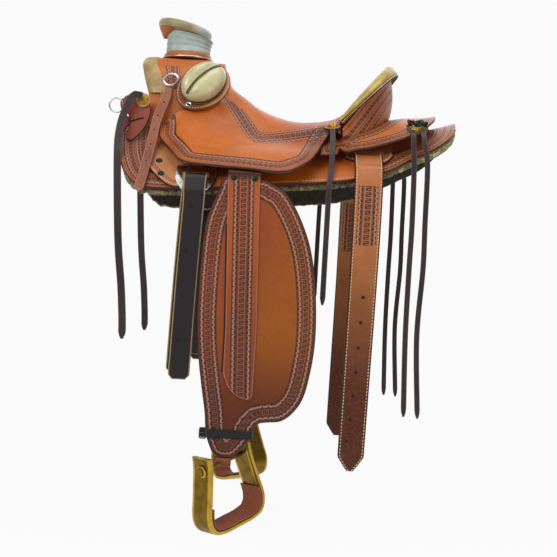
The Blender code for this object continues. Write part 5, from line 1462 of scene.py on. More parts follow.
def make_rear_jockeys(look):
    """Rear jockeys, whose front runs on under the seat."""
    edge = ((0.069, 0.014), (0.085, 0.012)) + REAR_JOCKEY_EDGE
    for label, side in SIDES:
        xs = spread(0.069, REAR_JOCKEY_EDGE[-1][0], 90, 0.4)

        def bottom(x):
            return max(back_y(x, read_curve(edge, x), rear_jockey_lift(x)), rear_jockey_top(x) + 0.010)

        def top(x):
            return min(rear_jockey_top(x), 0.082 + 0.10 * ease(0.100, 0.140, x))

        made = layer("tooled_rear_jockey_" + label, xs, top, bottom, 34, rear_jockey_lift,
                     lambda x: rear_jockey_lift(x) + JOCKEY_THICK, look["jockey"], side, edges="both")
        settle(made, "rear_jockey_" + label)


def lean_back(p, share):
    """The fork's front edge leans back towards its foot."""
    return Vector((p.x + share * (0.010 + 0.22 * max(0.0, 0.190 - p.z)) * ease(0.085, 0.125, p.z), p.y, p.z))


def make_seat_rise(seat, cover, edge_line, look):
    """The seat leather drawn up over the fork's foot, from the jockey's field to the bucking roll.

    It lies like a hide stretched over what is below it: each place rests at its neighbours' height, or
    on what it covers where that stands further out.
    """
    cell = 0.0035
    xs = np.arange(RISE_FRONT_X, RISE_REAR_X, cell)
    zs = np.arange(-0.006, 0.150, cell)
    trees = [BVHTree.FromObject(made, bpy.context.evaluated_depsgraph_get()) for made in (seat, cover)]
    ground = np.zeros((len(xs), len(zs)))
    for i, x in enumerate(xs):
        for j, z in enumerate(zs):
            hits = [tree.ray_cast(Vector((x, 0.6, z)), Vector((0, -1, 0)))[0] for tree in trees]
            ground[i, j] = max([hit.y for hit in hits if hit] or [0.0])
    place_x, place_z = np.meshgrid(xs, zs, indexing="ij")
    low = np.interp(xs, (RISE_FRONT_X, -0.205, -0.150, RISE_REAR_X), (0.040, 0.012, 0.006, 0.022))[:, None]
    high = np.interp(xs, (RISE_FRONT_X, -0.215, -0.190, -0.150, -0.118, -0.100, RISE_REAR_X),
                     (0.052, 0.082, 0.104, 0.124, 0.138, 0.112, 0.060))[:, None]
    room = np.minimum(np.minimum(place_z - low, high - place_z),
                      np.minimum(place_x - RISE_FRONT_X, RISE_REAR_X - place_x))
    free = room > 0
    form = ground.copy()
    for _ in range(260):
        near = form.copy()
        near[1:-1, 1:-1] = (form[2:, 1:-1] + form[:-2, 1:-1] + form[1:-1, 2:] + form[1:-1, :-2]) / 4
        form = np.where(free, np.maximum(near, ground), ground)
    rise = np.clip(room / 0.008, -1.0, 1.0)
    form = form + 0.0010 * rise
    kept = {}
    points = []
    for i in range(len(xs)):
        for j in range(len(zs)):
            if room[i, j] > -cell * 1.2 and form[i, j] > 0.04:
                kept[i, j] = len(points)
                points.append((xs[i], form[i, j], zs[j]))
    faces = []
    for i, j in kept:
        corners = [(i, j), (i, j + 1), (i + 1, j + 1), (i + 1, j)]
        if all(c in kept for c in corners):
            faces.append(tuple(kept[c] for c in corners))
    for label, side in SIDES:
        spots = [(x, y * side, z) for x, y, z in points]
        made = piece("seat_rise_" + label, spots, faces if side == LEFT else [f[::-1] for f in faces],
                     look["seat"], seat_maps(np.array(points), edge_line), sharp=180)
        made.data.shade_smooth()
        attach(made, "saddle")


def make_fork(look):
    """Leather over the slick fork, with its gullet binding."""
    steps = 97
    xs = np.linspace(FORK_FRONT_X, FORK_REAR_X, 30)
    coarse = spread(FORK_FRONT_X, FORK_REAR_X, 5, 0.0)
    low = 2 * GAP
    high = low + COVER_THICK
    outer, inner, border = [], [], []
    for x in xs:
        share = float(np.interp(x, coarse, (1.0, 0.75, 0.5, 0.15, 0.0)))
        line = []
        for j in range(steps):
            turn = math.radians(90) * (2 * j / (steps - 1) - 1)
            for points, grow in ((line, high), (inner, low)):
                p = arch_point(x, share, FORK_HALF_WIDTH + grow, FORK_TOP_Z + grow, turn)
                p.z -= 0.016 * ease(FORK_REAR_X - 0.035, FORK_REAR_X, x) * ease(0.10, 0.20, p.z)
                points.append(lean_back(p, share))
        outer += line
        runs = np.concatenate([[0.0], np.cumsum([(b - a).length for a, b in zip(line, line[1:])])])
        border += [(min(r, runs[-1] - r), x - FORK_FRONT_X) for r in runs]
    cover = sheet_solid("fork_cover_smooth", outer, inner, grid_quads(len(xs), steps), look["cover"], LEFT,
                       {"border": np.array(border)})
    settle(cover, "fork_cover")
    front = FORK_FRONT_X - 0.0012
    depth = BINDING_DEPTH - 0.0012
    profile = [(-0.78, 0.012), (-0.74, -0.016), (-0.20, -0.022), (0.45, 0.0), (0.78, 0.05), (0.95, 0.16),
               (1.0, 0.40), (1.0, 0.65),
               (0.93, 0.86), (0.80, 0.97), (0.40, 1.0), (0.0, 1.0)]
    points = []
    limit = math.radians(68)
    steps = 73
    for j in range(steps):
        turn = limit * (2 * j / (steps - 1) - 1)
        big = arch_point(front, 1.0, FORK_HALF_WIDTH + high, FORK_TOP_Z + high, turn)
        small = arch_point(front, 1.0, GULLET_HALF_WIDTH - 0.002, GULLET_TOP_Z - 0.002, turn)
        for ahead, across in profile:
            p = big.lerp(small, across)
            wide = depth * (1.0 if ahead > 0 else 0.45 + 0.55 * ease(0.200, 0.120, p.z))
            p = lean_back(p, 1.0)
            points.append((p.x - wide * ahead, p.y, p.z))
    n = len(profile)
    faces = [(a + i, a + (i + 1) % n, a + n + (i + 1) % n, a + n + i) for a in range(0, n * (steps - 1), n)
             for i in range(n)]
    chosen = [1 if i in (0, 9) else 0 for _ in range(steps - 1) for i in range(n)]
    faces += [tuple(range(n)), tuple(n * (steps - 1) + i for i in reversed(range(n)))]
    made = piece("gullet_binding_rolled", points, faces, [look["gullet"], look["gullet_edge"]],
                 chosen=chosen + [0, 0])
    settle(made, "gullet_binding")
    return cover


def make_horn(look):
    """Horn: wrapped neck, tilted cap with its rawhide front, collar and ring."""
    top = COVER_TOP + GAP + HORN_COLLAR_HEIGHT + GAP
    segments = 96
    bore = HORN_POST_RADIUS + GAP
    points = []
    rows = 22
    for k in range(segments):
        a = 2 * math.pi * k / segments
        c, s = math.cos(a), math.sin(a)
        cap_z = under_cap(HORN_X + HORN_WRAP_RADIUS * c) - GAP
        points.append((HORN_X + bore * c, bore * s, top))
        for j in range(rows):
            t = j / (rows - 1)
            band = abs(math.sin(math.pi * (t * 3.6 + 0.10 * s)))
            waist = 4 * (t - 0.45) ** 2
            r = HORN_WRAP_RADIUS * (0.955 + 0.035 * waist) + 0.0016 * band ** 0.5 + 0.004 * max(0.0, c) * t
            points.append((HORN_X + r * c, r * s, top + (cap_z - top) * t))
        points.append((HORN_X + bore * c, bore * s, under_cap(HORN_X + bore * c) - GAP))
    n = rows + 2
    faces = [((k * n + i), (k + 1) % segments * n + i, (k + 1) % segments * n + (i + 1) % n, k * n
              + (i + 1) % n)
             for k in range(segments) for i in range(n)]
    made = piece("horn_neck_wrap", points, faces, look["mulehide"])
    settle(made, "horn_wrap")

    half = HORN_CAP_THICK / 2
    r = HORN_CAP_RADIUS
    profile = [(0.60 * r, -half), (0.86 * r, -half * 0.96), (0.945 * r, -half * 0.74),
               (0.985 * r, -half * 0.40),
               (r, 0.0), (0.995 * r, half * 0.40), (0.97 * r, half * 0.72), (0.92 * r, half * 0.92),
               (0.84 * r, half), (0.70 * r, half * 0.90), (0.45 * r, half * 0.84), (0.15 * r, half * 0.84)]
    turn = Matrix.Rotation(HORN_CAP_TILT, 3, "Y")
    centre = Vector((HORN_CAP_X, 0.0, HORN_CAP_Z))

    def on_cap(x, y, h):
        return turn @ Vector((x, y, h)) + centre

    made = turned_piece("horn_cap_bound", profile, look["horn_rawhide"], on_cap, 96)
    settle(made, "horn_cap")
    shim, low = [], []
    for k in range(49):
        a = math.radians(105 + 150 * k / 48)
        share = (1 - abs(k - 24) / 24) ** 0.8
        for reach, drop in ((0.68, 0.021), (0.79, 0.012), (0.89, 0.004), (0.95, -0.001)):
            shim.append(on_cap(r * reach * math.cos(a), r * reach * math.sin(a), -half * 0.9 - drop * share))
            low.append(on_cap(r * (reach - 0.1) * math.cos(a), r * (reach - 0.1) * math.sin(a),
                              -half * 0.9 - drop * share))
    made = sheet_solid("horn_cap_shim", shim, low, grid_quads(49, 4), look["collar"], LEFT)
    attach(made, "saddle")

    foot = COVER_TOP + GAP
    h = HORN_COLLAR_HEIGHT
    collar = [(bore, 0.0), (HORN_COLLAR_RADIUS - 0.001, 0.0), (HORN_COLLAR_RADIUS, 0.0015),
              (HORN_COLLAR_RADIUS + 0.0005, h * 0.5), (HORN_COLLAR_RADIUS - 0.001, h - 0.003),
              (HORN_COLLAR_RADIUS - 0.004, h), (bore, h)]
    made = turned_piece("horn_collar_rolled", collar, look["collar"],
                        lambda x, y, z: Vector((HORN_X + x, y, foot + z)), 72, closed=False)
    settle(made, "horn_collar")
    ring = [Vector((HORN_X + (HORN_COLLAR_RADIUS + 0.002) * math.cos(a),
                    (HORN_COLLAR_RADIUS + 0.002) * math.sin(a),
                    foot + 0.0022)) for a in np.linspace(0, 2 * math.pi, 73)[:-1]]
    made = tube("horn_collar_ring", ring, 0.0022, look["steel"], LEFT, 8, closed=True)
    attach(made, "saddle")


def tube(name, line, radius, finish, side=LEFT, sides=10, closed=False):
    """Round cord or wire along a line of points."""
    count = len(line)
    points = []
    up = Vector((0.0, 0.0, 1.0))
    for i, p in enumerate(line):
        a = line[i - 1] if closed or i else p
        b = line[(i + 1) % count] if closed or i < count - 1 else p
        ahead = (b - a).normalized()
        across = ahead.cross(up)
        if across.length < 0.1:
            across = ahead.cross(Vector((1.0, 0.0, 0.0)))
        across.normalize()
        lift = across.cross(ahead)
        for k in range(sides):
            t = 2 * math.pi * k / sides
            q = p + (across * math.cos(t) + lift * math.sin(t)) * radius
            points.append((q.x, q.y * side, q.z))
    last = count if closed else count - 1
    faces = [(i * sides + k, (i + 1) % count * sides + k, (i + 1) % count * sides + (k + 1) % sides,
              i * sides + (k + 1) % sides) for i in range(last) for k in range(sides)]
    if not closed:
        faces += [tuple(range(sides)), tuple((count - 1) * sides + k for k in reversed(range(sides)))]
    return piece(name, points, faces, finish)


def make_cantle(look):
    """Tooled leather on the cantle's back and the rawhide binding round its rim."""
    turns = [math.radians(89) * (2 * k / 100 - 1) for k in range(101)]
    rows = 26
    outer, inner = [], []
    for turn in turns:
        for j in range(rows):
            share = 0.96 * j / (rows - 1)
            outer.append(cantle_back_point(turn, share, 2 * GAP + CANTLE_BACK_THICK))
            inner.append(cantle_back_point(turn, share, 2 * GAP))
    grid = as_array(outer).reshape(len(turns), rows, 3)
    border = measure(as_array(outer), grid[:, 0, :])
    made = sheet_solid("cantle_back_tooled", outer, inner, grid_quads(len(turns), rows), look["back"], LEFT,
                       {"border": border})
    settle(made, "cantle_back")
    steps, sides = 181, 22
    points = []
    for k in range(steps):
        turn = math.radians(88) * (2 * k / (steps - 1) - 1)
        centre = rim_point(turn, 0.0)
        out = rim_out(turn)
        ahead = rim_point(turn + 0.01, 0.0) - rim_point(turn - 0.01, 0.0)
        thin = ahead.normalized().cross(out).normalized()
        end = min(1.0, 3.0 * (1 - abs(turn) / math.radians(88)) + 0.55)
        ripple = 0.0004 * noise.noise(centre * 60) + 0.0003 * math.sin(k * 2.1)
        for i in range(sides):
            a = 2 * math.pi * i / sides
            r = RIM_RADIUS * 1.05 * end + ripple
            points.append(centre + out * (1.15 * r * math.cos(a)) + thin * (0.52 * r * math.sin(a))
                          + Vector((0.003, 0.0, -0.0065)) * math.cos(turn))
    faces = [tuple(range(sides)), tuple((steps - 1) * sides + i for i in reversed(range(sides)))]
    for k in range(steps - 1):
        faces += [(k * sides + i, (k + 1) * sides + i, (k + 1) * sides + (i + 1) % sides,
                   k * sides + (i + 1) % sides) for i in range(sides)]
    made = piece("cantle_rawhide_binding", points, faces, look["rawhide"])
    settle(made, "cantle_binding")
    # The seam under the binding is a real join, drawn near black as painted shade under the binding's roll.
    for name, slip, radius, finish in (("bead", 0.0095, 0.0021, "thread"), ("seam", 0.0125, 0.0012, "dark")):
        line = []
        for k in range(121):
            turn = math.radians(86) * (2 * k / 120 - 1)
            out = rim_out(turn)
            line.append(rim_point(turn, 0.0) + out * slip + Vector((0.0065 * math.cos(turn), 0, -0.0105)))
        made = tube("cantle_binding_" + name, line, radius, look[finish], LEFT, 8)
        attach(made, "saddle")


def make_rolls(look):
    """Bucking rolls: two stuffed lobes on a stitched flap, swelled by one cloth run and mirrored."""
    long, wide, out, centre = roll_frame()
    foot = centre + out * (ROLL_BASE_THICK + GAP)
    steps = 56
    levels = ((0.90, 0.0), (0.955, 0.12), (0.97, 0.30), (0.93, 0.52), (0.84, 0.70), (0.68, 0.84),
              (0.46, 0.93),
              (0.22, 0.97))

    def lobe_at(a, share):
        """Outline of the stuffed part: two lobes, pinched where the seam runs between them."""
        pinch = 1 - 0.03 * math.exp(-(math.sin(a) / 0.16) ** 2)
        return (long * (ROLL_LONG / 2 * share * pinch * math.cos(a))
                + wide * (ROLL_WIDE / 2 * share * math.sin(a)))

    def seam_at(run):
        """Across place of the seam between the lobes, which bows a little."""
        t = run / (ROLL_LONG / 2)
        return 0.0065 * (1 - t * t) + 0.002

    points, faces = [], []
    for share, rise in levels:
        for k in range(steps):
            a = 2 * math.pi * k / steps
            at = lobe_at(a, share)
            valley = math.exp(-((at.dot(wide) - seam_at(at.dot(long))) / 0.0075) ** 2)
            lift = ROLL_HEIGHT * rise * (1 - 0.20 * valley)
            points.append(foot + at + out * (lift - 0.0015))
    faces.append(tuple(reversed(range(steps))))
    for i in range(len(levels) - 1):
        faces += [(i * steps + k, i * steps + (k + 1) % steps, (i + 1) * steps + (k + 1) % steps,
                   (i + 1) * steps + k) for k in range(steps)]
    faces.append(tuple((len(levels) - 1) * steps + k for k in range(steps)))
    pad = piece("bucking_roll_pad", points, faces, look["roll"], sharp=180)
    swell(pad, 0.0045, out, foot, 0.006)
    form = np.empty(len(pad.data.vertices) * 3)
    pad.data.vertices.foreach_get("co", form)
    form = form.reshape(-1, 3)
    form[:, 1] = abs(form[:, 1])
    faces = [tuple(p.vertices) for p in pad.data.polygons]
    bpy.data.objects.remove(pad)
    for label, side in SIDES:
        points = form.copy()
        middle = np.array(foot)
        points = middle + (points - middle) * ROLL_GROWTH + np.array((-0.0015, 0.0, 0.003))
        points[:, 1] *= side
        made = piece("bucking_roll_stuffed_" + label, points, faces, look["roll"], sharp=180)
        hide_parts("bucking_roll_" + label)
        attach(made, "saddle")
        over = BVHTree.FromPolygons([Vector((p[0], abs(p[1]), p[2])) for p in points], faces)
        for k, shift in enumerate((-0.0020, 0.0020)):
            seam = []
            for j in range(41):
                t = -1 + 2 * j / 40
                half = ROLL_LONG / 2 * 1.04
                spot = foot + wide * (seam_at(half * t) + shift) + long * (half * t)
                found = over.ray_cast(spot + out * 0.12, -out)[0]
                if found:
                    seam.append(found + out * 0.0004)
            made = tube("bucking_roll_seam_%s_%d" % (label, k), seam, 0.0016, look["piping"], side, 8)
            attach(made, "saddle")
        welt = [foot + lobe_at(2 * math.pi * k / 72, 1.0) + out * 0.0016 for k in range(72)]
        made = tube("bucking_roll_welt_" + label, welt, 0.0018, look["piping"], side, 8, closed=True)
        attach(made, "saddle")
        make_roll_flap(label, side, look, long, wide, out, centre)


def make_roll_flap(label, side, look, long, wide, out, centre):
    """Stitched flap under a bucking roll, with its screw ferrule."""
    def at(a, inset):
        drop = 0.006 * max(0.0, -math.cos(a)) ** 2
        return (centre + long * ((ROLL_LONG / 2 + ROLL_BASE_MARGIN + drop - inset) * math.cos(a))
                + wide * ((ROLL_WIDE / 2 + ROLL_BASE_MARGIN - inset) * math.sin(a)))

    steps = 120
    insets = (0.0, 0.0015, 0.005, 0.010, 0.020, 0.040)
    outer = [at(2 * math.pi * k / steps, inset) + out * ROLL_BASE_THICK for k in range(steps)
             for inset in insets]
    inner = [at(2 * math.pi * k / steps, inset) for k in range(steps) for inset in insets]
    n = len(insets)
    quads = [(k * n + i, (k + 1) % steps * n + i, (k + 1) % steps * n + i + 1, k * n + i + 1)
             for k in range(steps) for i in range(n - 1)]
    cap = tuple(k * n + n - 1 for k in range(steps))
    border = np.array([(0.25 * k / steps, inset) for k in range(steps) for inset in insets])
    made = sheet_solid("bucking_roll_flap_" + label, outer, inner, quads + [cap], look["base"], side,
                       {"border": border})
    settle(made, "bucking_roll_base_" + label)
    ring = [at(2 * math.pi * k / 160, 0.0042) + out * ROLL_BASE_THICK for k in range(161)]
    spots = along_line(ring, [out] * 161, 0.0058, 0.0002)
    made = scatter("bucking_roll_stitches_" + label, spots, "bead", (0.0044, 0.0021, 0.0014), look["thread"],
                   side)
    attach(made, "saddle")
    spot = at(math.radians(196), 0.010) + out * (ROLL_BASE_THICK + 0.0002)
    made = slotted_ferrule("roll_ferrule_" + label, spot, out, look["steel"], look["dark"], side)
    for part in made:
        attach(part, "saddle")


def slotted_ferrule(name, spot, out, finish, dark, side):
    r = FERRULE_RADIUS
    place = frame_at(spot, out)
    cup = turned_piece(name, [(0.0, -0.0015), (r * 0.95, -0.0015), (r, 0.0004), (r * 0.93, 0.0018),
                              (r * 0.72, 0.0022),
                              (r * 0.55, 0.0014), (0.0, 0.0012)], finish, place, 32, side)
    # The screw slot is a near-black cord: painted shade in its groove.
    slot_line = [place(x, 0.0, 0.0014) for x in np.linspace(-r * 0.40, r * 0.40, 5)]
    slot = tube(name + "_slot", slot_line, 0.0011, dark, side, 8)
    return cup, slot


def swell(pad, voxel, out, foot, cap):
    """Fills the pad by a short cloth run under pressure; its underside stays on the flap."""
    step = pad.modifiers.new("Remesh", "REMESH")
    step.mode = "VOXEL"
    step.voxel_size = voxel * 0.62
    apply_steps(pad)
    start = [v.co.copy() for v in pad.data.vertices]
    held = pad.vertex_groups.new(name="held")
    for v in pad.data.vertices:
        above = (v.co - Vector((foot.x, -foot.y, foot.z))).dot(Vector((out.x, -out.y, out.z)))
        held.add([v.index], 1.0 if above < 0.004 else 0.0, "REPLACE")
    cloth = pad.modifiers.new("Cloth", "CLOTH")
    for key, value in (("use_pressure", True), ("uniform_pressure_force", 4.0), ("quality", 6),
                       ("mass", 0.25), ("tension_stiffness", 30), ("compression_stiffness", 30),
                       ("shear_stiffness", 15), ("vertex_group_mass", "held")):
        setattr(cloth.settings, key, value)
    cloth.settings.effector_weights.gravity = 0.0
    cloth.point_cache.frame_start = 1
    cloth.point_cache.frame_end = SWELL_FRAMES
    scene = bpy.context.scene
    for frame in range(1, SWELL_FRAMES + 1):
        scene.frame_set(frame)
    apply_steps(pad)
    scene.frame_set(1)
    for v, old in zip(pad.data.vertices, start):
        move = v.co - old
        if move.length > cap:
            v.co = old + move.normalized() * cap
    grow = pad.modifiers.new("Smooth", "SUBSURF")
    grow.levels = grow.render_levels = 1
    apply_steps(pad)
    pad.data.shade_smooth()


def apply_steps(made):
    ready = made.evaluated_get(bpy.context.evaluated_depsgraph_get())
    mesh = bpy.data.meshes.new_from_object(ready)
    made.modifiers.clear()
    made.data = mesh


def make_rigging(look):
    """Front and rear rigging leathers with their stitches and rivets."""
    for label, side in SIDES:
        xs = spread(RIG_EDGE[0][0], RIG_EDGE[-1][0], 56, 0.5)

        def bottom(x):
            return back_y(x, read_curve(RIG_EDGE, x), RIG_HIGH)

        made = layer("front_rigging_stitched_" + label, xs,
                     lambda x: min(BAR_OUTER_Y + 0.004, bottom(x) - 0.012),
                     bottom, 26, lambda x: RIG_LOW, lambda x: RIG_HIGH, look["rig"], side)
        settle(made, "front_rigging_" + label)
        rows = bottom_spots(xs[1:-1], bottom, RIG_HIGH, 0.0050, 0.0056)
        made = scatter("front_rigging_stitches_" + label, rows, "bead", (0.0042, 0.0019, 0.0013),
                       look["thread"], side)
        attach(made, "saddle")
        studs = []
        for x, z in ((-0.2545, -0.0250), (-0.2470, -0.0530)):
            y = back_y(x, z, RIG_HIGH)
            spot = on_back(x, y, RIG_HIGH)
            studs.append((spot, Vector((1, 0, 0)), on_back(x, y, RIG_HIGH + 0.01) - spot))
        made = scatter("front_rigging_rivets_" + label, studs, "stud", (0.0135, 0.0135, 0.0055),
                       look["patina"], side)
        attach(made, "saddle")
        edge = ((REAR_RIG_FRONT_X, 0.004), (0.134, 0.000), (0.150, -0.004), (0.190, -0.006), (0.206, -0.001),
                (REAR_RIG_REAR_X, 0.012))

        def rear_bottom(x):
            return back_y(x, read_curve(edge, x), RIG_HIGH)

        xs = spread(REAR_RIG_FRONT_X, REAR_RIG_REAR_X, 40, 0.5)
        made = layer("rear_rigging_stitched_" + label, xs, lambda x: BAR_OUTER_Y + 0.003, rear_bottom, 16,
                     lambda x: RIG_LOW, lambda x: RIG_HIGH, look["rig"], side)
        settle(made, "rear_rigging_" + label)
        rows = bottom_spots(xs[1:-1], rear_bottom, RIG_HIGH, 0.0045, 0.0056)
        made = scatter("rear_rigging_stitches_" + label, rows, "bead", (0.0042, 0.0019, 0.0013),
                       look["thread"], side)
        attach(made, "saddle")


def flat_holes(name, places, y, radius, finish, dark, side, body):
    """Punched holes in an upright strap: a dark well, painted shade for the hole's depth, in a pressed rim."""
    out = Vector((0, 1, 0))
    spots = [(Vector((x, y, z)), Vector((1, 0, 0)), out) for x, z in places]
    rim = scatter(name + "_rims", spots, "ring", (radius * 2.5, radius * 2.5, 0.0022), finish, side)
    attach(rim, body)
    # The well is a near-black disc: painted shade where the hole goes down.
    well = scatter(name + "_wells", spots, "stud", (radius * 2, radius * 2, 0.0016), dark, side)
    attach(well, body)


def latigo_line():
    hinge = latigo_hinge()
    plane = LATIGO_PLANE_Y
    route = [hinge, hinge + Vector((0, 0.014, -0.003)),
             Vector((LATIGO_TOP_X, plane - 0.006, hinge.z - 0.012)),
             Vector((LATIGO_TOP_X, plane, hinge.z - 0.032)), Vector((LATIGO_TOP_X, plane, hinge.z - 0.060)),
             Vector(((LATIGO_TOP_X + LATIGO_BOTTOM_X) / 2, plane, (hinge.z + LATIGO_BOTTOM_Z) / 2)),
             Vector((LATIGO_BOTTOM_X, plane, LATIGO_BOTTOM_Z))]
    return smooth_line(route, 140)


def make_latigos(look):
    """Latigo on the near side and billet on the off side, each of two layers of oiled leather."""
    line = latigo_line()
    across = Vector((1, 0, 0))
    for name, cad, body, side in (("latigo", "latigo_left", "latigo", LEFT),
                                  ("off_billet", "off_billet_right", "off_billet", RIGHT)):
        thick = LATIGO_THICK / 2 - 0.0001
        for layer_name, shift, offset, cut in (("front", 0.0, 1, 0), ("rear", -0.0055, -1, 4)):
            path, widths, thicks = [], [], []
            part = line[:len(line) - cut]
            for i, p in enumerate(part):
                ahead = part[min(i + 1, len(part) - 1)] - part[max(i - 1, 0)]
                face = ahead.normalized().cross(across).normalized()
                face = face if face.y > 0 or face.z > 0.9 else -face
                slide = ease(0, 30, i)
                path.append(p + face * (offset * LATIGO_THICK / 4) + across * shift * slide)
                left = (part[-1] - p).length
                widths.append(LATIGO_WIDTH_TOP * (1 - 0.06 * slide) * min(1.0, 0.62 + left / 0.024))
                thicks.append(thick * min(1.0, 0.35 + i / 3))
            made = strap("%s_%s_layer" % (name, layer_name), path, widths, across, thicks, look["latigo"],
                         side)
            if layer_name == "front":
                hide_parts(cad)
            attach(made, body)
        holes = [(-0.1790, -0.118), (-0.1830, -0.206), (-0.1865, -0.294), (-0.1895, -0.380)]
        flat_holes(name + "_holes", holes, LATIGO_PLANE_Y + LATIGO_THICK / 2, 0.0028, look["dark"],
                   look["dark"],
                   side, body)


def make_billets(look):
    """Flank billets, stitched down both edges."""
    hinge = billet_hinge()
    plane = BILLET_PLANE_Y
    off = RIG_HIGH + BILLET_THICK / 2 + billet_rise()
    slope = [on_back(BILLET_TOP_X, y, off) for y in (0.205, 0.225, 0.240)]
    route = [hinge] + slope + [Vector((BILLET_TOP_X, plane, -0.085)),
                               Vector((BILLET_TOP_X - 0.001, plane, -0.250)),
                               Vector((BILLET_BOTTOM_X, plane, BILLET_TIP_Z))]
    line = smooth_line(route, 170)
    across = Vector((1, 0, 0))
    for label, side in SIDES:
        widths = []
        for i, p in enumerate(line):
            share = i / (len(line) - 1)
            wide = BILLET_WIDTH_TOP + (BILLET_WIDTH_BOTTOM - BILLET_WIDTH_TOP) * share
            left = (line[-1] - p).length
            widths.append(wide * min(1.0, 0.16 + left / 0.034) ** 0.8)
        thicks = [BILLET_THICK * min(1.0, 0.4 + i / 3) for i in range(len(line))]
        body = "flank_" + label
        made = strap("flank_billet_tooled_" + label, line, widths, across, thicks, look["billet"], side,
                     columns=13)
        settle(made, "flank_billet_" + label, body)
        spots = []
        for edge in (-1, 1):
            rail = [p + across * (edge * (w / 2 - 0.0042)) + Vector((0, BILLET_THICK / 2, 0)) for p, w in
                    zip(line, widths) if w > 0.012]
            outs = []
            for i in range(len(rail)):
                ahead = rail[min(i + 1, len(rail) - 1)] - rail[max(i - 1, 0)]
                face = ahead.cross(across)
                outs.append(face if face.y > 0 else -face)
            top = [p - Vector((0, BILLET_THICK / 2, 0)) + o.normalized() * BILLET_THICK / 2 for p,
                   o in zip(rail, outs)]
            spots += along_line(top, outs, 0.0064, 0.0002)
        made = scatter("flank_billet_stitches_" + label, spots, "bead", (0.0048, 0.0021, 0.0014),
                       look["thread"], side)
        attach(made, body)
        holes = [(0.1685, -0.278), (0.1665, -0.328), (0.1645, -0.378), (0.1622, -0.4265), (0.1595, -0.4735),
                 (0.1560, -0.5190), (0.1520, -0.5630)]
        flat_holes("flank_billet_holes_" + label, holes, plane + BILLET_THICK / 2, 0.0026, look["billet"],
                   look["dark"], side, body)


def make_fenders(look):
    """Fender, the stirrup leather over it, and the hobble strap round its neck."""
    fine = smooth_line([(x, z, 0) for x, z in FENDER_OUTLINE], 300, closed=True)
    outline = [(p.x, p.y) for p in fine]
    inner = FENDER_PLANE_Y - FENDER_THICK / 2
    strap_y = inner + FENDER_THICK + GAP
    for label, side in SIDES:
        body = "fender_group_" + label
        made = flat_piece("fender_tooled_" + label, outline, inner, FENDER_THICK, look["fender"], side)
        settle(made, "fender_" + label, body)
        corners = smooth_corner(((-0.1090, -0.0640),) + STIRRUP_LEATHER_OUTLINE[1:-3] + (
            (-0.0460, -0.0640), (-0.0460, -0.0475), (-0.1095, -0.0475)))

        def band(flat):
            middle = np.interp(-flat[:, 1], (0.05, 0.352, 0.491), (-0.078, -0.0675, -0.062))
            return np.stack([-flat[:, 1], flat[:, 0] - middle], 1)

        made = flat_piece("stirrup_strap_tooled_" + label, corners, strap_y, STRAP_THICK, look["strap"], side,
                          maps={"band": band})
        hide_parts("stirrup_leather_" + label)
        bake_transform(made)
        studs = [(Vector((x, strap_y + STRAP_THICK, -0.0590)), Vector((1, 0, 0)), Vector((0, 1, 0)))
                 for x in (-0.0975, -0.0565)]
        # A near-black cord along the strap's front edge: painted shadow where the strap stands proud of the
        # fender.
        gap = [Vector((np.interp(-z, (0.064, 0.352, 0.440), (-0.1092, -0.0982, -0.0982)) - 0.0012,
                       strap_y + 0.0012, z)) for z in np.linspace(-0.150, -0.438, 40)]
        made = tube("stirrup_strap_painted_shadow_" + label, gap, 0.0016, look["dark"], side, 6)
        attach(made, body)
        make_bolt_loop(label, side, body, look)
        made = scatter("stirrup_strap_rivets_" + label, studs, "stud", (0.0115, 0.0115, 0.0046),
                       look["patina"], side)
        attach(made, body)
        make_hobble(label, side, body, look)


def make_bolt_loop(label, side, body, look):
    """Foot of the stirrup leather: it comes out below the fender's tip and turns round the bolt."""
    radius = 0.0088
    outer, inner = [], []
    for a in [math.radians(v) for v in range(-70, 251, 8)]:
        c, s = math.cos(a), math.sin(a)
        for j in range(7):
            x = STIRRUP_BOLT[0] + (j / 6 - 0.5) * 0.030
            for rows, r in ((outer, radius), (inner, radius - 0.003)):
                rows.append(Vector((x, STIRRUP_BOLT[1] + r * c, STIRRUP_BOLT[2] - r * s)))
    count = len(outer) // 7
    # The loop takes the darker strap leather: painted shade round the bolt.
    made = sheet_solid("stirrup_leather_loop_" + label, outer, inner, grid_quads(count, 7),
                       look["strap_in_painted_shade"], side)
    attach(made, body)


def smooth_corner(outline, count=220):
    """The outline with many points, its corners slightly rounded."""
    line = even_samples([Vector((x, z, 0)) for x, z in outline + outline[:1]], count, closed=True)
    for _ in range(2):
        line = [(line[i - 1] + line[i] * 2 + line[(i + 1) % count]) / 4 for i in range(count)]
    return [(p.x, p.y) for p in line]


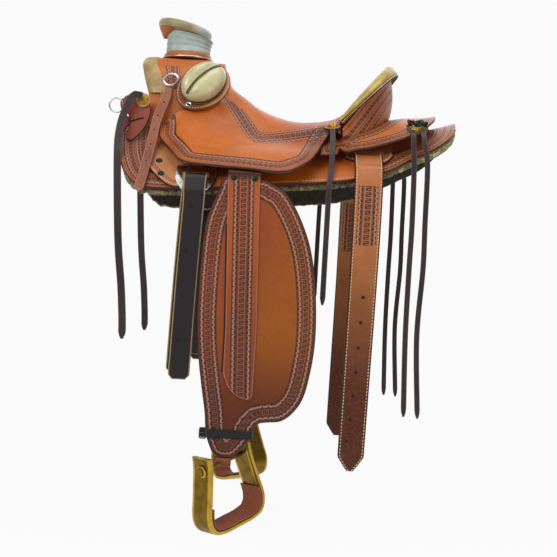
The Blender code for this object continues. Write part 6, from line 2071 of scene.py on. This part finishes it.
def make_hobble(label, side, body, look):
    """Black hobble strap round the fender's neck, with its buckle and keeper."""
    wall = 0.0030
    half_x, half_y, corner = HOBBLE_HALF_WIDTH, HOBBLE_ROOM + wall, 0.0032
    loop = []
    for cx, cy, start in ((1, 1, 0), (-1, 1, 90), (-1, -1, 180), (1, -1, 270)):
        for k in range(7):
            a = math.radians(start + 15 * k)
            loop.append((cx * (half_x - corner) + corner * math.cos(a), cy * (half_y - corner)
                         + corner * math.sin(a)))
    dense = []
    for i, (x, y) in enumerate(loop):
        nx, ny = loop[(i + 1) % len(loop)]
        steps = max(1, int(math.hypot(nx - x, ny - y) / 0.006))
        dense += [(x + (nx - x) * k / steps, y + (ny - y) * k / steps) for k in range(steps)]
    rows = 7
    n = len(dense)
    outer, inner = [], []
    for x, y in dense:
        shrink_x = (half_x - wall) / half_x
        shrink_y = HOBBLE_ROOM / half_y
        for j in range(rows):
            z = HOBBLE_Z + HOBBLE_HEIGHT * (j / (rows - 1) - 0.5)
            pull = 0.0065 * ease(0.0, 0.5, x / half_x)
            outer.append(Vector((HOBBLE_X + x - pull, FENDER_PLANE_Y + y, z)))
            inner.append(Vector((HOBBLE_X + x * shrink_x - pull, FENDER_PLANE_Y + y * shrink_y, z)))
    quads = [(i * rows + j, (i + 1) % n * rows + j, (i + 1) % n * rows + j + 1, i * rows + j + 1)
             for i in range(n) for j in range(rows - 1)]
    border = np.array([(0.0, HOBBLE_HEIGHT * min(j, rows - 1 - j) / (rows - 1)) for _ in range(n)
                       for j in range(rows)])
    made = sheet_solid("hobble_strap_bent_" + label, outer, inner, quads, look["hobble"], side,
                       {"border": border})
    settle(made, "hobble_strap_" + label, body)
    face = FENDER_PLANE_Y + half_y
    buckle = rounded_frame((HOBBLE_X - 0.049, face + 0.0008, HOBBLE_Z), 0.0065, 0.0100, 0.0030)
    made = tube("hobble_buckle_" + label, buckle, 0.0014, look["gunmetal"], side, 8, closed=True)
    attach(made, body)
    tongue = [Vector((HOBBLE_X - 0.054 + 0.0035 * k, face + 0.0016 + 0.0006 * math.sin(k), HOBBLE_Z))
              for k in range(5)]
    made = tube("hobble_buckle_tongue_" + label, tongue, 0.0011, look["gunmetal"], side, 8)
    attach(made, body)
    keeper = rounded_frame((HOBBLE_X - 0.028, face - 0.0010, HOBBLE_Z), 0.0026, 0.0096, 0.0018)
    made = tube("hobble_keeper_" + label, keeper, 0.0018, look["hobble"], side, 8, closed=True)
    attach(made, body)


def rounded_frame(centre, half_x, half_z, corner):
    line = []
    for cx, cz, start in ((1, 1, 0), (-1, 1, 90), (-1, -1, 180), (1, -1, 270)):
        for k in range(6):
            a = math.radians(start + 18 * k)
            line.append(Vector((centre[0] + cx * (half_x - corner) + corner * math.cos(a), centre[1],
                                centre[2] + cz * (half_z - corner) + corner * math.sin(a))))
    return line


def make_stirrups(look):
    """Brass-bound stirrup with bevelled bright edges, and its leather tread."""
    along, across, up = stirrup_frame()
    bolt = Vector(STIRRUP_BOLT)

    def place(x, z, y=0.0):
        return bolt + along * x + up * z + across * y

    coarse = stirrup_line()
    line = smooth_line(coarse, 120)
    columns = 15
    for label, side in SIDES:
        body = "stirrup_group_" + label
        outer, inner = [], []
        for k, p in enumerate(line):
            ahead = (line[min(k + 1, len(line) - 1)] - line[max(k - 1, 0)]).normalized()
            out = Vector((ahead.y, -ahead.x, 0))
            for j in range(columns):
                s = 2 * j / (columns - 1) - 1
                bevel = 0.0016 * max(0.0, (abs(s) - 0.80) / 0.20)
                rise = STIRRUP_WALL / 2 - bevel
                q = p + out * rise
                outer.append(place(q.x, q.y, s * STIRRUP_BAND / 2))
                q = p - out * rise
                inner.append(place(q.x, q.y, s * STIRRUP_BAND / 2))
        quads = grid_quads(len(line), columns)
        chosen = [1 if j in (0, 1, columns - 3, columns - 2) else 0 for _ in range(len(line) - 1)
                  for j in range(columns - 1)]
        made = sheet_solid("stirrup_bound_" + label, outer, inner, quads,
                           [look["stirrup"], look["stirrup_edge"]],
                           side, None, None, 0.12, chosen)
        for face in list(made.data.polygons)[2 * len(quads):]:
            face.material_index = 1
        settle(made, "stirrup_" + label, body)
        tread_out, tread_in = [], []
        kept = [k for k, p in enumerate(line) if p.y < -0.066]
        for k in kept:
            ahead = (line[k + 1] - line[k - 1]).normalized()
            inward = Vector((-ahead.y, ahead.x, 0))
            near = line[k] + inward * (STIRRUP_WALL / 2 + GAP)
            far = near + inward * TREAD_THICK
            for j in range(9):
                s = 2 * j / 8 - 1
                tread_in.append(place(near.x, near.y, s * (STIRRUP_BAND / 2 + 0.001)))
                tread_out.append(place(far.x, far.y, s * (STIRRUP_BAND / 2 + 0.001)))
        made = sheet_solid("stirrup_tread_wrapped_" + label, tread_out, tread_in, grid_quads(len(kept), 9),
                           look["tread"], side)
        settle(made, "stirrup_tread_" + label, body)
        spots = []
        for s in (-0.88, 0.88):
            for k in kept[3:-3:2]:
                ahead = (line[k + 1] - line[k - 1]).normalized()
                inward = Vector((-ahead.y, ahead.x, 0))
                q = line[k] + inward * (STIRRUP_WALL / 2 + GAP + TREAD_THICK)
                spots.append((place(q.x, q.y, s * STIRRUP_BAND / 2), along * ahead.x + up * ahead.y,
                              along * inward.x + up * inward.y))
        made = scatter("stirrup_lacing_" + label, spots, "bead", (0.0046, 0.0026, 0.0016), look["piping"],
                       side)
        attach(made, body)
        reach = STIRRUP_TOP_WIDTH / 2 * 1.03 + STIRRUP_WALL / 2 + 0.0036
        for tag, way in (("near", -1), ("far", 1)):
            made = turned_piece("stirrup_rosette_%s_%s" % (tag, label),
                                [(0.0, -0.001), (0.0125, -0.001), (0.0130, 0.0006), (0.0115, 0.0020),
                                 (0.0080, 0.0026),
                                 (0.0070, 0.0042), (0.0030, 0.0052), (0.0, 0.0054)], look["stirrup_edge"],
                                lambda x, y, h, way=way: bolt + along * (way * (reach - 0.0036 + 0.0009 + h))
                                + across * x + up * y, 32, side)
            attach(made, body)


def lobed_disc(name, centre, out, radius, lobes, depth, rings, finish, side):
    """Scalloped rosette or concho: rings of (share of the radius, height), with lobes round its rim."""
    place = frame_at(centre, out)
    segments = 96
    points = []
    for share, rise in rings:
        for k in range(segments):
            a = 2 * math.pi * k / segments
            lobe = 1 + depth * abs(math.sin(lobes * a / 2)) * share ** 2 - depth * share ** 2
            r = radius * share * lobe
            p = place(r * math.cos(a), r * math.sin(a), rise * (1 + 0.15 * math.cos(lobes * a) * share))
            points.append((p.x, p.y * side, p.z))
    faces = [tuple(reversed(range(segments)))]
    for i in range(len(rings) - 1):
        faces += [(i * segments + k, i * segments + (k + 1) % segments, (i + 1) * segments
                   + (k + 1) % segments,
                   (i + 1) * segments + k) for k in range(segments)]
    faces.append(tuple((len(rings) - 1) * segments + k for k in range(segments)))
    return piece(name, points, faces, finish, sharp=60)


CONCHO_LOBES = 12
ROSETTE_SHARE = 1.42
DISC = ((0.94, 0.0), (1.0, 0.0010), (1.0, 0.0022), (0.95, 0.0030), (0.5, 0.0030), (0.1, 0.0030))
DOME = ((0.94, 0.0), (1.0, 0.0006), (0.99, 0.0016), (0.86, 0.0020), (0.80, 0.0032), (0.62, 0.0044),
        (0.36, 0.0052),
        (0.12, 0.0055))


def make_concho(name, centre, out, radius, finish, rosette, side):
    """Concho on its scalloped leather rosette."""
    out = Vector(out).normalized()
    made = lobed_disc(name + "_rosette", centre, out, radius * ROSETTE_SHARE, CONCHO_LOBES + 2, 0.10, DISC,
                      rosette, side)
    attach(made, "saddle")
    made = lobed_disc(name, Vector(centre) + out * 0.0030, out, radius, CONCHO_LOBES, 0.06, DOME, finish,
                      side)
    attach(made, "saddle")


def make_front_fittings(look):
    """Near side fittings: rope strap and its buckle, breast ring and chape, and the latigo keeper."""
    hinge = Vector(ROPE_STRAP_ROUTE[0])
    line = smooth_line(ROPE_STRAP_ROUTE, 70)
    along = (Vector(ROPE_STRAP_ROUTE[-1]) - hinge).normalized()
    line.append(line[-1] + along * 0.003)
    line.append(line[-1] + along * 0.003)
    widths = [ROPE_STRAP_WIDTH * (0.55 + 0.45 * min(1.0, i / 6)) for i in range(70)]
    widths += [ROPE_STRAP_WIDTH * 0.8, ROPE_STRAP_WIDTH * 0.40]
    across = Vector((1, 0, 0)) - along * along.x
    made = strap("rope_strap_bent", line, widths, across, ROPE_STRAP_THICK, look["rope_strap"], LEFT)
    settle(made, "rope_strap", "rope_strap")
    spots = []
    for share in (0.16, 0.30, 0.44, 0.58, 0.74):
        i = int(share * 69)
        ahead = (line[i + 1] - line[i - 1]).normalized()
        face = ahead.cross(across).normalized()
        face = face if face.y > 0 else -face
        spots.append((line[i] + face * ROPE_STRAP_THICK / 2, ahead, face))
    made = scatter("rope_strap_hole_rims", spots, "ring", (0.0075, 0.0055, 0.0016), look["rope_strap"], LEFT)
    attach(made, "rope_strap")
    # Near-black discs in the holes: painted shade for their depth.
    made = scatter("rope_strap_hole_wells", spots, "stud", (0.0060, 0.0042, 0.0012), look["dark"], LEFT)
    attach(made, "rope_strap")
    ring = []
    lean = math.radians(18)
    tilt = math.radians(24)
    for k in range(64):
        a = 2 * math.pi * k / 64
        x0, z0 = (BUCKLE_WIDTH / 2 - BUCKLE_WIRE) * math.cos(a), (BUCKLE_HEIGHT / 2 - BUCKLE_WIRE) * math.sin(a)
        x, z = x0 * math.cos(tilt) - z0 * math.sin(tilt), x0 * math.sin(tilt) + z0 * math.cos(tilt)
        ring.append(Vector(ROPE_BUCKLE_CENTRE) + Vector((x, -z * math.tan(lean), z)))
    made = tube("rope_buckle_oval", ring, BUCKLE_WIRE * 1.25, look["steel"], LEFT, 12, closed=True)
    settle(made, "rope_buckle")
    middle = Vector(RING_CENTRE) + Vector((0.003, 0.0, -0.005))
    ring = [middle + Vector((RING_RADIUS * math.cos(a), 0, RING_RADIUS * math.sin(a)))
            for a in np.linspace(0, 2 * math.pi, 65)[:-1]]
    made = tube("breast_ring_round", ring, RING_WIRE, look["steel"], LEFT, 12, closed=True)
    settle(made, "breast_ring", "breast_ring")
    y = back_y(-0.319, 0.018, RIG_LOW + GAP) + 0.0028
    outline = [(p.x, p.y) for p in smooth_line([(x, z, 0) for x, z in KEEPER_OUTLINE], 160, closed=True)]
    made = flat_piece("latigo_keeper_cut", outline, y, KEEPER_THICK, look["keeper"], LEFT, cell=0.003)
    settle(made, "latigo_keeper")
    for tag, plane, shape in (
            ("breast_ring_chape", 0.1575, ((-0.3458, 0.0983), (-0.3400, 0.1040), (-0.3190, 0.1010),
                                           (-0.3180, 0.0850),
                                           (-0.3362, 0.0720), (-0.3450, 0.0850))),
            ("latigo_keeper_flap", y - 0.0044, ((-0.3425, 0.0695), (-0.3495, 0.0527), (-0.3535, 0.0380),
                                                (-0.3480, 0.0300), (-0.3324, 0.0417), (-0.3200, 0.0624)))):
        outline = [(p.x, p.y) for p in smooth_line([(x, z, 0) for x, z in shape], 90, closed=True)]
        made = flat_piece(tag, outline, plane, 0.0038, look["keeper"], LEFT, cell=0.003)
        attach(made, "saddle")
    # The slit is a near-black cord: painted shade inside the cut.
    slit = [Vector((x, y + KEEPER_THICK + 0.0002, z)) for x,
            z in ((-0.3250, 0.0560), (-0.3140, 0.0600), (-0.3020, 0.0640),
                                                                   (-0.2960, 0.0655))]
    made = tube("latigo_keeper_slit", smooth_line(slit, 12), 0.0016, look["dark"], LEFT, 8)
    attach(made, "saddle")
    make_concho("keeper_concho", (-0.2990, y + KEEPER_THICK, 0.1015), (-0.05, 1, 0.1), 0.0108, look["brass"],
                look["tan_rosette"], LEFT)


def string_across(line, lay):
    across = []
    for k in range(len(line)):
        ahead = line[min(k + 1, len(line) - 1)] - line[max(k - 1, 0)]
        face = Vector((0.0, 1.0, 0.0)).lerp(Vector(lay), ease(0.0, 0.075, line[k].z))
        across.append(ahead.cross(face))
    return across


def make_string(name, node_name, route, count, width, side, look, lay=(0.0, 1.0, 0.0)):
    """Flat tie string: route is where it lies, from its exit down."""
    line = smooth_line(route, count * 3)
    widths = []
    for p in line:
        left = (line[-1] - p).length
        widths.append(width * min(1.0, 0.35 + left / STRING_POINT))
    made = strap(name, line, widths, string_across(line, lay), STRING_THICK, look["string"], side, columns=7)
    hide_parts(node_name)
    path = [(p.x, p.y * side, p.z) for p in smooth_line(route, count)]
    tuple(path[0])
    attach(made, "saddle")
    return made


def make_strings(look):
    """Tie strings, which come first."""
    for label, side in SIDES:
        make_string("front_tie_string_" + label, "front_string_" + label, [Vector(p) for p in FRONT_STRING],
                    24,
                    FRONT_STRING_WIDTH, side, look)
        make_string("seat_tie_string_" + label, "seat_string_" + label,
                    [Vector(p) for p in seat_string_route()], 20,
                    STRING_WIDTH, side, look, (0.0, 0.70, 0.70))
        rear = [Vector(p) for p in REAR_STRING]
        middle = REAR_STRING.index(REAR_STRING_EXIT)
        first = rear[:middle + 1][::-1]
        second = rear[middle:]
        make_string("rear_tie_string_a_" + label, "rear_string_" + label, first, 24, STRING_WIDTH, side, look,
                    (0.0, 0.43, 0.90))
        make_string("rear_tie_string_b_" + label, "rear_string_" + label, second, 24, STRING_WIDTH, side,
                    look,
                    (0.0, 0.43, 0.90))


def make_conchos(look):
    """Conchos over the rear strings, with their knots, and beside the cantle's ends."""
    for label, side in SIDES:
        x = 0.2680
        y = 0.152
        lift = rear_jockey_lift(x) + JOCKEY_THICK
        spot = on_back(x, y, lift)
        out = on_back(x, y, lift + 0.01) - spot
        make_concho("rear_concho_" + label, spot + out * 0.32, out + Vector((0, 0.004, 0)), 0.0165,
                    look["brass"],
                    look["rosette"], side)
        place = frame_at(spot + out * 0.95, out)
        for k, (x0, y0, wide, high) in enumerate(((-0.010, 0.006, 0.009, 0.0050),
                                                  (0.009, 0.007, 0.010, 0.0055),
                                                  (0.0, 0.001, 0.007, 0.0060),
                                                  (0.001, 0.009, 0.012, 0.0045))):
            knot = [place(x0 + wide * math.cos(a), y0 + high * math.sin(a), 0.0035
                          + 0.0022 * math.sin(2 * a + k))
                    for a in np.linspace(0, 2 * math.pi, 33)[:-1]]
            made = tube("rear_concho_knot_%s_%d" % (label, k), knot, 0.0030, look["hobble"], side, 8,
                        closed=True)
            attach(made, "saddle")
        x, y = SEAT_STRING_TOP
        normal = seat_normal(x, y)
        spot = Vector((x, y, seat_low(x, y))) + normal * JOCKEY_THICK
        make_concho("seat_concho_" + label, spot + Vector((0.002, 0.010, -0.004)), normal, 0.0120,
                    look["brass"],
                    look["tan_rosette"], side)


def better_solids(frame, look):
    """CAD pieces whose shape is right take their real finish."""
    # The stirrup's run and hanger take the darker strap leather, painted shade under the jockey.
    chosen = {"tree_bar": "back_plain", "tree_fork": "collar", "tree_cantle": "back_plain",
              "ground_seat": "wood",
              "horn_post": "wood", "rig_plate": "steel", "stirrup_bolt": "stirrup",
              "stirrup_run": "strap_in_painted_shade",
              "stirrup_hanger": "strap_in_painted_shade"}
    for name, made in frame["nodes"].items():
        for start, finish in chosen.items():
            if name.startswith(start):
                made.data.materials.clear()
                made.data.materials.append(look[finish])


def make_camera():
    lens = bpy.data.cameras.new("camera")
    lens.lens = CAMERA_LENS
    lens.sensor_width = CAMERA_SENSOR
    made = bpy.data.objects.new("camera", lens)
    right = Vector((math.cos(CAMERA_ROLL), 0.0, math.sin(CAMERA_ROLL)))
    up = Vector((-math.sin(CAMERA_ROLL), 0.0, math.cos(CAMERA_ROLL)))
    back = Vector((0.0, -1.0, 0.0))
    turn = Matrix((right, up, back)).transposed().to_4x4()
    made.matrix_world = Matrix.Translation(CAMERA_PLACE) @ turn
    bpy.context.scene.collection.objects.link(made)
    bpy.context.scene.camera = made


def area_light(name, place, aim, size, power):
    lamp = bpy.data.lights.new(name, "AREA")
    lamp.shape = "RECTANGLE"
    lamp.size, lamp.size_y = size
    lamp.energy = power
    made = bpy.data.objects.new(name, lamp)
    made.location = place
    made.rotation_euler = (Vector(aim) - Vector(place)).to_track_quat("-Z", "Y").to_euler()
    bpy.context.scene.collection.objects.link(made)


def make_studio(low):
    """Pale floor and wall, and soft light: key in front on the left, top, fill on the right, weak back."""
    made = bare_material("studio_floor")
    tree = made.node_tree
    shade = node(tree, "ShaderNodeBsdfDiffuse", {"Color": colour("#E4E4E2")})
    glow = node(tree, "ShaderNodeEmission", {"Color": colour("#FFFFFF"), "Strength": 1.0})
    rays = node(tree, "ShaderNodeLightPath").outputs
    seen = maths(tree, "MAXIMUM", rays["Is Camera Ray"], rays["Is Glossy Ray"])
    both = node(tree, "ShaderNodeMixShader", {0: maths(tree, "MULTIPLY", seen, 0.93), 1: shade.outputs[0],
                                              2: glow.outputs[0]})
    node(tree, "ShaderNodeOutputMaterial", {"Surface": both.outputs[0]})
    wide = FLOOR_HALF
    points = [(-wide, FLOOR_FRONT_Y, low), (wide, FLOOR_FRONT_Y, low), (wide, CURVE_START_Y, low),
              (-wide, CURVE_START_Y, low)]
    faces = [(0, 1, 2, 3)]
    for k in range(1, 9):
        a = math.radians(90 * k / 8)
        y = CURVE_START_Y + CURVE_RADIUS * math.sin(a)
        z = low + CURVE_RADIUS - CURVE_RADIUS * math.cos(a)
        points += [(wide, y, z), (-wide, y, z)]
    wall_y = CURVE_START_Y + CURVE_RADIUS
    points += [(wide, wall_y, WALL_TOP_Z), (-wide, wall_y, WALL_TOP_Z)]
    last = (3, 2)
    for k in range(9):
        b, a = 4 + 2 * k, 5 + 2 * k
        faces.append((last[0], last[1], b, a))
        last = (a, b)
    mesh = bpy.data.meshes.new("studio_floor")
    mesh.from_pydata(points, [], faces)
    mesh.materials.append(made)
    mesh.shade_smooth()
    floor = bpy.data.objects.new("studio_floor", mesh)
    bpy.context.scene.collection.objects.link(floor)
    world = bpy.data.worlds.new("studio")
    bpy.context.scene.world = world
    world.use_nodes = True
    tree = world.node_tree
    tree.nodes.clear()
    sky = node(tree, "ShaderNodeBackground", {"Color": colour("#F4F5F7"), "Strength": 0.30})
    white = node(tree, "ShaderNodeBackground", {"Color": colour("#FFFFFF"), "Strength": 1.0})
    rays = node(tree, "ShaderNodeLightPath").outputs
    both = node(tree, "ShaderNodeMixShader", {0: rays["Is Camera Ray"], 1: sky.outputs[0],
                                              2: white.outputs[0]})
    node(tree, "ShaderNodeOutputWorld", {"Surface": both.outputs[0]})
    area_light("key", (-1.3, -2.1, 1.2), (0.0, 0.0, -0.1), (1.6, 1.2), 31)
    area_light("top", (0.2, -0.4, 2.0), (0.0, 0.0, 0.0), (1.8, 1.4), 20)
    area_light("fill", (1.8, -1.8, 0.2), (0.0, 0.0, -0.2), (1.2, 1.6), 10)
    area_light("back", (0.6, 2.0, 1.2), (0.0, 0.0, 0.0), (1.6, 1.2), 6)


def make_saddle():
    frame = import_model()
    bpy.context.scene.view_settings.view_transform = "Standard"
    cad_box = [list(p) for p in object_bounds()]
    make_camera()
    look = all_finishes()
    make_strings(look)
    make_conchos(look)
    cover = make_fork(look)
    make_horn(look)
    seat, edge_line = make_seat(look)
    make_seat_rise(seat, cover, edge_line, look)
    make_cantle(look)
    make_rear_jockeys(look)
    make_skirts(look)
    make_rolls(look)
    make_rigging(look)
    make_latigos(look)
    make_billets(look)
    make_fenders(look)
    make_stirrups(look)
    make_front_fittings(look)
    better_solids(frame, look)
    make_studio(cad_box[0][2] - 0.001)


make_saddle()
